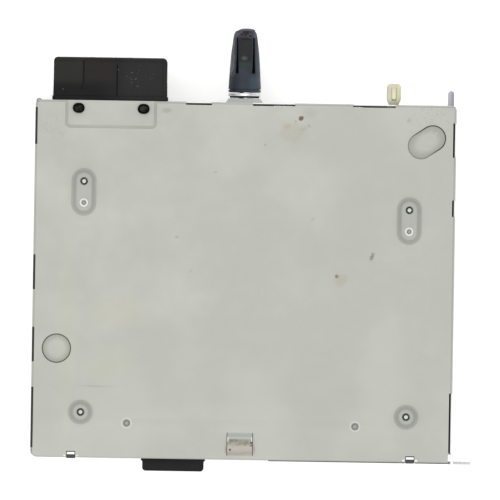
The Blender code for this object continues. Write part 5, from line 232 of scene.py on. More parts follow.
class Finish:
    """A node material built step by step around one shader. Sizes and places are in mm."""

    def __init__(self, name, colour, roughness, metallic=0.0):
        self.material = bpy.data.materials.new(name)
        self.material.use_nodes = True
        self.tree = self.material.node_tree
        self.shader = self.tree.nodes["Principled BSDF"]
        self.shader.inputs["Base Color"].default_value = (*colour, 1)
        self.shader.inputs["Roughness"].default_value = roughness
        self.shader.inputs["Metallic"].default_value = metallic
        self.place = self.tree.nodes.new("ShaderNodeTexCoord").outputs["Object"]
        self.axes = self.bumps = self.tone = None

    def add(self, kind, inputs=(), **settings):
        node = self.tree.nodes.new(kind)
        for key, value in settings.items():
            setattr(node, key, value)
        for key, value in dict(inputs).items():
            self.put(node.inputs[key], value)
        return node

    def put(self, socket, value):
        if isinstance(value, bpy.types.NodeSocket):
            self.tree.links.new(value, socket)
        else:
            socket.default_value = value

    def axis(self, name):
        """The place on the piece along X, Y or Z, in metres."""
        if self.axes is None:
            self.axes = self.add("ShaderNodeSeparateXYZ", {"Vector": self.place})
        return self.axes.outputs[name]

    def stretched(self, scale, shift=(0, 0, 0)):
        inputs = {"Vector": self.place, "Scale": scale, "Location": shift}
        return self.add("ShaderNodeMapping", inputs).outputs["Vector"]

    def noise(self, size, detail=3.0, rough=0.5, vector=None, distort=0.0):
        """Fractal noise with grains of a size."""
        inputs = {"Vector": vector or self.place, "Scale": 1 / (size * MM)}
        inputs.update({"Detail": detail, "Roughness": rough, "Distortion": distort})
        return self.add("ShaderNodeTexNoise", inputs).outputs["Fac"]

    def ramp(self, value, low, high, start=0.0, end=1.0):
        """An eased rise from one number to another."""
        inputs = {"Value": value, "From Min": low, "From Max": high, "To Min": start, "To Max": end}
        return self.add("ShaderNodeMapRange", inputs, clamp=True, interpolation_type="SMOOTHSTEP").outputs["Result"]

    def span(self, axis, low, high, start=0.0, end=1.0):
        """A ramp between two places along an axis."""
        return self.ramp(self.axis(axis), low * MM, high * MM, start, end)

    def times(self, a, b, operation="MULTIPLY"):
        return self.add("ShaderNodeMath", {0: a, 1: b}, operation=operation).outputs["Value"]

    def mix(self, factor, first, second):
        first, second = (
            value if isinstance(value, bpy.types.NodeSocket) else (*value, 1) for value in (first, second)
        )
        inputs = {"Factor": factor, "A": first, "B": second}
        node = self.tree.nodes.new("ShaderNodeMix")
        node.data_type = "RGBA"
        for key, value in inputs.items():
            self.put(node.inputs[key], value)
        return node.outputs["Result"]

    def tint(self, mask, colour, strength=None):
        """Lays a colour over the tone that the finish has so far."""
        factor = mask if strength is None else self.times(mask, strength)
        self.tone = self.mix(factor, self.tone, colour)

    def near(self, x, y, radius, fade, ragged=0.0, wide=1.0, turn=0.0):
        """1 close to a point of the top, falling to 0 past a radius with a ragged edge."""
        vector = self.stretched((1, 1, 0), (-x * MM, -y * MM, 0))
        if turn or wide != 1:
            inputs = {"Vector": vector, "Rotation": (0, 0, turn), "Scale": (wide, 1, 1)}
            vector = self.add("ShaderNodeMapping", inputs, vector_type="TEXTURE").outputs["Vector"]
        length = self.add("ShaderNodeVectorMath", {0: vector}, operation="LENGTH").outputs["Value"]
        if ragged:
            wobble = self.times(self.noise(radius * 0.9, 4.0, 0.6), 0.5, "SUBTRACT")
            length = self.times(length, self.times(wobble, ragged * MM * 2), "ADD")
        return self.ramp(length, radius * MM + fade * MM, radius * MM - fade * MM)

    def colour(self, value):
        self.put(self.shader.inputs["Base Color"], value)

    def rough(self, value):
        self.put(self.shader.inputs["Roughness"], value)

    def bump(self, height, distance, strength=1.0):
        """Adds relief whose full height is a distance."""
        inputs = {"Height": height, "Distance": distance * MM, "Strength": strength}
        if self.bumps:
            inputs["Normal"] = self.bumps
        self.bumps = self.add("ShaderNodeBump", inputs).outputs["Normal"]
        self.put(self.shader.inputs["Normal"], self.bumps)


def dress(piece, *finishes):
    """Gives a mesh its finishes, by the number painted on its faces."""
    numbers = [face.material_index for face in piece.data.polygons]
    piece.data.materials.clear()
    for finish in finishes:
        piece.data.materials.append(finish.material)
    for face, number in zip(piece.data.polygons, numbers):
        face.material_index = min(number, len(finishes) - 1)
    return piece


def dress_nodes(finish, *names):
    """Gives carried-over nodes a material."""
    for name in names:
        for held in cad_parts[name].material_slots:
            held.material = finish.material


case_grey, case_shade, case_pale = (0.393, 0.400, 0.362), (0.358, 0.366, 0.332), (0.437, 0.444, 0.404)
rust, grime = (0.13, 0.055, 0.03), (0.08, 0.075, 0.06)

case_finish = Finish("zinc_plated_case", case_grey, 0.5, 0.15)
clouds = case_finish.noise(34, 2.0, 0.5)
spangle = case_finish.noise(5, 4.0, 0.6, distort=0.6)
fine_grain = case_finish.noise(0.5, 2.0, 0.6)
case_finish.tone = case_finish.mix(case_finish.ramp(clouds, 0.35, 0.68), case_shade, case_grey)
case_finish.tint(case_finish.ramp(spangle, 0.5, 0.85, 0.0, 0.35), case_pale)
stains = [
    (20.6, 63.4, 4.0, 1.8, 2.6, 1.5, 0.2, (0.33, 0.31, 0.25), 0.45),
    (17.6, 66.6, 1.0, 0.8, 0.8, 1.6, 0.1, (0.36, 0.27, 0.22), 0.5),
    (25.0, 65.6, 0.5, 0.8, 1.2, 2.2, 0.5, grime, 0.16),
    (23.8, 70.1, 2.0, 1.0, 1.2, 1.0, 0.0, (0.44, 0.37, 0.31), 0.45),
    (23.8, 70.1, 1.0, 0.35, 0.6, 1.0, 0.0, (0.085, 0.055, 0.045), 0.95),
    (27.5, 72.4, 2.4, 1.6, 1.6, 1.2, 0.6, (0.26, 0.26, 0.24), 0.3),
    (21.5, 68.8, 0.35, 0.3, 0.3, 1.0, 0.0, rust, 0.45),
    (27.3, 67.0, 0.35, 0.3, 0.4, 2.0, -0.9, rust, 0.35),
    (41.8, 0.9, 2.6, 1.4, 1.8, 1.0, 0.0, (0.31, 0.29, 0.21), 0.55),
    (40.0, 3.4, 1.1, 0.7, 0.6, 1.0, 0.0, (0.42, 0.33, 0.30), 0.4),
    (40.1, 2.7, 0.75, 0.4, 0.5, 1.0, 0.0, (0.15, 0.115, 0.095), 0.85),
    (55.2, 11.6, 0.7, 0.4, 1.4, 2.0, 1.2, (0.10, 0.11, 0.09), 0.7),
    (54.6, 10.6, 0.4, 0.4, 0.8, 2.2, 1.2, rust, 0.25),
    (70.0, 70.0, 0.8, 0.5, 1.2, 1.2, 0.8, grime, 0.25),
    (-33.8, 72.6, 1.0, 0.5, 0.5, 2.0, 0.1, grime, 0.25),
    (-62.0, -45.9, 0.25, 0.2, 0.15, 26.0, 0.0, grime, 0.24),
    (8.6, 58.6, 0.35, 0.3, 0.4, 1.0, 0.0, grime, 0.45),
    (-12.6, 46.5, 0.3, 0.3, 0.5, 2.4, 0.2, grime, 0.3),
    (-28.5, 18.5, 0.5, 0.3, 0.8, 1.6, 0.2, (0.2, 0.14, 0.1), 0.35),
    (-22.5, 4.0, 0.25, 0.25, 0.6, 3.0, 0.8, grime, 0.25),
    (29.5, 27.0, 0.3, 0.3, 0.7, 3.0, 0.8, grime, 0.25),
    (-51.0, 47.0, 9.0, 6.0, 6.0, 1.4, 0.3, (0.40, 0.40, 0.33), 0.25),
    (-53.0, -14.0, 7.0, 4.0, 5.0, 1.8, 0.1, (0.40, 0.39, 0.31), 0.4),
    (-57.0, -37.0, 7.0, 4.0, 5.0, 1.6, 0.2, (0.39, 0.40, 0.31), 0.35),
    (-75.0, -20.0, 4.0, 3.0, 3.0, 8.0, 1.57, (0.40, 0.40, 0.31), 0.4),
    (-6.35, -72.2, 0.3, 0.3, 0.5, 4.5, 1.57, (0.22, 0.15, 0.12), 0.5),
    (5.9, -72.0, 0.35, 0.35, 0.6, 5.0, 1.57, (0.24, 0.17, 0.14), 0.5),
    (69.9, -75.7, 0.5, 0.3, 0.3, 1.0, 0.0, (0.85, 0.86, 0.85), 0.7),
    (75.3, -75.7, 0.5, 0.3, 0.3, 1.0, 0.0, (0.85, 0.86, 0.85), 0.7),
    (-69.9, -75.8, 0.4, 0.3, 0.3, 1.0, 0.0, (0.85, 0.86, 0.85), 0.5),
    (-75.3, -75.8, 0.4, 0.3, 0.3, 1.0, 0.0, (0.85, 0.86, 0.85), 0.5),
]
for x, y, radius, fade, ragged, wide, turn, paint, strength in stains:
    mask = case_finish.near(x, y, radius, fade, ragged, wide, turn)
    case_finish.tint(mask, paint, strength)
# Painted shade: the sloped walls of the pressed seats are darkened, and their sunk floors a little too.
wall_share = case_finish.times(
    case_finish.span("Z", 50.0, 49.3), case_finish.span("Z", 48.18, 48.7)
)
inside_x = case_finish.ramp(case_finish.times(case_finish.axis("X"), 0.0, "ABSOLUTE"), 88.6 * MM, 88.2 * MM)
inside_y = case_finish.span("Y", 63.4, 63.0)
wall_shade = case_finish.times(wall_share, case_finish.times(inside_x, inside_y))
case_finish.tint(wall_shade, (0.20, 0.21, 0.19), 0.22)
sunk = case_finish.times(case_finish.span("Z", 49.0, 48.3), case_finish.times(inside_x, inside_y))
case_finish.tint(sunk, (0.24, 0.25, 0.24), 0.14)
# Painted shade: the inside of each half-pierced mark darkens towards its rim.
on_marks = case_finish.times(
    case_finish.span("Z", 49.95, 49.92), case_finish.span("Z", 49.82, 49.85)
)
middles = case_finish.times(
    case_finish.near(-79.4, -29.9, 4.4, 1.5),
    case_finish.near(77.8, 60.75, 3.9, 1.5, 0.0, 1.5, 0.583),
    "MAXIMUM",
)
rim_shade = case_finish.times(on_marks, case_finish.times(1.0, middles, "SUBTRACT"))
case_finish.tint(rim_shade, (0.22, 0.22, 0.19), 0.65)
# Painted shade: soft dark rings round the screw seats.
seat_shade_rings = ((-68.7, 37.2, 6.4, 1.75), (70.8, 26.9, 6.4, 1.75), (-68.7, -57.1, 6.2, 1.0), (70.7, -57.1, 6.2, 1.0))
for x, y, radius, wide in seat_shade_rings:
    seat_shade_ring = case_finish.near(x, y, radius, 1.3, 0.0, wide, TURN / 4)
    case_finish.tint(seat_shade_ring, (0.18, 0.19, 0.18), 0.10)
# Painted highlight and shade on the pips and dimples: a light ring, a dark ring inside it and a lighter centre.
for x, y, light, dark in (
    (-68.7, 32.6, 0.8, 0.9), (70.8, 22.3, 0.8, 0.9), (-48.9, -61.5, 0.15, 0.65), (48.9, -61.5, 0.15, 0.65)
):
    size = 1.0 if light > 0.5 else 1.35
    for radius, fade, strength, shade in (
        (1.75, 0.2, light, (0.82, 0.83, 0.79)), (
            1.12, 0.2, dark, (0.115, 0.12, 0.10)
        ), (0.4, 0.25, 0.8, (0.33, 0.34, 0.31))
    ):
        spot = case_finish.near(x, y, radius * size, fade)
        case_finish.tint(spot, shade, strength)
streaks = case_finish.ramp(case_finish.noise(1.5, 3.0, 0.6, distort=1.6), 0.5, 0.72)
smudged = case_finish.times(
    case_finish.near(80, 69, 9, 5), case_finish.near(-81, 66, 6, 4), "MAXIMUM"
)
case_finish.tint(case_finish.times(streaks, smudged), (0.20, 0.20, 0.18), 0.4)
# Painted shade along the front edge of the top.
front_edge_shade = case_finish.span("Y", -75.9, -76.45)
on_collar = case_finish.span("Y", 76.6, 77.2)
case_finish.tint(on_collar, (0.41, 0.42, 0.42))
case_finish.tint(front_edge_shade, (0.12, 0.12, 0.10), 0.45)
case_finish.colour(case_finish.tone)
case_finish.rough(case_finish.ramp(spangle, 0.3, 0.75, 0.44, 0.56))
case_finish.bump(clouds, 0.06, 0.25)
case_finish.bump(fine_grain, 0.012, 0.5)

# Raw sheared edges are near black, partly oxide and mostly painted shade for the slots and gaps seen into from
# above, and the line round a half-pierced mark is painted shade, darkest at its rear right.
cut_edge_shade = Finish("raw_cut_edge", (0.03, 0.03, 0.028), 0.6, 0.2)
cut_shade_tone = cut_edge_shade.mix(cut_edge_shade.noise(1.4, 3.0), (0.012, 0.012, 0.011), (0.05, 0.05, 0.046))
# Painted highlight: the outer lips of the cut edges at the rear and right are drawn near white.
burr_highlight = cut_edge_shade.times(
    cut_edge_shade.ramp(cut_edge_shade.axis("Y"), CASE_REAR - 0.56 * MM, CASE_REAR - 0.44 * MM), cut_edge_shade.span("Z", 46, 47)
)
side_burr_highlight = cut_edge_shade.times(
    cut_edge_shade.span("X", 89.8, 89.92), cut_edge_shade.span("Z", 46, 47)
)
burr_highlight = cut_edge_shade.times(burr_highlight, side_burr_highlight, "MAXIMUM")
cut_edge_shade.colour(cut_edge_shade.mix(burr_highlight, cut_shade_tone, (0.85, 0.86, 0.85)))
cut_edge_shade.bump(cut_edge_shade.noise(0.3, 2.0), 0.01, 0.4)
shear_line_shade = Finish("sheared_line_shade", (0.10, 0.09, 0.07), 0.6)
# Painted shade along the line: darker towards the rear right and on the mark at the left.
slanting = shear_line_shade.times(shear_line_shade.axis("X"), shear_line_shade.axis("Y"), "ADD")
rear_right = shear_line_shade.ramp(slanting, 131 * MM, 143 * MM)
on_left = shear_line_shade.span("X", 1, -1, 0.0, 0.7)
line_shade = shear_line_shade.times(rear_right, on_left, "MAXIMUM")
shear_line_shade.colour(shear_line_shade.mix(line_shade, (0.27, 0.27, 0.245), (0.05, 0.045, 0.035)))
shear_line_shade.bump(shear_line_shade.noise(0.5, 2.0), 0.01, 0.4)

SEAT_DEPTH, SEAT_RUN = 1.8 * MM, 2.7 * MM
SCREW_HOLE, PEG_HOLE = 1.7 * MM, 1.7 * MM
screw_spots = {
    "rear_left": mm(-68.7, 41.8),
    "rear_right": mm(70.8, 31.5),
    "front_left": mm(-68.7, -57.1),
    "front_right": mm(70.7, -57.1),
}
seat_wall = slope(SEAT_DEPTH, SEAT_RUN, 0.9)
half_pierced = (
    (0, 0), mm(-0.06, -0.4), mm(-0.42, -0.42), mm(-0.5, -0.14), mm(-0.8, -0.1)
)
pip_wall = ((0.5 * MM, 0), mm(0.25, 0.12), (0, 0.1 * MM), mm(-0.1, -0.45), mm(-0.25, -0.5))

case = Skin()
plate_holes = []
for name, (x, y) in screw_spots.items():
    if name.startswith("rear"):
        middle, reach = y - 4.6 * MM, 4.9 * MM
        form = lambda grow, x=x, m=middle, r=reach: obround(x, m - r, x, m + r, 5.55 * MM + grow)
    else:
        form = lambda grow, x=x, y=y: circle(x, y, 5.5 * MM + grow)
    floor = case.pressing(form, seat_wall, CASE_TOP)
    plate_holes.append(form(0))
    holes = [circle(x, y, SCREW_HOLE, 32)]
    if name.startswith("rear"):
        pip = lambda grow, x=x, y=y - 9.2 * MM: circle(x, y, 1.5 * MM + grow, 32)
        holes.append(pip(pip_wall[0][0]))
        pip_floor = case.pressing(pip, pip_wall, floor)
        case.field(pip(pip_wall[-1][0]), [], pip_floor)
    case.field(form(-SEAT_RUN), holes, floor)

disc_mark = lambda grow: circle(-79.4 * MM, -29.9 * MM, 6.3 * MM + grow, 64)
slant_mark = lambda grow: obround(75.3 * MM, 59.1 * MM, 80.3 * MM, 62.4 * MM, 5.7 * MM + grow, 32)
for form in (disc_mark, slant_mark):
    floor = case.pressing(form, half_pierced, CASE_TOP, painted=(0, 1, 2), paint=2)
    case.field(form(half_pierced[-1][0]), [], floor)
    plate_holes.append(form(0))

dimple_wall = slope(0.75 * MM, 1.0 * MM, 0.9)
for x in mm(-48.9, 48.9):
    form = lambda grow, x=x: circle(x, -61.5 * MM, 1.8 * MM + grow, 32)
    floor = case.pressing(form, dimple_wall, CASE_TOP)
    case.field(form(dimple_wall[-1][0]), [], floor)
    plate_holes.append(form(0))

# The pad over the main connector is pressed down and runs out through the rear edge.
PAD_LEFT, PAD_RIGHT, PAD_FRONT, PAD_DEPTH, PAD_RUN = -77.4 * MM, -37.8 * MM, 64.4 * MM, 1.0 * MM, 1.7 * MM
rear_line = CASE_REAR - FOLD


def pad_outline(grow):
    """The open outline of the pad, from its rear left end round the front to its rear right end."""
    left, right, front = PAD_LEFT - grow, PAD_RIGHT + grow, PAD_FRONT - grow
    radius = 2.5 * MM + grow
    points = [(left, rear_line)]
    points += arc(left + radius, front + radius, radius, TURN / 2, TURN * 3 / 4, 8)
    points += arc(right - radius, front + radius, radius, TURN * 3 / 4, TURN, 8)
    points.append((right, rear_line))
    return points


pad_rings = [case.ring(pad_outline(grow), CASE_TOP + drop) for grow, drop in slope(PAD_DEPTH, PAD_RUN, 0.9)]
for outer, inner in zip(pad_rings, pad_rings[1:]):
    case.band(outer, inner, closed=False)
peg_spots = {"left": mm(-71.5, 73.1), "right": mm(-43.7, 73.1)}
case.field(pad_outline(-PAD_RUN), [circle(x, y, PEG_HOLE, 32) for x, y in peg_spots.values()], CASE_TOP - PAD_DEPTH)

# The top field lies between the fold lines; each fold is a quarter turn down to its wall.
LEFT_LINE, RIGHT_LINE = CASE_LEFT + FOLD, CASE_RIGHT - FOLD
top_outline = [(LEFT_LINE, CASE_FRONT), (RIGHT_LINE, CASE_FRONT), (RIGHT_LINE, rear_line)]
top_outline += list(reversed(pad_outline(0)))
top_outline.append((LEFT_LINE, rear_line))
case.field(top_outline, plate_holes, CASE_TOP)
fold_arc = [(FOLD * math.sin(a), FOLD * (1 - math.cos(a))) for a in [TURN / 4 * i / 6 for i in range(7)]]
for side, line in ((-1, LEFT_LINE), (1, RIGHT_LINE)):
    strips = [
        [case.mesh.verts.new((line + side * out, y, CASE_TOP - down)) for y in (CASE_FRONT, rear_line)]
        for out, down in fold_arc
    ]
    for upper, lower in zip(strips, strips[1:]):
        case.band(upper, lower, closed=False)
pad_heights = slope(PAD_DEPTH, PAD_RUN, 0.9)
rear_edge = [(LEFT_LINE, 0.0)]
rear_edge += [(PAD_LEFT - grow, drop) for grow, drop in pad_heights]
rear_edge += [(PAD_RIGHT + grow, drop) for grow, drop in reversed(pad_heights)]
rear_edge.append((RIGHT_LINE, 0.0))
strips = []
for out, down in fold_arc:
    share = down / FOLD
    strips.append(
        [case.mesh.verts.new((x, rear_line + out, CASE_TOP + drop * (1 - share) - down)) for x, drop in rear_edge]
    )
for upper, lower in zip(strips, strips[1:]):
    case.band(upper, lower, closed=False)

wall_top = CASE_TOP - FOLD
vent = lambda across, height: obround(across, height - 4.4 * MM, across, height + 4.4 * MM, 1.1 * MM, 12)
left_vents = [vent((-14 + 4.6 * i) * MM, 26 * MM) for i in range(9)]
left_wall = [(CASE_FRONT, CASE_FOOT), (rear_line, CASE_FOOT), (rear_line, wall_top), (CASE_FRONT, wall_top)]
case.field(left_wall, left_vents, CASE_LEFT, "YZ")
NOTCH_LOW, NOTCH_HIGH, NOTCH_END = 13.7 * MM, 36.3 * MM, -75.3 * MM
right_wall = [
    (CASE_FRONT, CASE_FOOT),
    (rear_line, CASE_FOOT),
    (rear_line, wall_top),
    (CASE_FRONT, wall_top),
    (CASE_FRONT, NOTCH_HIGH),
    (NOTCH_END, NOTCH_HIGH),
    (NOTCH_END, NOTCH_LOW),
    (CASE_FRONT, NOTCH_LOW),
]
case.field(right_wall, [], CASE_RIGHT, "YZ")

STUD_SHIFT = -0.6 * MM
collar = lambda grow: circle(STUD_SHIFT, 25 * MM, 8.4 * MM + grow, 64)
collar_wall = slope(-2.0 * MM, 1.75 * MM, 0.6)
collar_wall = [(grow, -drop) for grow, drop in collar_wall]
rear_holes = [
    rounded(-82.8 * MM, 19.7 * MM, -33.6 * MM, 45.5 * MM, 0.6 * MM, 3),
    rounded(60.2 * MM, 35.3 * MM, 66.6 * MM, 45.1 * MM, 0.6 * MM, 3),
    collar(0),
]
rear_holes += [vent((18 + 4.6 * i) * MM, 14.5 * MM) for i in range(8)]
TONGUE_NOTCH = 86.0 * MM
rear_wall = [(x, wall_top) for x, _ in reversed(rear_edge)]
rear_wall += [
    (LEFT_LINE, CASE_FOOT),
    (RIGHT_LINE, CASE_FOOT),
    (RIGHT_LINE, 18.7 * MM),
    (TONGUE_NOTCH, 18.7 * MM),
    (TONGUE_NOTCH, 31.3 * MM),
    (RIGHT_LINE, 31.3 * MM),
]
case.field(rear_wall, rear_holes, -CASE_REAR, "XZ")
end = case.pressing(collar, collar_wall, -CASE_REAR, "XZ")
case.field(collar(-1.75 * MM), [circle(0, 25 * MM, 3.8 * MM, 32)], end, "XZ")

case_shell = thicken(case.finish("case_shell", Vector((0, 0, 1))), SHEET)

# Relief slots along the folds, hook notches and the window under the lanced bridge are pierced through.
# Their cut faces take the near-black cut-edge finish, painted shade.
SLOT_IN, SLOT_UNDER, REAR_IN = 1.0 * MM, 47.8 * MM, 1.35 * MM
BRIDGE_X, BRIDGE_FRONT, BRIDGE_REAR, BRIDGE_HALF = -0.3 * MM, -74.75 * MM, -64.85 * MM, 5.6 * MM
reach = 3 * MM
piercers = []
for low, high in ((-25.5, -14.5), (3.1, 21.2), (46.0, 64.2)):
    corners = (low * MM, CASE_REAR - REAR_IN, SLOT_UNDER), (high * MM, CASE_REAR + reach, CASE_TOP + reach)
    piercers.append(solid_box(*corners, paint=1))
for low, high in ((57.4, 73.2), (-4.8, 10.1), (-35.7, -20.9), (-72.5, -46.6)):
    corners = (CASE_LEFT - reach, low * MM, SLOT_UNDER), (CASE_LEFT + SLOT_IN, high * MM, CASE_TOP + reach)
    piercers.append(solid_box(*corners, paint=1))
for low, high in ((54.3, 69.0), (29.0, 36.0), (-72.4, -46.7)):
    corners = (
        CASE_RIGHT - SLOT_IN - 0.4 * MM, low * MM, SLOT_UNDER
    ), (CASE_RIGHT + reach, high * MM, CASE_TOP + reach)
    piercers.append(solid_box(*corners, paint=1))
HOOK_PLACES = mm(-72.6, 72.6)
for x in HOOK_PLACES:
    corners = (x - 1.95 * MM, CASE_FRONT - reach, CASE_TOP - reach), (
        x + 1.95 * MM, CASE_FRONT + 2.7 * MM, CASE_TOP + reach
    )
    piercers.append(solid_box(*corners, paint=1))
window = (
    BRIDGE_X - BRIDGE_HALF, BRIDGE_FRONT, CASE_TOP - reach
), (BRIDGE_X + BRIDGE_HALF, BRIDGE_REAR, CASE_TOP + reach)
piercers.append(solid_box(*window, paint=1))
piercers.append(solid_box((88.9 * MM, CASE_FRONT - reach, -MM), (91 * MM, -72.9 * MM, CASE_TOP + reach)))
piercers.append(solid_box(mm(-91, -74.2, 40), (-89.3 * MM, -72.9 * MM, CASE_TOP + reach)))
carve(case_shell, [merge(piercers)])
corner_cut = [mm(-91, -73.8)] + arc(
    -87.3 * MM, -73.8 * MM, 2.7 * MM, TURN / 2, TURN * 3 / 4, 8
) + [mm(-87.3, -78), mm(-91, -78)]
corner_tool = Skin()
corner_tool.pressing(lambda grow: corner_cut, [(0, -MM), (0, CASE_TOP + MM)], 0)
for height in (-MM, CASE_TOP + MM):
    corner_tool.field(corner_cut, [], height)
carve(case_shell, [corner_tool.finish("corner_cut", Vector((0, 0, 1)))])

# The bridge itself: a strip left standing in the window, 1.2 mm above the plate, with eased ramps.
bridge = Skin()
stations = 28
lifts = []
for i in range(stations + 1):
    share = i / stations
    climb = min(1, min(share, 1 - share) / 0.22)
    lifts.append((BRIDGE_FRONT + (BRIDGE_REAR - BRIDGE_FRONT) * share, 1.2 * MM * climb * climb * (3 - 2 * climb)))
half = BRIDGE_HALF - 0.26 * MM
edges = [
    [bridge.mesh.verts.new((x, y, CASE_TOP + lift)) for y, lift in lifts]
    for x in (BRIDGE_X - half, BRIDGE_X + half)
]
bridge.band(edges[0], edges[1], closed=False)
bridge_strip = thicken(bridge.finish("bridge", Vector((0, 0, 1))), SHEET * 0.98)

# Feet bent inwards for the cover screws, and the rolled lug at the rear left.
feet = []
for side in (-1, 1):
    inner, outer = side * 79.2 * MM, side * 89.7 * MM
    foot = solid_box((min(inner, outer), 39.5 * MM, 3.0 * MM), (max(inner, outer), 50.5 * MM, 3.8 * MM), "foot")
    feet.append(foot)
lug = Skin()
lug_outline = lambda radius: circle(-88.8 * MM, 76.2 * MM, radius * MM, 24)
lug_rings = [
    lug.ring(lug_outline(r), z * MM)
    for r, z in ((0.9, 14), (1.2, 14.3), (1.2, 31.7), (0.9, 32))
]
for lower, upper in zip(lug_rings, lug_rings[1:]):
    lug.band(lower, upper)
for z in (14, 32):
    lug.field(lug_outline(0.9), [], z * MM)
rear_lug = baked(lug.finish("rear_lug", Vector((0, 0, 1))))
# The second corner tab is near black, painted shade standing for the gap of the corner relief; the thin near-black
# strips along the front edge stand for its shadow line.
tabs = [solid_box(mm(88.8, 74.9, 49.0), mm(89.8, 76.2, 49.92), "corner_tab")]
tabs.append(
    solid_box(mm(89.7, 75.0, 48.0), mm(90.15, 76.1, 49.85), "corner_tab", paint=1)
)
for low, high in ((12.0, 70.5), (74.7, 88.7)):
    tabs.append(
        solid_box((low * MM, -76.85 * MM, 49.0 * MM), (high * MM, -76.45 * MM, 49.7 * MM), "edge_shadow_strip", paint=1)
    )
case_shell = merge([case_shell, *feet, rear_lug, *tabs])
case_shell.data.shade_smooth()
case_shell.data.set_sharp_from_angle(angle=math.radians(30))
dress(case_shell, case_finish, cut_edge_shade, shear_line_shade)
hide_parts("main_chassis")
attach(case_shell, "chassis")

worn = Finish("worn_bridge", (0.34, 0.32, 0.28), 0.5, 0.15)
smears = worn.noise(2.4, 3.0, 0.6, worn.stretched((0.45, 1, 1)), 0.8)
rubbed = worn.mix(worn.ramp(smears, 0.35, 0.65), (0.40, 0.36, 0.325), (0.34, 0.325, 0.27))
brown = worn.mix(worn.ramp(worn.noise(1.6, 3.0, 0.6), 0.4, 0.65), (0.27, 0.255, 0.20), (0.15, 0.145, 0.11))
from_middle = worn.span("Y", -71.2, -69.0)
worn.tone = worn.mix(from_middle, rubbed, brown)
faint_rubs = worn.ramp(worn.noise(2.0, 3.0, 0.6, worn.stretched((0.3, 1, 1)), 1.0), 0.5, 0.7)
worn.tint(faint_rubs, (0.22, 0.19, 0.16), 0.35)
# Painted reflection: a blue-grey band on the rear ramp.
worn.tint(worn.span("Y", -67.9, -67.3), (0.335, 0.36, 0.33))
# Painted highlight: thin bright lines along the strip's long edges near the rear ramp.
across_strip = worn.times(worn.times(worn.axis("X"), 0.3 * MM, "ADD"), 0.0, "ABSOLUTE")
edge_highlight = worn.times(worn.ramp(across_strip, 4.75 * MM, 4.95 * MM), worn.span("Y", -69.2, -68.6))
edge_highlight = worn.times(edge_highlight, worn.span("Y", -66.3, -67.2))
worn.tint(edge_highlight, (0.66, 0.67, 0.62), 0.7)
for x, y, size, wide in (
    (-4.45, -72.2, 0.5, 1.0),
    (4.6, -69.1, 0.5, 1.0),
    (4.75, -70.35, 0.28, 2.2),
    (-1.4, -69.9, 0.22, 2.5),
    (2.0, -70.3, 0.2, 3.0),
):
    nick = worn.near(x, y, size, 0.2, 0.15, wide)
    worn.tint(nick, (0.05, 0.04, 0.032), 0.95 if size > 0.25 else 0.35)
worn.colour(worn.tone)
worn.bump(smears, 0.04, 0.6)
dress(bridge_strip, worn)
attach(bridge_strip, "chassis")


# Lower cover and front panel: plain zinc-plated sheet, pressed and folded. The cover's lips slip inside the
# case, and the panel hooks into the two notches of the top.

def moulded(name, outline, profile, plane="XZ", painted=(), caps=(0, 0)):
    """A closed solid whose outline grows and shrinks along rows of growth and height."""
    skin = Skin()
    skin.pressing(outline, profile, 0, plane, painted)
    for (grow, height), paint in zip((profile[0], profile[-1]), caps):
        skin.field(outline(grow), [], height, plane, paint)
    return skin.finish(name, PLANES[plane] @ Vector((0, 0, 1)))


cover_finish = Finish("zinc_plated_cover", (0.47, 0.48, 0.46), 0.45, 0.35)
cover_clouds = cover_finish.noise(28, 2.0)
cover_spangle = cover_finish.noise(4, 4.0, 0.6, distort=0.8)
cover_tone = cover_finish.mix(cover_finish.ramp(cover_clouds, 0.35, 0.65), (0.42, 0.43, 0.41), (0.50, 0.51, 0.49))
cover_finish.colour(
    cover_finish.mix(cover_finish.ramp(cover_spangle, 0.5, 0.9, 0.0, 0.6), cover_tone, (0.58, 0.59, 0.57))
)
cover_finish.rough(cover_finish.ramp(cover_spangle, 0.3, 0.75, 0.38, 0.52))
cover_finish.bump(cover_finish.noise(0.5, 2.0), 0.012, 0.5)

cover = Skin()
cover_outline = lambda grow: rounded(
    -89.0 * MM - grow, CASE_FRONT - grow, 89.0 * MM + grow, 75.2 * MM + grow, 1.3 * MM + max(grow, -1.0 * MM), 5
)
cover_lip = [
    (0, 8.8 * MM),
    (0, 1.3 * MM),
    mm(-0.1, 0.8),
    mm(-0.38, 0.38),
    mm(-0.8, 0.1),
    (-1.3 * MM, 0),
]
cover.pressing(cover_outline, cover_lip, 0)
cover_holes = []
dish_wall = [(grow, -drop) for grow, drop in slope(1.9 * MM, 1.6 * MM, 0.9)]
screws_below = [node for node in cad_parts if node.startswith(("cover_screw_", "deck_screw_"))]
for low, high in (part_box(node) for node in sorted(screws_below)):
    radius = 4.5 * MM if abs(high[0]) > 75 * MM else 6.4 * MM
    dish = lambda grow, x=(low[0] + high[0]) / 2, y=(low[1] + high[1]) / 2, r=radius: circle(x, y, r + grow, 48)
    dish_floor = cover.pressing(dish, dish_wall, 0)
    cover.field(dish(dish_wall[-1][0]), [dish(1.8 * MM - radius)], dish_floor)
    cover_holes.append(dish(0))
rib_wall = [(grow, -drop) for grow, drop in slope(0.9 * MM, 0.8 * MM, 0.9)]
for x in mm(-76.5, 76.5):
    rib = lambda grow, x=x: obround(x, -64.5 * MM, x, 20.5 * MM, 2.5 * MM + grow)
    rib_floor = cover.pressing(rib, rib_wall, 0)
    cover.field(rib(rib_wall[-1][0]), [], rib_floor)
    cover_holes.append(rib(0))
for x in mm(-22, 22):
    cover_holes += [
        obround(x - 11.9 * MM, y * MM, x + 11.9 * MM, y * MM, 1.1 * MM, 10)
        for y in [-6 + 6.5 * (i - 4) for i in range(9)]
    ]
cover.field(cover_outline(-1.3 * MM), cover_holes, 0)
cover_shell = thicken(cover.finish("lower_cover_sheet", Vector((0, 0, -1))), SHEET)
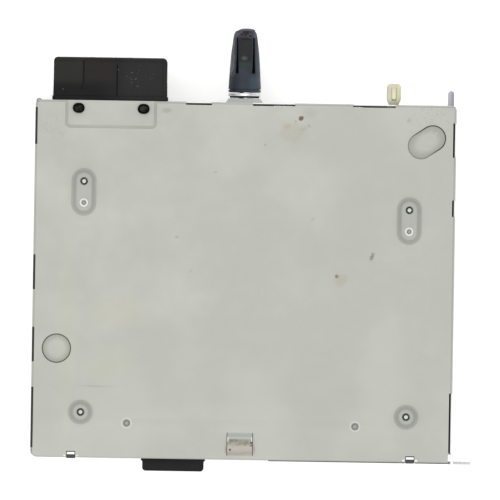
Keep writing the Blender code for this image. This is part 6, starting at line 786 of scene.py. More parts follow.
foot_gaps = [
    solid_box(mm(-92, 39.2, 2.7), mm(-87, 50.8, 10)),
    solid_box(mm(87, 39.2, 2.7), mm(92, 50.8, 10)),
]
carve(cover_shell, foot_gaps)
dress(cover_shell, cover_finish)
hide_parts("lower_cover")
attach(cover_shell, "chassis")

PANEL_FACE, HOOK_HALF = -75.4 * MM, 1.65 * MM
panel = Skin()
panel_holes = [
    rounded(-63.5 * MM, 18.5 * MM, 63.5 * MM, 25.5 * MM, 2 * MM, 6),
    rounded(-42.0 * MM, 35.5 * MM, -15.8 * MM, 45.5 * MM, 0.6 * MM, 3),
    rounded(33 * MM, 37.5 * MM, 51 * MM, 42.5 * MM, 2 * MM, 6),
]
panel_holes += [circle(x, z, 2.1 * MM, 32) for x in mm(-79, 79) for z in mm(13, 40)]
panel.field(rounded(-87.4 * MM, 1.1 * MM, 87.4 * MM, 48.9 * MM, 1.2 * MM, 4), panel_holes, -PANEL_FACE, "XZ")
panel_sheet = thicken(panel.finish("front_panel_sheet", Vector((0, -1, 0))), SHEET)
hooks = [panel_sheet]
hook_plate = Finish("polished_hook", (0.8, 0.81, 0.8), 0.5, 0.0)
hook_scuffs = hook_plate.noise(0.8, 3.0)
hook_plate.colour(hook_plate.mix(hook_scuffs, (0.72, 0.73, 0.72), (0.92, 0.93, 0.92)))
hook_plate.bump(hook_scuffs, 0.01, 0.4)
for x in HOOK_PLACES:
    hooks.append(solid_box((x - HOOK_HALF, PANEL_FACE, 48.0 * MM), (x + HOOK_HALF, -74.6 * MM, 49.3 * MM), "hook"))
    hooks.append(
        solid_box((x - HOOK_HALF, -75.2 * MM, 49.2 * MM), (x + HOOK_HALF, -74.2 * MM, 49.8 * MM), "hook", paint=2)
    )
    clip = moulded(
        "clip",
        lambda grow,
        x=x: rounded(
            x - 1.9 * MM - grow,
            -76.9 * MM - grow,
            x + 1.9 * MM + grow,
            -75.15 * MM + grow,
            0.3 * MM + max(grow, -0.25 * MM),
            3,
        ),
        [mm(-0.2, 41), (0, 41.3 * MM), (0, 49.3 * MM), mm(-0.2, 49.6)],
        "XY",
        (0, 1, 2),
        (1, 1),
    )
    hooks.append(clip)
panel_sheet = baked(merge(hooks))
clip_nylon = Finish("black_clip_nylon", (0.012, 0.012, 0.012), 0.5)
clip_grain = clip_nylon.noise(0.6, 3.0)
clip_nylon.colour(clip_nylon.mix(clip_grain, (0.012, 0.012, 0.012), (0.035, 0.035, 0.034)))
clip_nylon.bump(clip_grain, 0.01, 0.4)
dress(panel_sheet, cover_finish, clip_nylon, hook_plate)
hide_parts("front_panel")
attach(panel_sheet, "chassis")


# Mounting strip: 1 mm plated steel inside the right wall, turned outwards at the front for the dashboard's
# screw and folded back on itself at the rear into a short tongue.


def grained(name, roughness, metallic, grain, low, high, colours, relief, gloss=None, stretch=None):
    """A finish whose one grain varies its colour, its relief and, with gloss given, its roughness."""
    finish = Finish(name, colours[0], roughness, metallic)
    finish.grain = finish.noise(*grain[:3], finish.stretched(stretch) if stretch else None, *grain[3:])
    finish.tone = finish.mix(finish.ramp(finish.grain, low, high), *colours)
    finish.colour(finish.tone)
    if gloss:
        finish.rough(finish.ramp(finish.grain, 0.3, 0.7, *gloss))
    if relief:
        finish.bump(finish.grain, *relief)
    return finish


strip_greys = ((0.27, 0.265, 0.295), (0.36, 0.355, 0.385))
strip_finish = grained(
    "bright_plated_strip", 0.34, 0.6, (
        1.2, 3.0, 0.6
    ), 0.35, 0.7, strip_greys, (0.01, 0.4), (0.26, 0.42), (1, 0.08, 1)
)
# Painted shade on one side of the tongue.
tongue_side_shade = strip_finish.times(strip_finish.span("X", 87.6, 88.7), strip_finish.span("Y", 84.0, 81.6))
strip_finish.tint(tongue_side_shade, (0.20, 0.195, 0.23), 0.9)
on_flange = strip_finish.span("X", 90.0, 90.6)
strip_finish.tint(on_flange, (0.42, 0.42, 0.425))
# Painted highlight at the flange's bend.
glare = strip_finish.times(on_flange, strip_finish.span("X", 91.6, 90.8))
strip_finish.tint(glare, (0.95, 0.95, 0.95))
# Painted shadow: a black spot at the strip's bend by the front right corner.
strip_finish.tint(strip_finish.near(89.2, -75.6, 0.8, 0.3), (0.03, 0.03, 0.03))
strip_finish.colour(strip_finish.tone)
bend_x, bend_y = 89.6 * MM, -75.5 * MM
strip_path = [(98.8 * MM, bend_y - 1.7 * MM)] + [(98.8 * MM, bend_y - 0.7 * MM)]
strip_path += arc(bend_x, bend_y, 0.7 * MM, TURN * 3 / 4, TURN / 2, 8)
strip_path += [mm(88.9, 71.2), mm(87.9, 71.2)]
strip_path += arc(bend_x, bend_y, 1.7 * MM, TURN / 2, TURN * 3 / 4, 10)
main_strip = moulded("strip", lambda grow: strip_path, [(0, 14 * MM), (0, 36 * MM)], "XY")
hole_rows = [(0, 70 * MM), (0, 80 * MM)]
carve(main_strip, [moulded("strip_hole", lambda grow: circle(94.4 * MM, 25 * MM, 2.1 * MM, 40), hole_rows, "XZ")])
tongue_path = [mm(86.87, 70.9), mm(89.43, 70.9)] + arc(
    88.15 * MM, 81.82 * MM, 1.285 * MM, 0, TURN / 2, 16
)
tongue_rows = [(0, 19 * MM), (0, 31 * MM)]
tongue = moulded("tongue", lambda grow: tongue_path, tongue_rows, "XY")
strip_piece = baked(merge([main_strip, tongue]))
dress(strip_piece, strip_finish)
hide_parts("mounting_strip")
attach(strip_piece, "chassis")


# Main connector: one black glass-filled nylon moulding with a large chamber under three small ones. It is
# soldered to the board, reaches out through the rear wall, and is held through the sunken pad by two pegs.

def round_end(radius, end, steps=5):
    """Rows that close an outline with a rounded edge at a height, towards rising heights."""
    turns = [TURN / 4 * i / steps for i in range(steps + 1)]
    return [(-radius * (1 - math.cos(a)), end - radius + radius * math.sin(a)) for a in turns]


def plastic(name, colour, lighter, roughness, grain=0.35, relief=0.01, gloss=0.5):
    """Moulded plastic: a faint tone drift, a fine spark-eroded grain and uneven gloss."""
    finish = Finish(name, colour, roughness)
    drift = finish.noise(9, 3.0, 0.55)
    pores = finish.noise(grain, 2.0, 0.6)
    finish.tone = finish.mix(finish.ramp(drift, 0.35, 0.7), colour, lighter)
    finish.colour(finish.tone)
    finish.rough(finish.ramp(drift, 0.3, 0.75, roughness - 0.06, roughness + 0.08))
    finish.shader.inputs["Specular IOR Level"].default_value = gloss
    finish.bump(pores, relief, 0.5)
    return finish


PLUG_LEFT, PLUG_RIGHT, PLUG_LOW, PLUG_HIGH = -82.5 * MM, -33.9 * MM, 20.0 * MM, 45.2 * MM
PLUG_INNER, PLUG_END, PLUG_FLOOR, PLUG_WALL = 63.7 * MM, 95.05 * MM, 77.5 * MM, 1.5 * MM
PLUG_FLANGE, FLANGE_REAR = 0.5 * MM, 78.4 * MM
LARGE_LOW, LARGE_HIGH, SMALL_LOW, SMALL_HIGH = mm(21.5, 31.7, 33.2, 43.7)
plug_outline = lambda grow: rounded(
    PLUG_LEFT - grow, PLUG_LOW - grow, PLUG_RIGHT + grow, PLUG_HIGH + grow, max(0.3 * MM, 0.7 * MM + grow), 5
)
plug_rows = [(-0.4 * MM, PLUG_INNER), (0, PLUG_INNER + 0.4 * MM), (0, 76.8 * MM), (PLUG_FLANGE, 76.8 * MM)]
plug_rows += [
    (PLUG_FLANGE, FLANGE_REAR - 0.2 * MM),
    (PLUG_FLANGE - 0.2 * MM, FLANGE_REAR),
    (0.12 * MM, FLANGE_REAR + 0.1 * MM),
    (0, 86 * MM),
]
plug_rows += round_end(1.9 * MM, PLUG_END, 8)
plug = moulded("main_connector", plug_outline, [(grow, -y) for grow, y in plug_rows])
chambers = [(PLUG_LEFT + PLUG_WALL, LARGE_LOW, PLUG_RIGHT - PLUG_WALL, LARGE_HIGH)]
small_width = (PLUG_RIGHT - PLUG_LEFT - 4 * PLUG_WALL) / 3
for i in range(3):
    start = PLUG_LEFT + PLUG_WALL + i * (small_width + PLUG_WALL)
    chambers.append((start, SMALL_LOW, start + small_width, SMALL_HIGH))
tools = []
for left, low, right, high in chambers:
    hollow = lambda grow, box=(left, low, right, high): rounded(
        box[0] - grow, box[1] - grow, box[2] + grow, box[3] + grow, 0.5 * MM + grow, 3
    )
    tools.append(moulded("chamber", hollow, [(0, -PLUG_FLOOR), (0, -PLUG_END - 0.1 * MM)]))
tools.append(
    solid_box((chambers[1][0], PLUG_FLOOR, SMALL_LOW), (chambers[3][2], PLUG_FLOOR + 2.6 * MM, SMALL_HIGH))
)
for share in (1 / 3, 2 / 3):
    x = PLUG_LEFT * share + PLUG_RIGHT * (1 - share)
    tools.append(solid_box((x - 1.5 * MM, 80.1 * MM, 20.7 * MM), (x + 1.5 * MM, PLUG_END + MM, 22.3 * MM)))
RIM = 1.6 * MM
recess = (PLUG_LEFT - MM, FLANGE_REAR, PLUG_HIGH - 0.4 * MM), (PLUG_RIGHT - RIM, PLUG_END - RIM, PLUG_HIGH + MM)
tools.append(solid_box(*recess))
carve(plug, tools)
tools = []
for x, front, rear in ((-69.6 * MM, 84.5 * MM, PLUG_END - RIM), (-55.3 * MM, FLANGE_REAR, 92.0 * MM)):
    low = (x - 0.22 * MM, front, PLUG_HIGH - 0.75 * MM)
    tools.append(solid_box(low, (x + 0.22 * MM, rear, PLUG_HIGH + MM), paint=1))
slant_cut = moulded(
    "slanted_groove",
    lambda grow: obround(-69.6 * MM, 84.5 * MM, -70.6 * MM, 80.6 * MM, 0.3 * MM, 4),
    [(0, PLUG_HIGH - 0.8 * MM), (0, PLUG_HIGH + MM)],
    "XY",
)
tools.append(slant_cut)
peg_rows = [(0, PLUG_HIGH - 8 * MM), (0, PLUG_HIGH + MM)]
for x, y in peg_spots.values():
    tools.append(moulded("peg_socket", lambda grow, x=x, y=y: circle(x, y, 1.7 * MM, 24), peg_rows, "XY"))
carve(plug, tools)
latches = [solid_box((-81.9 * MM, FLANGE_REAR, 44.3 * MM), mm(-77.0, 80.7, 45.05), "latch")]
latches.append(solid_box((-49.5 * MM, FLANGE_REAR, 44.3 * MM), mm(-36.5, 79.0, 45.0), "latch"))
plug = merge([plug, *latches])
plug.data.shade_smooth()
plug.data.set_sharp_from_angle(angle=math.radians(30))

black_nylon = plastic("black_glass_filled_nylon", (0.0095, 0.009, 0.009), (0.0145, 0.0138, 0.014), 0.45, gloss=0.1)
plug_nylon = plastic("black_plug_nylon", (0.0085, 0.0085, 0.0088), (0.0125, 0.0122, 0.0123), 0.45, gloss=0.1)
brownish = plug_nylon.times(
    plug_nylon.span("X", -75, -71), plug_nylon.span("X", -53, -58)
)
brownish = plug_nylon.times(brownish, plug_nylon.span("Y", 82, 87))
plug_nylon.tint(brownish, (0.0165, 0.013, 0.0128), 0.8)
olive_end = plug_nylon.times(plug_nylon.span("X", -69.5, -71.5), plug_nylon.span("Y", 82, 86))
plug_nylon.tint(olive_end, (0.0185, 0.0185, 0.016), 0.8)
paler = plug_nylon.span("X", -57, -50)
plug_nylon.tint(paler, (0.0175, 0.0175, 0.0175), 0.8)
# Painted shadow over the top, darker towards its front and left.
shaded = plug_nylon.times(
    plug_nylon.span("Y", 86, 81), plug_nylon.span("X", -56, -64)
)
plug_nylon.tint(shaded, (0.004, 0.004, 0.004), 0.75)
specks = plug_nylon.add("ShaderNodeTexVoronoi", {"Vector": plug_nylon.place, "Scale": 1000.0})
speck = plug_nylon.ramp(specks.outputs["Distance"], 0.34, 0.2)
dusty = plug_nylon.near(-47.3, 87, 1.2, 1.6, 1.2)
dusty_tail = plug_nylon.times(
    plug_nylon.ramp(plug_nylon.noise(2.2, 2.0), 0.5, 0.64), plug_nylon.near(-46.5, 86, 6, 4)
)
dust_mask = plug_nylon.times(speck, plug_nylon.times(dusty, dusty_tail, "MAXIMUM"))
plug_nylon.tint(dust_mask, (0.14, 0.14, 0.135), 0.6)
for x, y, size in ((-78.4, 81.2, 0.2), (-54.9, 89.8, 0.2)):
    fleck = plug_nylon.near(x, y, size, 0.12, 0.15)
    plug_nylon.tint(fleck, (0.2, 0.2, 0.2), 0.5)
plug_nylon.colour(plug_nylon.tone)
# Painted shade: the grooves' cut faces take a darker finish.
groove_shade = plastic("groove_painted_shade", (0.007, 0.0062, 0.0064), (0.010, 0.009, 0.0093), 0.7, gloss=0.05)
dress(plug, plug_nylon, groove_shade)
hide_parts("main_connector_housing")
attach(plug, "chassis")
dress_nodes(black_nylon, "disc_guide", "turntable")


# Connector contacts: tinned brass blades and square pins, pressed through black strips that stand on the
# chamber floors. The power chamber has two rows of blades, the small ones share one strip of pins.

class Pattern:
    """A Geometry Nodes tree with named inputs, evaluated into plain meshes."""

    def __init__(self, name):
        self.tree = bpy.data.node_groups.new(name, "GeometryNodeTree")
        self.tree.interface.new_socket("Points", in_out="INPUT", socket_type="NodeSocketGeometry")
        self.tree.interface.new_socket("Geometry", in_out="OUTPUT", socket_type="NodeSocketGeometry")
        self.entry = self.tree.nodes.new("NodeGroupInput")
        self.exit = self.tree.nodes.new("NodeGroupOutput")
        self.sockets = {}

    def given(self, name, kind="Float"):
        self.sockets[name] = self.tree.interface.new_socket(name, in_out="INPUT", socket_type="NodeSocket" + kind)
        return self.entry.outputs[name]

    def add(self, kind, inputs=(), **settings):
        node = self.tree.nodes.new(kind)
        for key, value in settings.items():
            setattr(node, key, value)
        for key, value in dict(inputs).items():
            if isinstance(value, bpy.types.NodeSocket):
                self.tree.links.new(value, node.inputs[key])
            else:
                node.inputs[key].default_value = value
        return node.outputs[0]

    def sum(self, a, b, operation="ADD"):
        return self.add("ShaderNodeMath", {0: a, 1: b}, operation=operation)

    def point(self, x=0.0, y=0.0, z=0.0):
        return self.add("ShaderNodeCombineXYZ", {"X": x, "Y": y, "Z": z})

    def moved(self, geometry, place=None, turn=(0, 0, 0)):
        inputs = {"Geometry": geometry, "Rotation": turn}
        if place is not None:
            inputs["Translation"] = place
        return self.add("GeometryNodeTransform", inputs)

    def joined(self, *parts):
        node = self.tree.nodes.new("GeometryNodeJoinGeometry")
        for part in reversed(parts):
            self.tree.links.new(part, node.inputs[0])
        return node.outputs[0]

    def close(self, geometry, finish):
        """Ends the tree: the instances become real and take the finish."""
        real = self.add("GeometryNodeRealizeInstances", {"Geometry": geometry})
        painted = self.add("GeometryNodeSetMaterial", {"Geometry": real})
        painted.node.inputs["Material"].default_value = finish.material
        self.tree.links.new(painted, self.exit.inputs[0])

    def make(self, name, spots, **values):
        """One mesh with a copy at each spot; the values are named like the inputs, with _ for a space."""
        data = bpy.data.meshes.new(name)
        data.from_pydata([tuple(spot) for spot in spots], [], [])
        piece = bpy.data.objects.new(name, data)
        bpy.context.scene.collection.objects.link(piece)
        change = piece.modifiers.new("pattern", "NODES")
        change.node_group = self.tree
        for key, value in values.items():
            change[self.sockets[key.replace("_", " ")].identifier] = value
        return baked(piece)


tinned = grained(
    "tinned_contacts", 0.28, 0.9, (0.8, 3.0, 0.5), 0.35, 0.7, ((0.58, 0.56, 0.48), (0.74, 0.72, 0.66)), (0.01, 0.4)
)

pins = Pattern("contact_pin")
pin_wide, pin_tall, pin_long, pin_tip = (pins.given(name) for name in ("width", "height", "length", "tip"))
shaft = pins.add(
    "GeometryNodeMeshCube", {"Size": pins.point(pin_wide, pins.sum(pin_long, pin_tip, "SUBTRACT"), pin_tall)}
)
shaft = pins.moved(shaft, pins.point(0.0, pins.sum(pins.sum(pin_long, pin_tip, "SUBTRACT"), 0.5, "MULTIPLY"), 0.0))
point_cone = pins.add(
    "GeometryNodeMeshCone", {"Vertices": 4, "Radius Top": 0.35, "Radius Bottom": 0.5 * math.sqrt(2), "Depth": 1.0}
)
point_cone = pins.moved(point_cone, None, (0, 0, TURN / 8))
point_cone = pins.moved(point_cone, None, (-TURN / 4, 0, 0))
point_cone = pins.add(
    "GeometryNodeTransform", {"Geometry": point_cone, "Scale": pins.point(pin_wide, pin_tip, pin_tall)}
)
point_cone = pins.moved(point_cone, pins.point(0.0, pins.sum(pin_long, pin_tip, "SUBTRACT"), 0.0))
one_pin = pins.joined(shaft, point_cone)
standing = pins.add("GeometryNodeInstanceOnPoints", {"Points": pins.entry.outputs["Points"], "Instance": one_pin})
pins.close(standing, tinned)


def header(name, node, box, floor, facing, columns, rows, width, height, length):
    """A black strip at a chamber's floor with rows of tinned contacts."""
    left, low, right, high = box
    near, far = floor + facing * 0.3 * MM, floor + facing * 2.3 * MM
    strip = moulded(
        name + "_strip",
        lambda grow: rounded(
            left + 0.3 * MM - grow,
            low + 0.3 * MM - grow,
            right - 0.3 * MM + grow,
            high - 0.3 * MM + grow,
            0.4 * MM,
            3,
        ),
        [(0, -min(near, far)), (0, -max(near, far))],
    )
    baked(strip)
    dress(strip, black_nylon)
    spots = []
    for i in range(columns):
        for j in range(rows):
            x = left + (right - left) * (i + 0.5) / columns
            spots.append((x, 0, low + (high - low) * (j + 0.5) / rows))
    contacts = pins.make(name, spots, width=width, height=height, length=length, tip=0.6 * MM)
    if facing < 0:
        contacts.data.transform(Matrix.Rotation(TURN / 2, 4, "Z") @ Matrix.Translation((-left - right, 0, 0)))
    contacts.data.transform(Matrix.Translation((0, near + facing * MM, 0)))
    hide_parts(node)
    for piece, slot in ((contacts, "contact_tin"), (strip, "black_nylon")):
        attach(piece, "chassis")


header("power_blades", "power_pin_header", chambers[0], PLUG_FLOOR, 1, 8, 2, 0.8 * MM, 2.2 * MM, 9.2 * MM)
strip_box = (chambers[1][0], SMALL_LOW, chambers[3][2], SMALL_HIGH)
header("signal_pins", "signal_pin_header", strip_box, PLUG_FLOOR, 1, 12, 2, 0.8 * MM, 0.8 * MM, 6.0 * MM)
dress_nodes(tinned, "aerial_pin")


# Connector pegs: two black nylon pegs with dished and crumpled heads. They are pushed through the pad into
# the connector housing and hold it to the case.

PEG_FOOT, PEG_TOP, PEG_SEAT = 37.5 * MM, 50.4 * MM, 49.3 * MM
peg_nylon = plastic("black_peg_nylon", (0.0015, 0.0017, 0.0012), (0.003, 0.0032, 0.0024), 0.5, gloss=0.04)
peg_core = plastic("crumpled_peg_core", (0.010, 0.011, 0.008), (0.03, 0.033, 0.023), 0.7, 0.8, 0.25, gloss=0.05)
creases = peg_core.ramp(peg_core.noise(1.1, 3.0, 0.6, distort=1.2), 0.42, 0.6)
peg_core.colour(peg_core.mix(creases, (0.005, 0.006, 0.004), (0.032, 0.036, 0.024)))
for side, (x, y) in peg_spots.items():
    head = lambda grow, x=x, y=y: obround(x - 0.4 * MM, y, x + 0.4 * MM, y, 2.15 * MM + grow, 20)
    rows = [
        (-0.15 * MM, PEG_SEAT),
        (0, PEG_SEAT + 0.15 * MM),
        (0, PEG_TOP - 0.45 * MM),
        (-0.12 * MM, PEG_TOP - 0.15 * MM),
    ]
    rows += [
        (-0.4 * MM, PEG_TOP),
        (-0.62 * MM, PEG_TOP),
        (-0.8 * MM, PEG_TOP - 0.15 * MM),
        (-0.9 * MM, PEG_TOP - 0.35 * MM),
    ]
    cap = moulded("peg_head", head, rows, "XY", caps=(0, 1))
    shank = lambda grow, x=x, y=y: circle(x, y, 1.4 * MM + grow, 24)
    stem_rows = [(-0.5 * MM, PEG_FOOT), (0, PEG_FOOT + 0.8 * MM), (0, PEG_SEAT + 0.1 * MM)]
    stem = moulded("connector_peg_" + side + "_moulding", shank, stem_rows, "XY")
    peg = baked(merge([stem, cap]))
    dress(peg, peg_nylon, peg_core)
    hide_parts("connector_peg_" + side)
    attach(peg, "chassis")


# Aerial socket: cream nylon with a locating rib on top, standing through the rear wall. A brass sleeve
# lines its bore round a tinned centre pin.

SOCKET_X, SOCKET_HALF, SOCKET_LOW, SOCKET_HIGH = mm(63.4, 3.05, 35.6, 44.8)
socket_outline = lambda grow: rounded(
    SOCKET_X - SOCKET_HALF - grow,
    SOCKET_LOW - grow,
    SOCKET_X + SOCKET_HALF + grow,
    SOCKET_HIGH + grow,
    1.5 * MM + grow,
    6,
)
socket_rows = [
    mm(-0.5, 71.6),
    (0, 72.1 * MM),
    (0, 75.4 * MM),
    mm(-1.0, 76.6),
    mm(-0.8, 77.2),
    mm(-0.3, 78.1),
    (0, 79.3 * MM),
]
socket_rows += round_end(1.7 * MM, 85.75 * MM, 8)
socket = moulded("aerial_moulding", socket_outline, [(grow, -y) for grow, y in socket_rows])
mouth = lambda grow: circle(SOCKET_X, 40.2 * MM, 2.15 * MM + grow, 40)
throat = moulded("throat", mouth, [(0, -76.2 * MM), (0, -84.9 * MM), mm(0.4, -85.5)])
step = solid_box((SOCKET_X - 0.9 * MM, 78.3 * MM, 44.45 * MM), (SOCKET_X + 0.9 * MM, 79.0 * MM, 46 * MM), paint=1)
gutters = [
    solid_box(
        (SOCKET_X + x - 0.18 * MM, 78.6 * MM, 44.5 * MM), (SOCKET_X + x + 0.18 * MM, 84.0 * MM, 46 * MM), paint=0
    )
    for x in mm(-1.12, 1.12)
]
carve(socket, [merge([throat, step, *gutters])])
key_outline = lambda grow: rounded(
    SOCKET_X - 0.9 * MM - grow, 78.8 * MM - grow, SOCKET_X + 0.9 * MM + grow, 83.6 * MM + grow, 0.7 * MM + grow, 4
)
key_rib = moulded(
    "key_rib", key_outline, [(0, 44.4 * MM), (0, 45.2 * MM), mm(-0.12, 45.42), mm(-0.3, 45.5)], "XY"
)
socket = baked(merge([socket, baked(key_rib)]), 45)
cream_nylon = plastic("cream_nylon", (0.50, 0.485, 0.345), (0.58, 0.565, 0.42), 0.42)
on_key = cream_nylon.span("Z", 44.9, 45.3)
beside_key = cream_nylon.times(
    cream_nylon.ramp(
        cream_nylon.times(cream_nylon.axis("X"), SOCKET_X + 2.6 * MM, "SUBTRACT"), -1.6 * MM, -0.4 * MM
    ),
    cream_nylon.span("Y", 79, 82),
)
cream_nylon.tint(beside_key, (0.60, 0.59, 0.33), 0.6)
on_key = cream_nylon.times(on_key, cream_nylon.span("Y", 84.5, 80.5, 0.3, 1.0))
cream_nylon.tint(on_key, (0.62, 0.605, 0.425))
cream_nylon.colour(cream_nylon.tone)
# Painted shade: the step behind the key takes a dark olive finish.
olive_shade = plastic("olive_step", (0.26, 0.25, 0.14), (0.34, 0.32, 0.19), 0.6)
dress(socket, cream_nylon, olive_shade)
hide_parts("aerial_socket")
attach(socket, "chassis")
brass = grained(
    "turned_brass", 0.28, 1.0, (0.3, 2.0, 0.5), 0.3, 0.7, ((0.60, 0.42, 0.17), (0.74, 0.57, 0.28)), (0.01, 0.4)
)
dress_nodes(brass, "aerial_ferrule", "motor_pulley")


# Locating stud: bright-plated steel, riveted through a collar pressed out of the rear wall. A bright ring
# stands behind a slotted rubber boot that centres the unit in the dashboard.

STUD_Z, BOOT_START, BOOT_END, BOOT_RADIUS = 25 * MM, 81.1 * MM, 108.65 * MM, 7.0 * MM
bright_greys = ((0.70, 0.70, 0.69), (0.86, 0.86, 0.85))
bright = grained(
    "bright_plated_steel", 0.2, 0.95, (2.5, 3.0, 0.5), 0.35, 0.7, bright_greys, (0.01, 0.3), (0.16, 0.28)
)
dress_nodes(bright, "rear_stud", "guide_rod_main", "guide_rod_second", "lead_screw", "roller_shaft")

around = lambda radius: circle(STUD_SHIFT if radius > 4 * MM else 0, STUD_Z, radius, 96)
ring_rows = [
    (3.8, 80.8),
    (6.6, 80.8),
    (6.85, 80.72),
    (7.0, 80.5),
    (7.0, 79.6),
    (6.9, 79.45),
    (6.3, 79.4),
    (6.3, 78.75),
    (3.8, 78.75),
    (3.8, 80.8),
]
ring_skin = Skin()
ring_skin.pressing(around, [(radius * MM, -y * MM) for radius, y in ring_rows], 0, "XZ", painted=(5, 6, 7))
stud_ring = baked(ring_skin.finish("polished_ring", Vector((0, 0, 1))))
ring_greys = ((0.60, 0.61, 0.60), (0.82, 0.83, 0.82))
ring_plate = grained(
    "polished_ring_plate", 0.3, 0.6, (
        2.2, 2.0, 0.5
    ), 0.35, 0.65, ring_greys, (0.01, 0.3), (0.26, 0.36), (0.12, 2.5, 1)
)
# Painted shadow: the neck between ring and collar is near black.
ring_gap = plastic("ring_gap_shadow", (0.012, 0.014, 0.013), (0.02, 0.022, 0.021), 0.7, gloss=0.05)
dress(stud_ring, ring_plate, ring_gap)
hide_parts("stud_ring")
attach(stud_ring, "chassis")

boot_shares = (
    (0.065, 0.998), (0.12, 0.986), (0.20, 0.968), (0.344, 0.937), (0.5, 0.893), (0.6, 0.862), (0.674, 0.832)
)
boot_shares += (
    (0.76, 0.786), (0.82, 0.757), (0.866, 0.735), (0.905, 0.704), (0.935, 0.662), (0.955, 0.60), (0.972, 0.52)
)
boot_shares += ((0.984, 0.44), (0.993, 0.35), (0.998, 0.25), (1.0, 0.14))
boot_rows = [
    mm(3.8, 103.3), (3.8 * MM, BOOT_START), (6.5 * MM, BOOT_START), (BOOT_RADIUS, BOOT_START + 0.3 * MM)
]
boot_rows += [
    (BOOT_RADIUS, BOOT_START + 0.95 * MM), (6.55 * MM, BOOT_START + 1.0 * MM), (6.55 * MM, BOOT_START + 1.35 * MM)
]
boot_rows += [(BOOT_RADIUS, BOOT_START + 1.4 * MM)]
boot_rows += [(BOOT_RADIUS * wide, BOOT_START + (BOOT_END - BOOT_START) * far) for far, wide in boot_shares]
boot = moulded("boot_moulding", around, [(radius, -y) for radius, y in boot_rows])
tools = []
for side in (-1, 1):
    for x, wide in (mm(-3.55, 0.62), mm(3.45, 0.75)):
        sides = [
            (x - wide, 89.2 * MM),
            (x + wide, 89.2 * MM),
            (x + wide * 0.6, 96 * MM),
            (x + wide * 0.45, 104.6 * MM),
            (x - wide * 0.45, 104.6 * MM),
            (x - wide * 0.6, 96 * MM),
        ]
        rows = sorted((STUD_Z + side * 2.6 * MM, STUD_Z + side * 8 * MM))
        tools.append(
            moulded(
                "boot_slot",
                lambda grow,
                sides=sides: [(a + STUD_SHIFT, b) for a, b in sides],
                [(0, rows[0]), (0, rows[1])],
                "XY",
                (0,),
                (1, 1),
            )
        )
    edge, deep = STUD_Z + side * 5.95 * MM, STUD_Z + side * 4.3 * MM
    above = STUD_Z + side * 8 * MM
    wedge = [(91.2 * MM, edge), (104.0 * MM, deep), (104.8 * MM, above), (91.2 * MM, above)]
    tools.append(
        moulded(
            "panel", lambda grow, wedge=wedge: wedge, [(0, STUD_SHIFT - 2.7 * MM), (0, STUD_SHIFT + 2.7 * MM)], "YZ"
        )
    )
carve(boot, tools)
boot.data.transform(
    Matrix.Translation((0, 0, STUD_Z)) @ Matrix.Rotation(0.05, 4, "Y") @ Matrix.Translation((0, 0, -STUD_Z))
)
rubber = Finish("boot_rubber", (0.035, 0.045, 0.062), 0.5)
rubber.shader.inputs["Specular IOR Level"].default_value = 0.2
bloom = rubber.noise(4.5, 4.0, 0.6)
rubber.tone = rubber.mix(rubber.ramp(bloom, 0.35, 0.7), (0.022, 0.027, 0.036), (0.028, 0.038, 0.050))
bluish = rubber.times(rubber.ramp(rubber.axis("X"), 0.0, 3.2 * MM), rubber.span("Y", 90, 86))
rubber.tint(bluish, (0.042, 0.068, 0.088), 0.8)
flank = rubber.times(rubber.span("X", 3.6, 4.6), rubber.span("Y", 104, 100))
rubber.tint(flank, (0.052, 0.058, 0.078), 0.7)
between = rubber.times(
    rubber.ramp(rubber.times(rubber.axis("X"), -STUD_SHIFT, "ADD"), 3.0 * MM, 2.5 * MM),
    rubber.span("X", -3.7, -3.1),
)
dusky = rubber.times(between, rubber.span("Y", 92.6, 95.0))
rubber.tint(dusky, (0.0095, 0.0085, 0.008), 0.85)
mossy = rubber.times(between, rubber.times(rubber.span("Y", 91.0, 91.9), rubber.span("Y", 94.4, 93.2)))
rubber.tint(mossy, (0.017, 0.030, 0.026), 0.8)
# Painted highlight: a pale spot on the panel between the slots.
highlight_spot = rubber.near(-0.9, 95.8, 0.7, 0.6, 0.5, 1.4)
rubber.tint(highlight_spot, (0.10, 0.10, 0.105), 0.6)
tip_smudge = rubber.times(rubber.ramp(rubber.noise(1.6, 3.0, 0.6), 0.45, 0.62), rubber.span("Y", 103.4, 105.4))
rubber.tint(tip_smudge, (0.105, 0.095, 0.125), 0.55)
tip_rim = rubber.times(rubber.span("Y", 107.5, 108.1), rubber.ramp(bloom, 0.3, 0.6))
rubber.tint(tip_rim, (0.12, 0.12, 0.12), 0.7)
chalk_grain = rubber.ramp(rubber.noise(1.0, 3.0, 0.6, rubber.stretched((1, 0.35, 1))), 0.38, 0.6)
left_chalk = rubber.times(rubber.span("X", -4.6, -5.6), chalk_grain)
left_chalk = rubber.times(left_chalk, rubber.span("Y", 87, 90))
rubber.tint(left_chalk, (0.15, 0.152, 0.158), 0.75)
rubber.colour(rubber.tone)
rubber.rough(rubber.ramp(bloom, 0.3, 0.7, 0.42, 0.6))
rubber.bump(rubber.noise(0.5, 3.0), 0.02, 0.5)
rubber.bump(rubber.noise(3.0, 3.0, 0.6), 0.15, 0.4)
# Painted shadow: the slots' cut faces are near black.
slot_shadow_rubber = plastic("slot_shadow_rubber", (0.004, 0.0042, 0.006), (0.008, 0.0085, 0.011), 0.7, 1.6, 0.05, 0.05)
dress(boot, rubber, slot_shadow_rubber)
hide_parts("rubber_boot")
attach(boot, "chassis")


# Front connector: a black nylon housing that stands proud of the front edge for the face plate, with two
# rows of short pins inside.

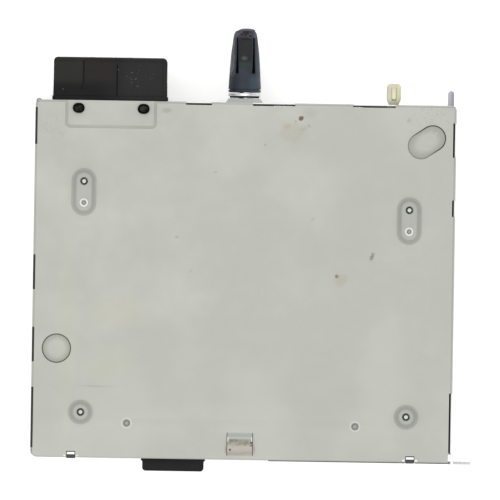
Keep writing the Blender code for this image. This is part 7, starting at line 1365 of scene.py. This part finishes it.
FACE_LEFT, FACE_RIGHT, FACE_LOW, FACE_HIGH = -41.95 * MM, -15.65 * MM, 35.8 * MM, 45.2 * MM
FACE_INNER, FACE_END, FACE_FLOOR = -66.0 * MM, -81.85 * MM, -70.5 * MM
FACE_WALL, FACE_ROUND = 1.5 * MM, 1.5 * MM
ROUND_ALL, ROUND_ENDS = 0.55, 0.45  # shares of the rounding: all sides, and the two short ends besides
face_outline = lambda grow: rounded(
    FACE_LEFT - grow, FACE_LOW - grow, FACE_RIGHT + grow, FACE_HIGH + grow, 0.6 * MM + max(grow, -0.5 * MM), 5
)
face_rows = [
    (-0.3 * MM, -FACE_INNER),
    (0, -FACE_INNER + 0.3 * MM),
    (0, 76.2 * MM),
    mm(0.6, 76.3),
    mm(0.6, 77.2),
    mm(0.25, 77.5),
    (0, 77.9 * MM),
]
corner_rows = round_end(FACE_ROUND, -FACE_END, 7)
face_plug = moulded("face_connector", face_outline, face_rows + [(grow * ROUND_ALL, y) for grow, y in corner_rows])
for corner in face_plug.data.vertices:
    reach_out = -FACE_END + corner.co.y
    if reach_out < FACE_ROUND:
        pull = FACE_ROUND - math.sqrt(max(0.0, FACE_ROUND**2 - (FACE_ROUND - max(0.0, reach_out)) ** 2))
        middle_x = (FACE_LEFT + FACE_RIGHT) / 2
        side = 1 if corner.co.x > middle_x else -1
        corner.co.x -= side * pull * ROUND_ENDS
pocket = lambda grow: rounded(
    FACE_LEFT + FACE_WALL - grow,
    FACE_LOW + FACE_WALL - grow,
    FACE_RIGHT - FACE_WALL + grow,
    FACE_HIGH - FACE_WALL + grow,
    0.5 * MM,
    3,
)
carve(face_plug, [moulded("pocket", pocket, [(0, -FACE_FLOOR), (0, -FACE_END + MM)])])
dress(face_plug, black_nylon)
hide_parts("front_connector")
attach(face_plug, "chassis")
face_box = (FACE_LEFT + FACE_WALL, FACE_LOW + FACE_WALL, FACE_RIGHT - FACE_WALL, FACE_HIGH - FACE_WALL)
header("face_pins", "front_pin_header", face_box, FACE_FLOOR, -1, 10, 2, 0.8 * MM, 0.8 * MM, 5.0 * MM)


# Screws: bright zinc-plated thread-forming steel with pan heads and cross recesses. Four are driven from
# inside up into the pressed seats, four hold the disc deck and two the lower cover.

screw_steel = Finish("bright_screw_steel", (0.80, 0.80, 0.78), 0.4, 0.35)
screw_grain = screw_steel.noise(0.9, 3.0)
screw_tone = screw_steel.mix(screw_steel.ramp(screw_grain, 0.3, 0.7), (0.42, 0.43, 0.39), (0.52, 0.53, 0.48))
# Painted shade on the screw where it stands inside the seat's hole.
in_hole_shade = screw_steel.times(screw_steel.span("Z", 48.3, 48.1), screw_steel.span("Z", 45.6, 46.2))
screw_steel.colour(screw_steel.mix(in_hole_shade, screw_tone, (0.19, 0.19, 0.17)))
screw_steel.rough(screw_steel.ramp(screw_grain, 0.3, 0.7, 0.36, 0.5))
screw_steel.bump(screw_grain, 0.01, 0.4)
HEAD_RADIUS, HEAD_HEIGHT = 2.65 * MM, 1.7 * MM

screw = Pattern("thread_forming_screw")
names = (
    "head radius",
    "head height",
    "shank radius",
    "tip radius",
    "tip length",
    "length",
    "pitch",
    "slot length",
    "slot width",
)
head_r, head_h, shank_r, tip_r, tip_l, full, pitch, slot_l, slot_w = (screw.given(name) for name in names)
straight = screw.sum(full, tip_l, "SUBTRACT")
shank = screw.add(
    "GeometryNodeMeshCone", {"Vertices": 24, "Radius Top": shank_r, "Radius Bottom": shank_r, "Depth": straight}
)
tip = screw.add(
    "GeometryNodeMeshCone", {"Vertices": 24, "Radius Top": tip_r, "Radius Bottom": shank_r, "Depth": tip_l}
)
tip = screw.moved(tip, screw.point(0.0, 0.0, straight))
turns = screw.sum(screw.sum(straight, 1.0 * MM, "SUBTRACT"), pitch, "DIVIDE")
thread_path = {
    "Resolution": 20,
    "Rotations": turns,
    "Start Radius": shank_r,
    "End Radius": shank_r,
    "Height": screw.sum(straight, 1.0 * MM, "SUBTRACT"),
}
thread = screw.add("GeometryNodeCurveSpiral", thread_path)
ridge = screw.add("GeometryNodeCurvePrimitiveCircle", {"Resolution": 4, "Radius": 0.16 * MM})
thread = screw.add("GeometryNodeCurveToMesh", {"Curve": thread, "Profile Curve": ridge, "Fill Caps": True})
thread = screw.moved(thread, screw.point(0.0, 0.0, 0.6 * MM))
rim_h, dome_h = screw.sum(head_h, 0.3, "MULTIPLY"), screw.sum(head_h, 0.7, "MULTIPLY")
rim = screw.add(
    "GeometryNodeMeshCone", {"Vertices": 32, "Radius Top": head_r, "Radius Bottom": head_r, "Depth": rim_h}
)
rim = screw.moved(rim, screw.point(0.0, 0.0, screw.sum(rim_h, -1.0, "MULTIPLY")))
dome = screw.add(
    "GeometryNodeMeshCone",
    {"Vertices": 32, "Radius Top": head_r, "Radius Bottom": screw.sum(head_r, 0.74, "MULTIPLY"), "Depth": dome_h},
)
dome = screw.moved(dome, screw.point(0.0, 0.0, screw.sum(head_h, -1.0, "MULTIPLY")))
slots = [
    screw.add("GeometryNodeMeshCube", {"Size": screw.point(a, b, head_h)})
    for a, b in ((slot_l, slot_w), (slot_w, slot_l))
]
cross = screw.moved(screw.joined(*slots), screw.point(0.0, 0.0, screw.sum(head_h, -1.0, "MULTIPLY")))
hollow_head = screw.add("GeometryNodeMeshBoolean", {"Mesh 1": dome, "Mesh 2": cross}, operation="DIFFERENCE")
whole = screw.joined(shank, tip, thread, rim, hollow_head)
placed = screw.add("GeometryNodeInstanceOnPoints", {"Points": screw.entry.outputs["Points"], "Instance": whole})
screw.close(placed, screw_steel)

for name, start, point_radius, point_length in (
    ("board_screws", "board_screw_", 0.8 * MM, 1.6 * MM),
    ("deck_screws", "deck_screw_", 0.95 * MM, 0.5 * MM),
    ("cover_screws", "cover_screw_", 0.95 * MM, 0.5 * MM),
):
    held = sorted(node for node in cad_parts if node.startswith(start))
    boxes = [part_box(node) for node in held]
    low_z, high_z = boxes[0][0][2], boxes[0][1][2]
    spots = [((low[0] + high[0]) / 2, (low[1] + high[1]) / 2, low_z + HEAD_HEIGHT) for low, high in boxes]
    group = screw.make(
        name, spots, head_radius=HEAD_RADIUS, head_height=HEAD_HEIGHT, shank_radius=1.2 * MM,
        tip_radius=point_radius, tip_length=point_length, length=high_z - low_z - HEAD_HEIGHT,
        pitch=0.9 * MM, slot_length=3.0 * MM, slot_width=0.6 * MM,
    )
    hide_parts(*held)
    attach(group, "chassis")


# Board and its parts: green glass laminate under the top, with the tuner's tinplate can, the amplifier
# clamped to its aluminium heat sink, and the large filter capacitor.

laminate = Finish("green_laminate", (0.03, 0.13, 0.06), 0.4)
weave = laminate.noise(0.8, 2.0)
tracks = laminate.add("ShaderNodeTexBrick", {"Vector": laminate.stretched((1, 1, 0))})
tracks.inputs["Scale"].default_value = 90
tracks.inputs["Mortar Size"].default_value = 0.03
masked = laminate.mix(laminate.ramp(weave, 0.3, 0.7), (0.022, 0.10, 0.045), (0.035, 0.15, 0.07))
laminate.colour(laminate.mix(laminate.times(tracks.outputs["Fac"], 0.5), masked, (0.06, 0.22, 0.11)))
laminate.bump(tracks.outputs["Fac"], 0.03, 0.4)
dress_nodes(laminate, "main_board")

aluminium_greys = ((0.64, 0.65, 0.66), (0.78, 0.79, 0.80))
aluminium = grained(
    "extruded_aluminium", 0.34, 1.0, (0.8, 3.0, 0.6), 0.3, 0.7, aluminium_greys, (0.015, 0.5), None, (1, 1, 0.05)
)
dress_nodes(aluminium, "heat_sink")

epoxy = plastic("chip_epoxy", (0.018, 0.018, 0.020), (0.030, 0.030, 0.032), 0.55)
dress_nodes(epoxy, "amplifier_chip")
tin_greys = ((0.60, 0.60, 0.58), (0.76, 0.76, 0.74))
tinplate = grained("tinplate", 0.25, 1.0, (7, 4.0, 0.6), 0.35, 0.7, tin_greys, (0.05, 0.3), (0.2, 0.36))
dress_nodes(tinplate, "tuner_can")
sleeve = plastic("shrunk_sleeve", (0.03, 0.06, 0.15), (0.05, 0.09, 0.2), 0.28, 1.2, 0.02)
dress_nodes(sleeve, "filter_capacitor")


# Disc slot felts: two black felt strips glued behind the front panel, over and under the slot. They wipe
# the disc and keep dust out.

felt_blacks = ((0.018, 0.018, 0.02), (0.06, 0.06, 0.062))
felt = grained("black_felt", 0.95, 0.0, (0.25, 4.0, 0.7, 1.5), 0.35, 0.7, felt_blacks, (0.15, 0.8))
felt.shader.inputs["Sheen Weight"].default_value = 0.4
dress_nodes(felt, "slot_felt_upper", "slot_felt_lower")


# Disc deck: folded and plated steel frame, floating traverse plate on rubber bushes, brushless spindle,
# moulded sled on two ground rods, and the rubber loading roller with its acetal gears.

deck_greys, rolling = ((0.50, 0.50, 0.48), (0.64, 0.64, 0.62)), (0.1, 1, 1)
deck_finish = grained(
    "plated_deck_steel", 0.34, 0.85, (1.5, 3.0, 0.6), 0.35, 0.7, deck_greys, (0.01, 0.4), (0.28, 0.42), rolling
)
dress_nodes(deck_finish, "deck_frame", "traverse_plate", "clamp_arm", "roller_arm", "mode_slide")

can_greys = ((0.48, 0.47, 0.45), (0.62, 0.61, 0.59))
can_finish = grained(
    "nickel_plated_can", 0.25, 1.0, (1.0, 3.0, 0.6), 0.35, 0.7, can_greys, (0.01, 0.4), None, rolling
)
dress_nodes(can_finish, "spindle_motor", "sled_motor", "loading_motor")

rubber_blacks = ((0.016, 0.016, 0.016), (0.045, 0.044, 0.042))
black_rubber = grained("black_rubber", 0.7, 0.0, (1.5, 4.0, 0.6), 0.4, 0.75, rubber_blacks, (0.03, 0.5))
bush_names = [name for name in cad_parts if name.startswith("damper_bush")]
dress_nodes(black_rubber, "roller_rubber", "loading_belt", *bush_names)

acetal = plastic("white_acetal", (0.74, 0.73, 0.68), (0.82, 0.81, 0.77), 0.36)
dress_nodes(acetal, "clamp_puck", "roller_gear", "drive_gear")
sled_moulding = plastic("filled_sled_moulding", (0.06, 0.06, 0.065), (0.10, 0.10, 0.105), 0.5)
dress_nodes(sled_moulding, "pickup_sled")
lens = grained("coated_lens", 0.05, 0.0, (2, 1.0, 0.5), 0.3, 0.7, ((0.22, 0.26, 0.52), (0.34, 0.30, 0.60)), None)
lens.shader.inputs["Transmission Weight"].default_value = 0.6
lens.shader.inputs["Coat Weight"].default_value = 0.5
dress_nodes(lens, "objective_lens")


# Floor, light and camera: a pale studio sweep seen from straight above, as in a parts catalogue.

floor_finish = Finish("pale_floor", (0.93, 0.93, 0.93), 0.9)
floor_finish.colour(floor_finish.mix(floor_finish.noise(60), (0.925, 0.925, 0.925), (0.935, 0.935, 0.935)))
floor_finish.shader.inputs["Emission Color"].default_value = (1, 1, 1, 1)
floor_finish.shader.inputs["Emission Strength"].default_value = 0.30
floor = Skin()
FLOOR_HALF = 3.0
floor.field(
    [(-FLOOR_HALF, -FLOOR_HALF), (FLOOR_HALF, -FLOOR_HALF), (FLOOR_HALF, FLOOR_HALF), (-FLOOR_HALF, FLOOR_HALF)],
    [],
    -0.15 * MM,
)
floor_plane = dress(floor.finish("floor", Vector((0, 0, 1))), floor_finish)

world = bpy.data.worlds.new("studio")
world.use_nodes = True
world.node_tree.nodes["Background"].inputs["Color"].default_value = (1, 1, 1, 1)
world.node_tree.nodes["Background"].inputs["Strength"].default_value = 1.0
bpy.context.scene.world = world


def softbox(name, place, aim, size, power):
    lamp = bpy.data.lights.new(name, "AREA")
    lamp.shape = "SQUARE"
    lamp.size = size
    lamp.energy = power
    holder = bpy.data.objects.new(name, lamp)
    bpy.context.scene.collection.objects.link(holder)
    holder.visible_camera = False
    holder.location = place
    holder.rotation_mode = "QUATERNION"
    holder.rotation_quaternion = (Vector(aim) - Vector(place)).to_track_quat("-Z", "Y")
    return holder


softbox("key", (-0.22, 0.35, 1.3), (0, 0, 0), 0.9, 4.0)
softbox("fill", (0.35, -0.3, 1.2), (0, 0, 0), 0.9, 2.0)

# The photograph's scale and turn, worked out from the plate's corners.
MM_PER_PIXEL, FRAME_PIXELS, LENS, SENSOR = 0.4281 * MM, 500, 1000.0, 36.0
VIEW_X, VIEW_Y, ROLL = 2.79 * MM, 13.43 * MM, 0.0160
across = MM_PER_PIXEL * FRAME_PIXELS
camera_data = bpy.data.cameras.new("camera")
camera_data.lens = LENS
camera_data.sensor_width = SENSOR
camera_data.clip_start, camera_data.clip_end = 0.05, 20
camera = bpy.data.objects.new("camera", camera_data)
bpy.context.scene.collection.objects.link(camera)
camera.location = (VIEW_X, VIEW_Y, CASE_TOP + across * LENS / SENSOR)
camera.rotation_euler = (0, 0, ROLL)
bpy.context.scene.camera = camera
bpy.context.scene.view_settings.view_transform = "Standard"
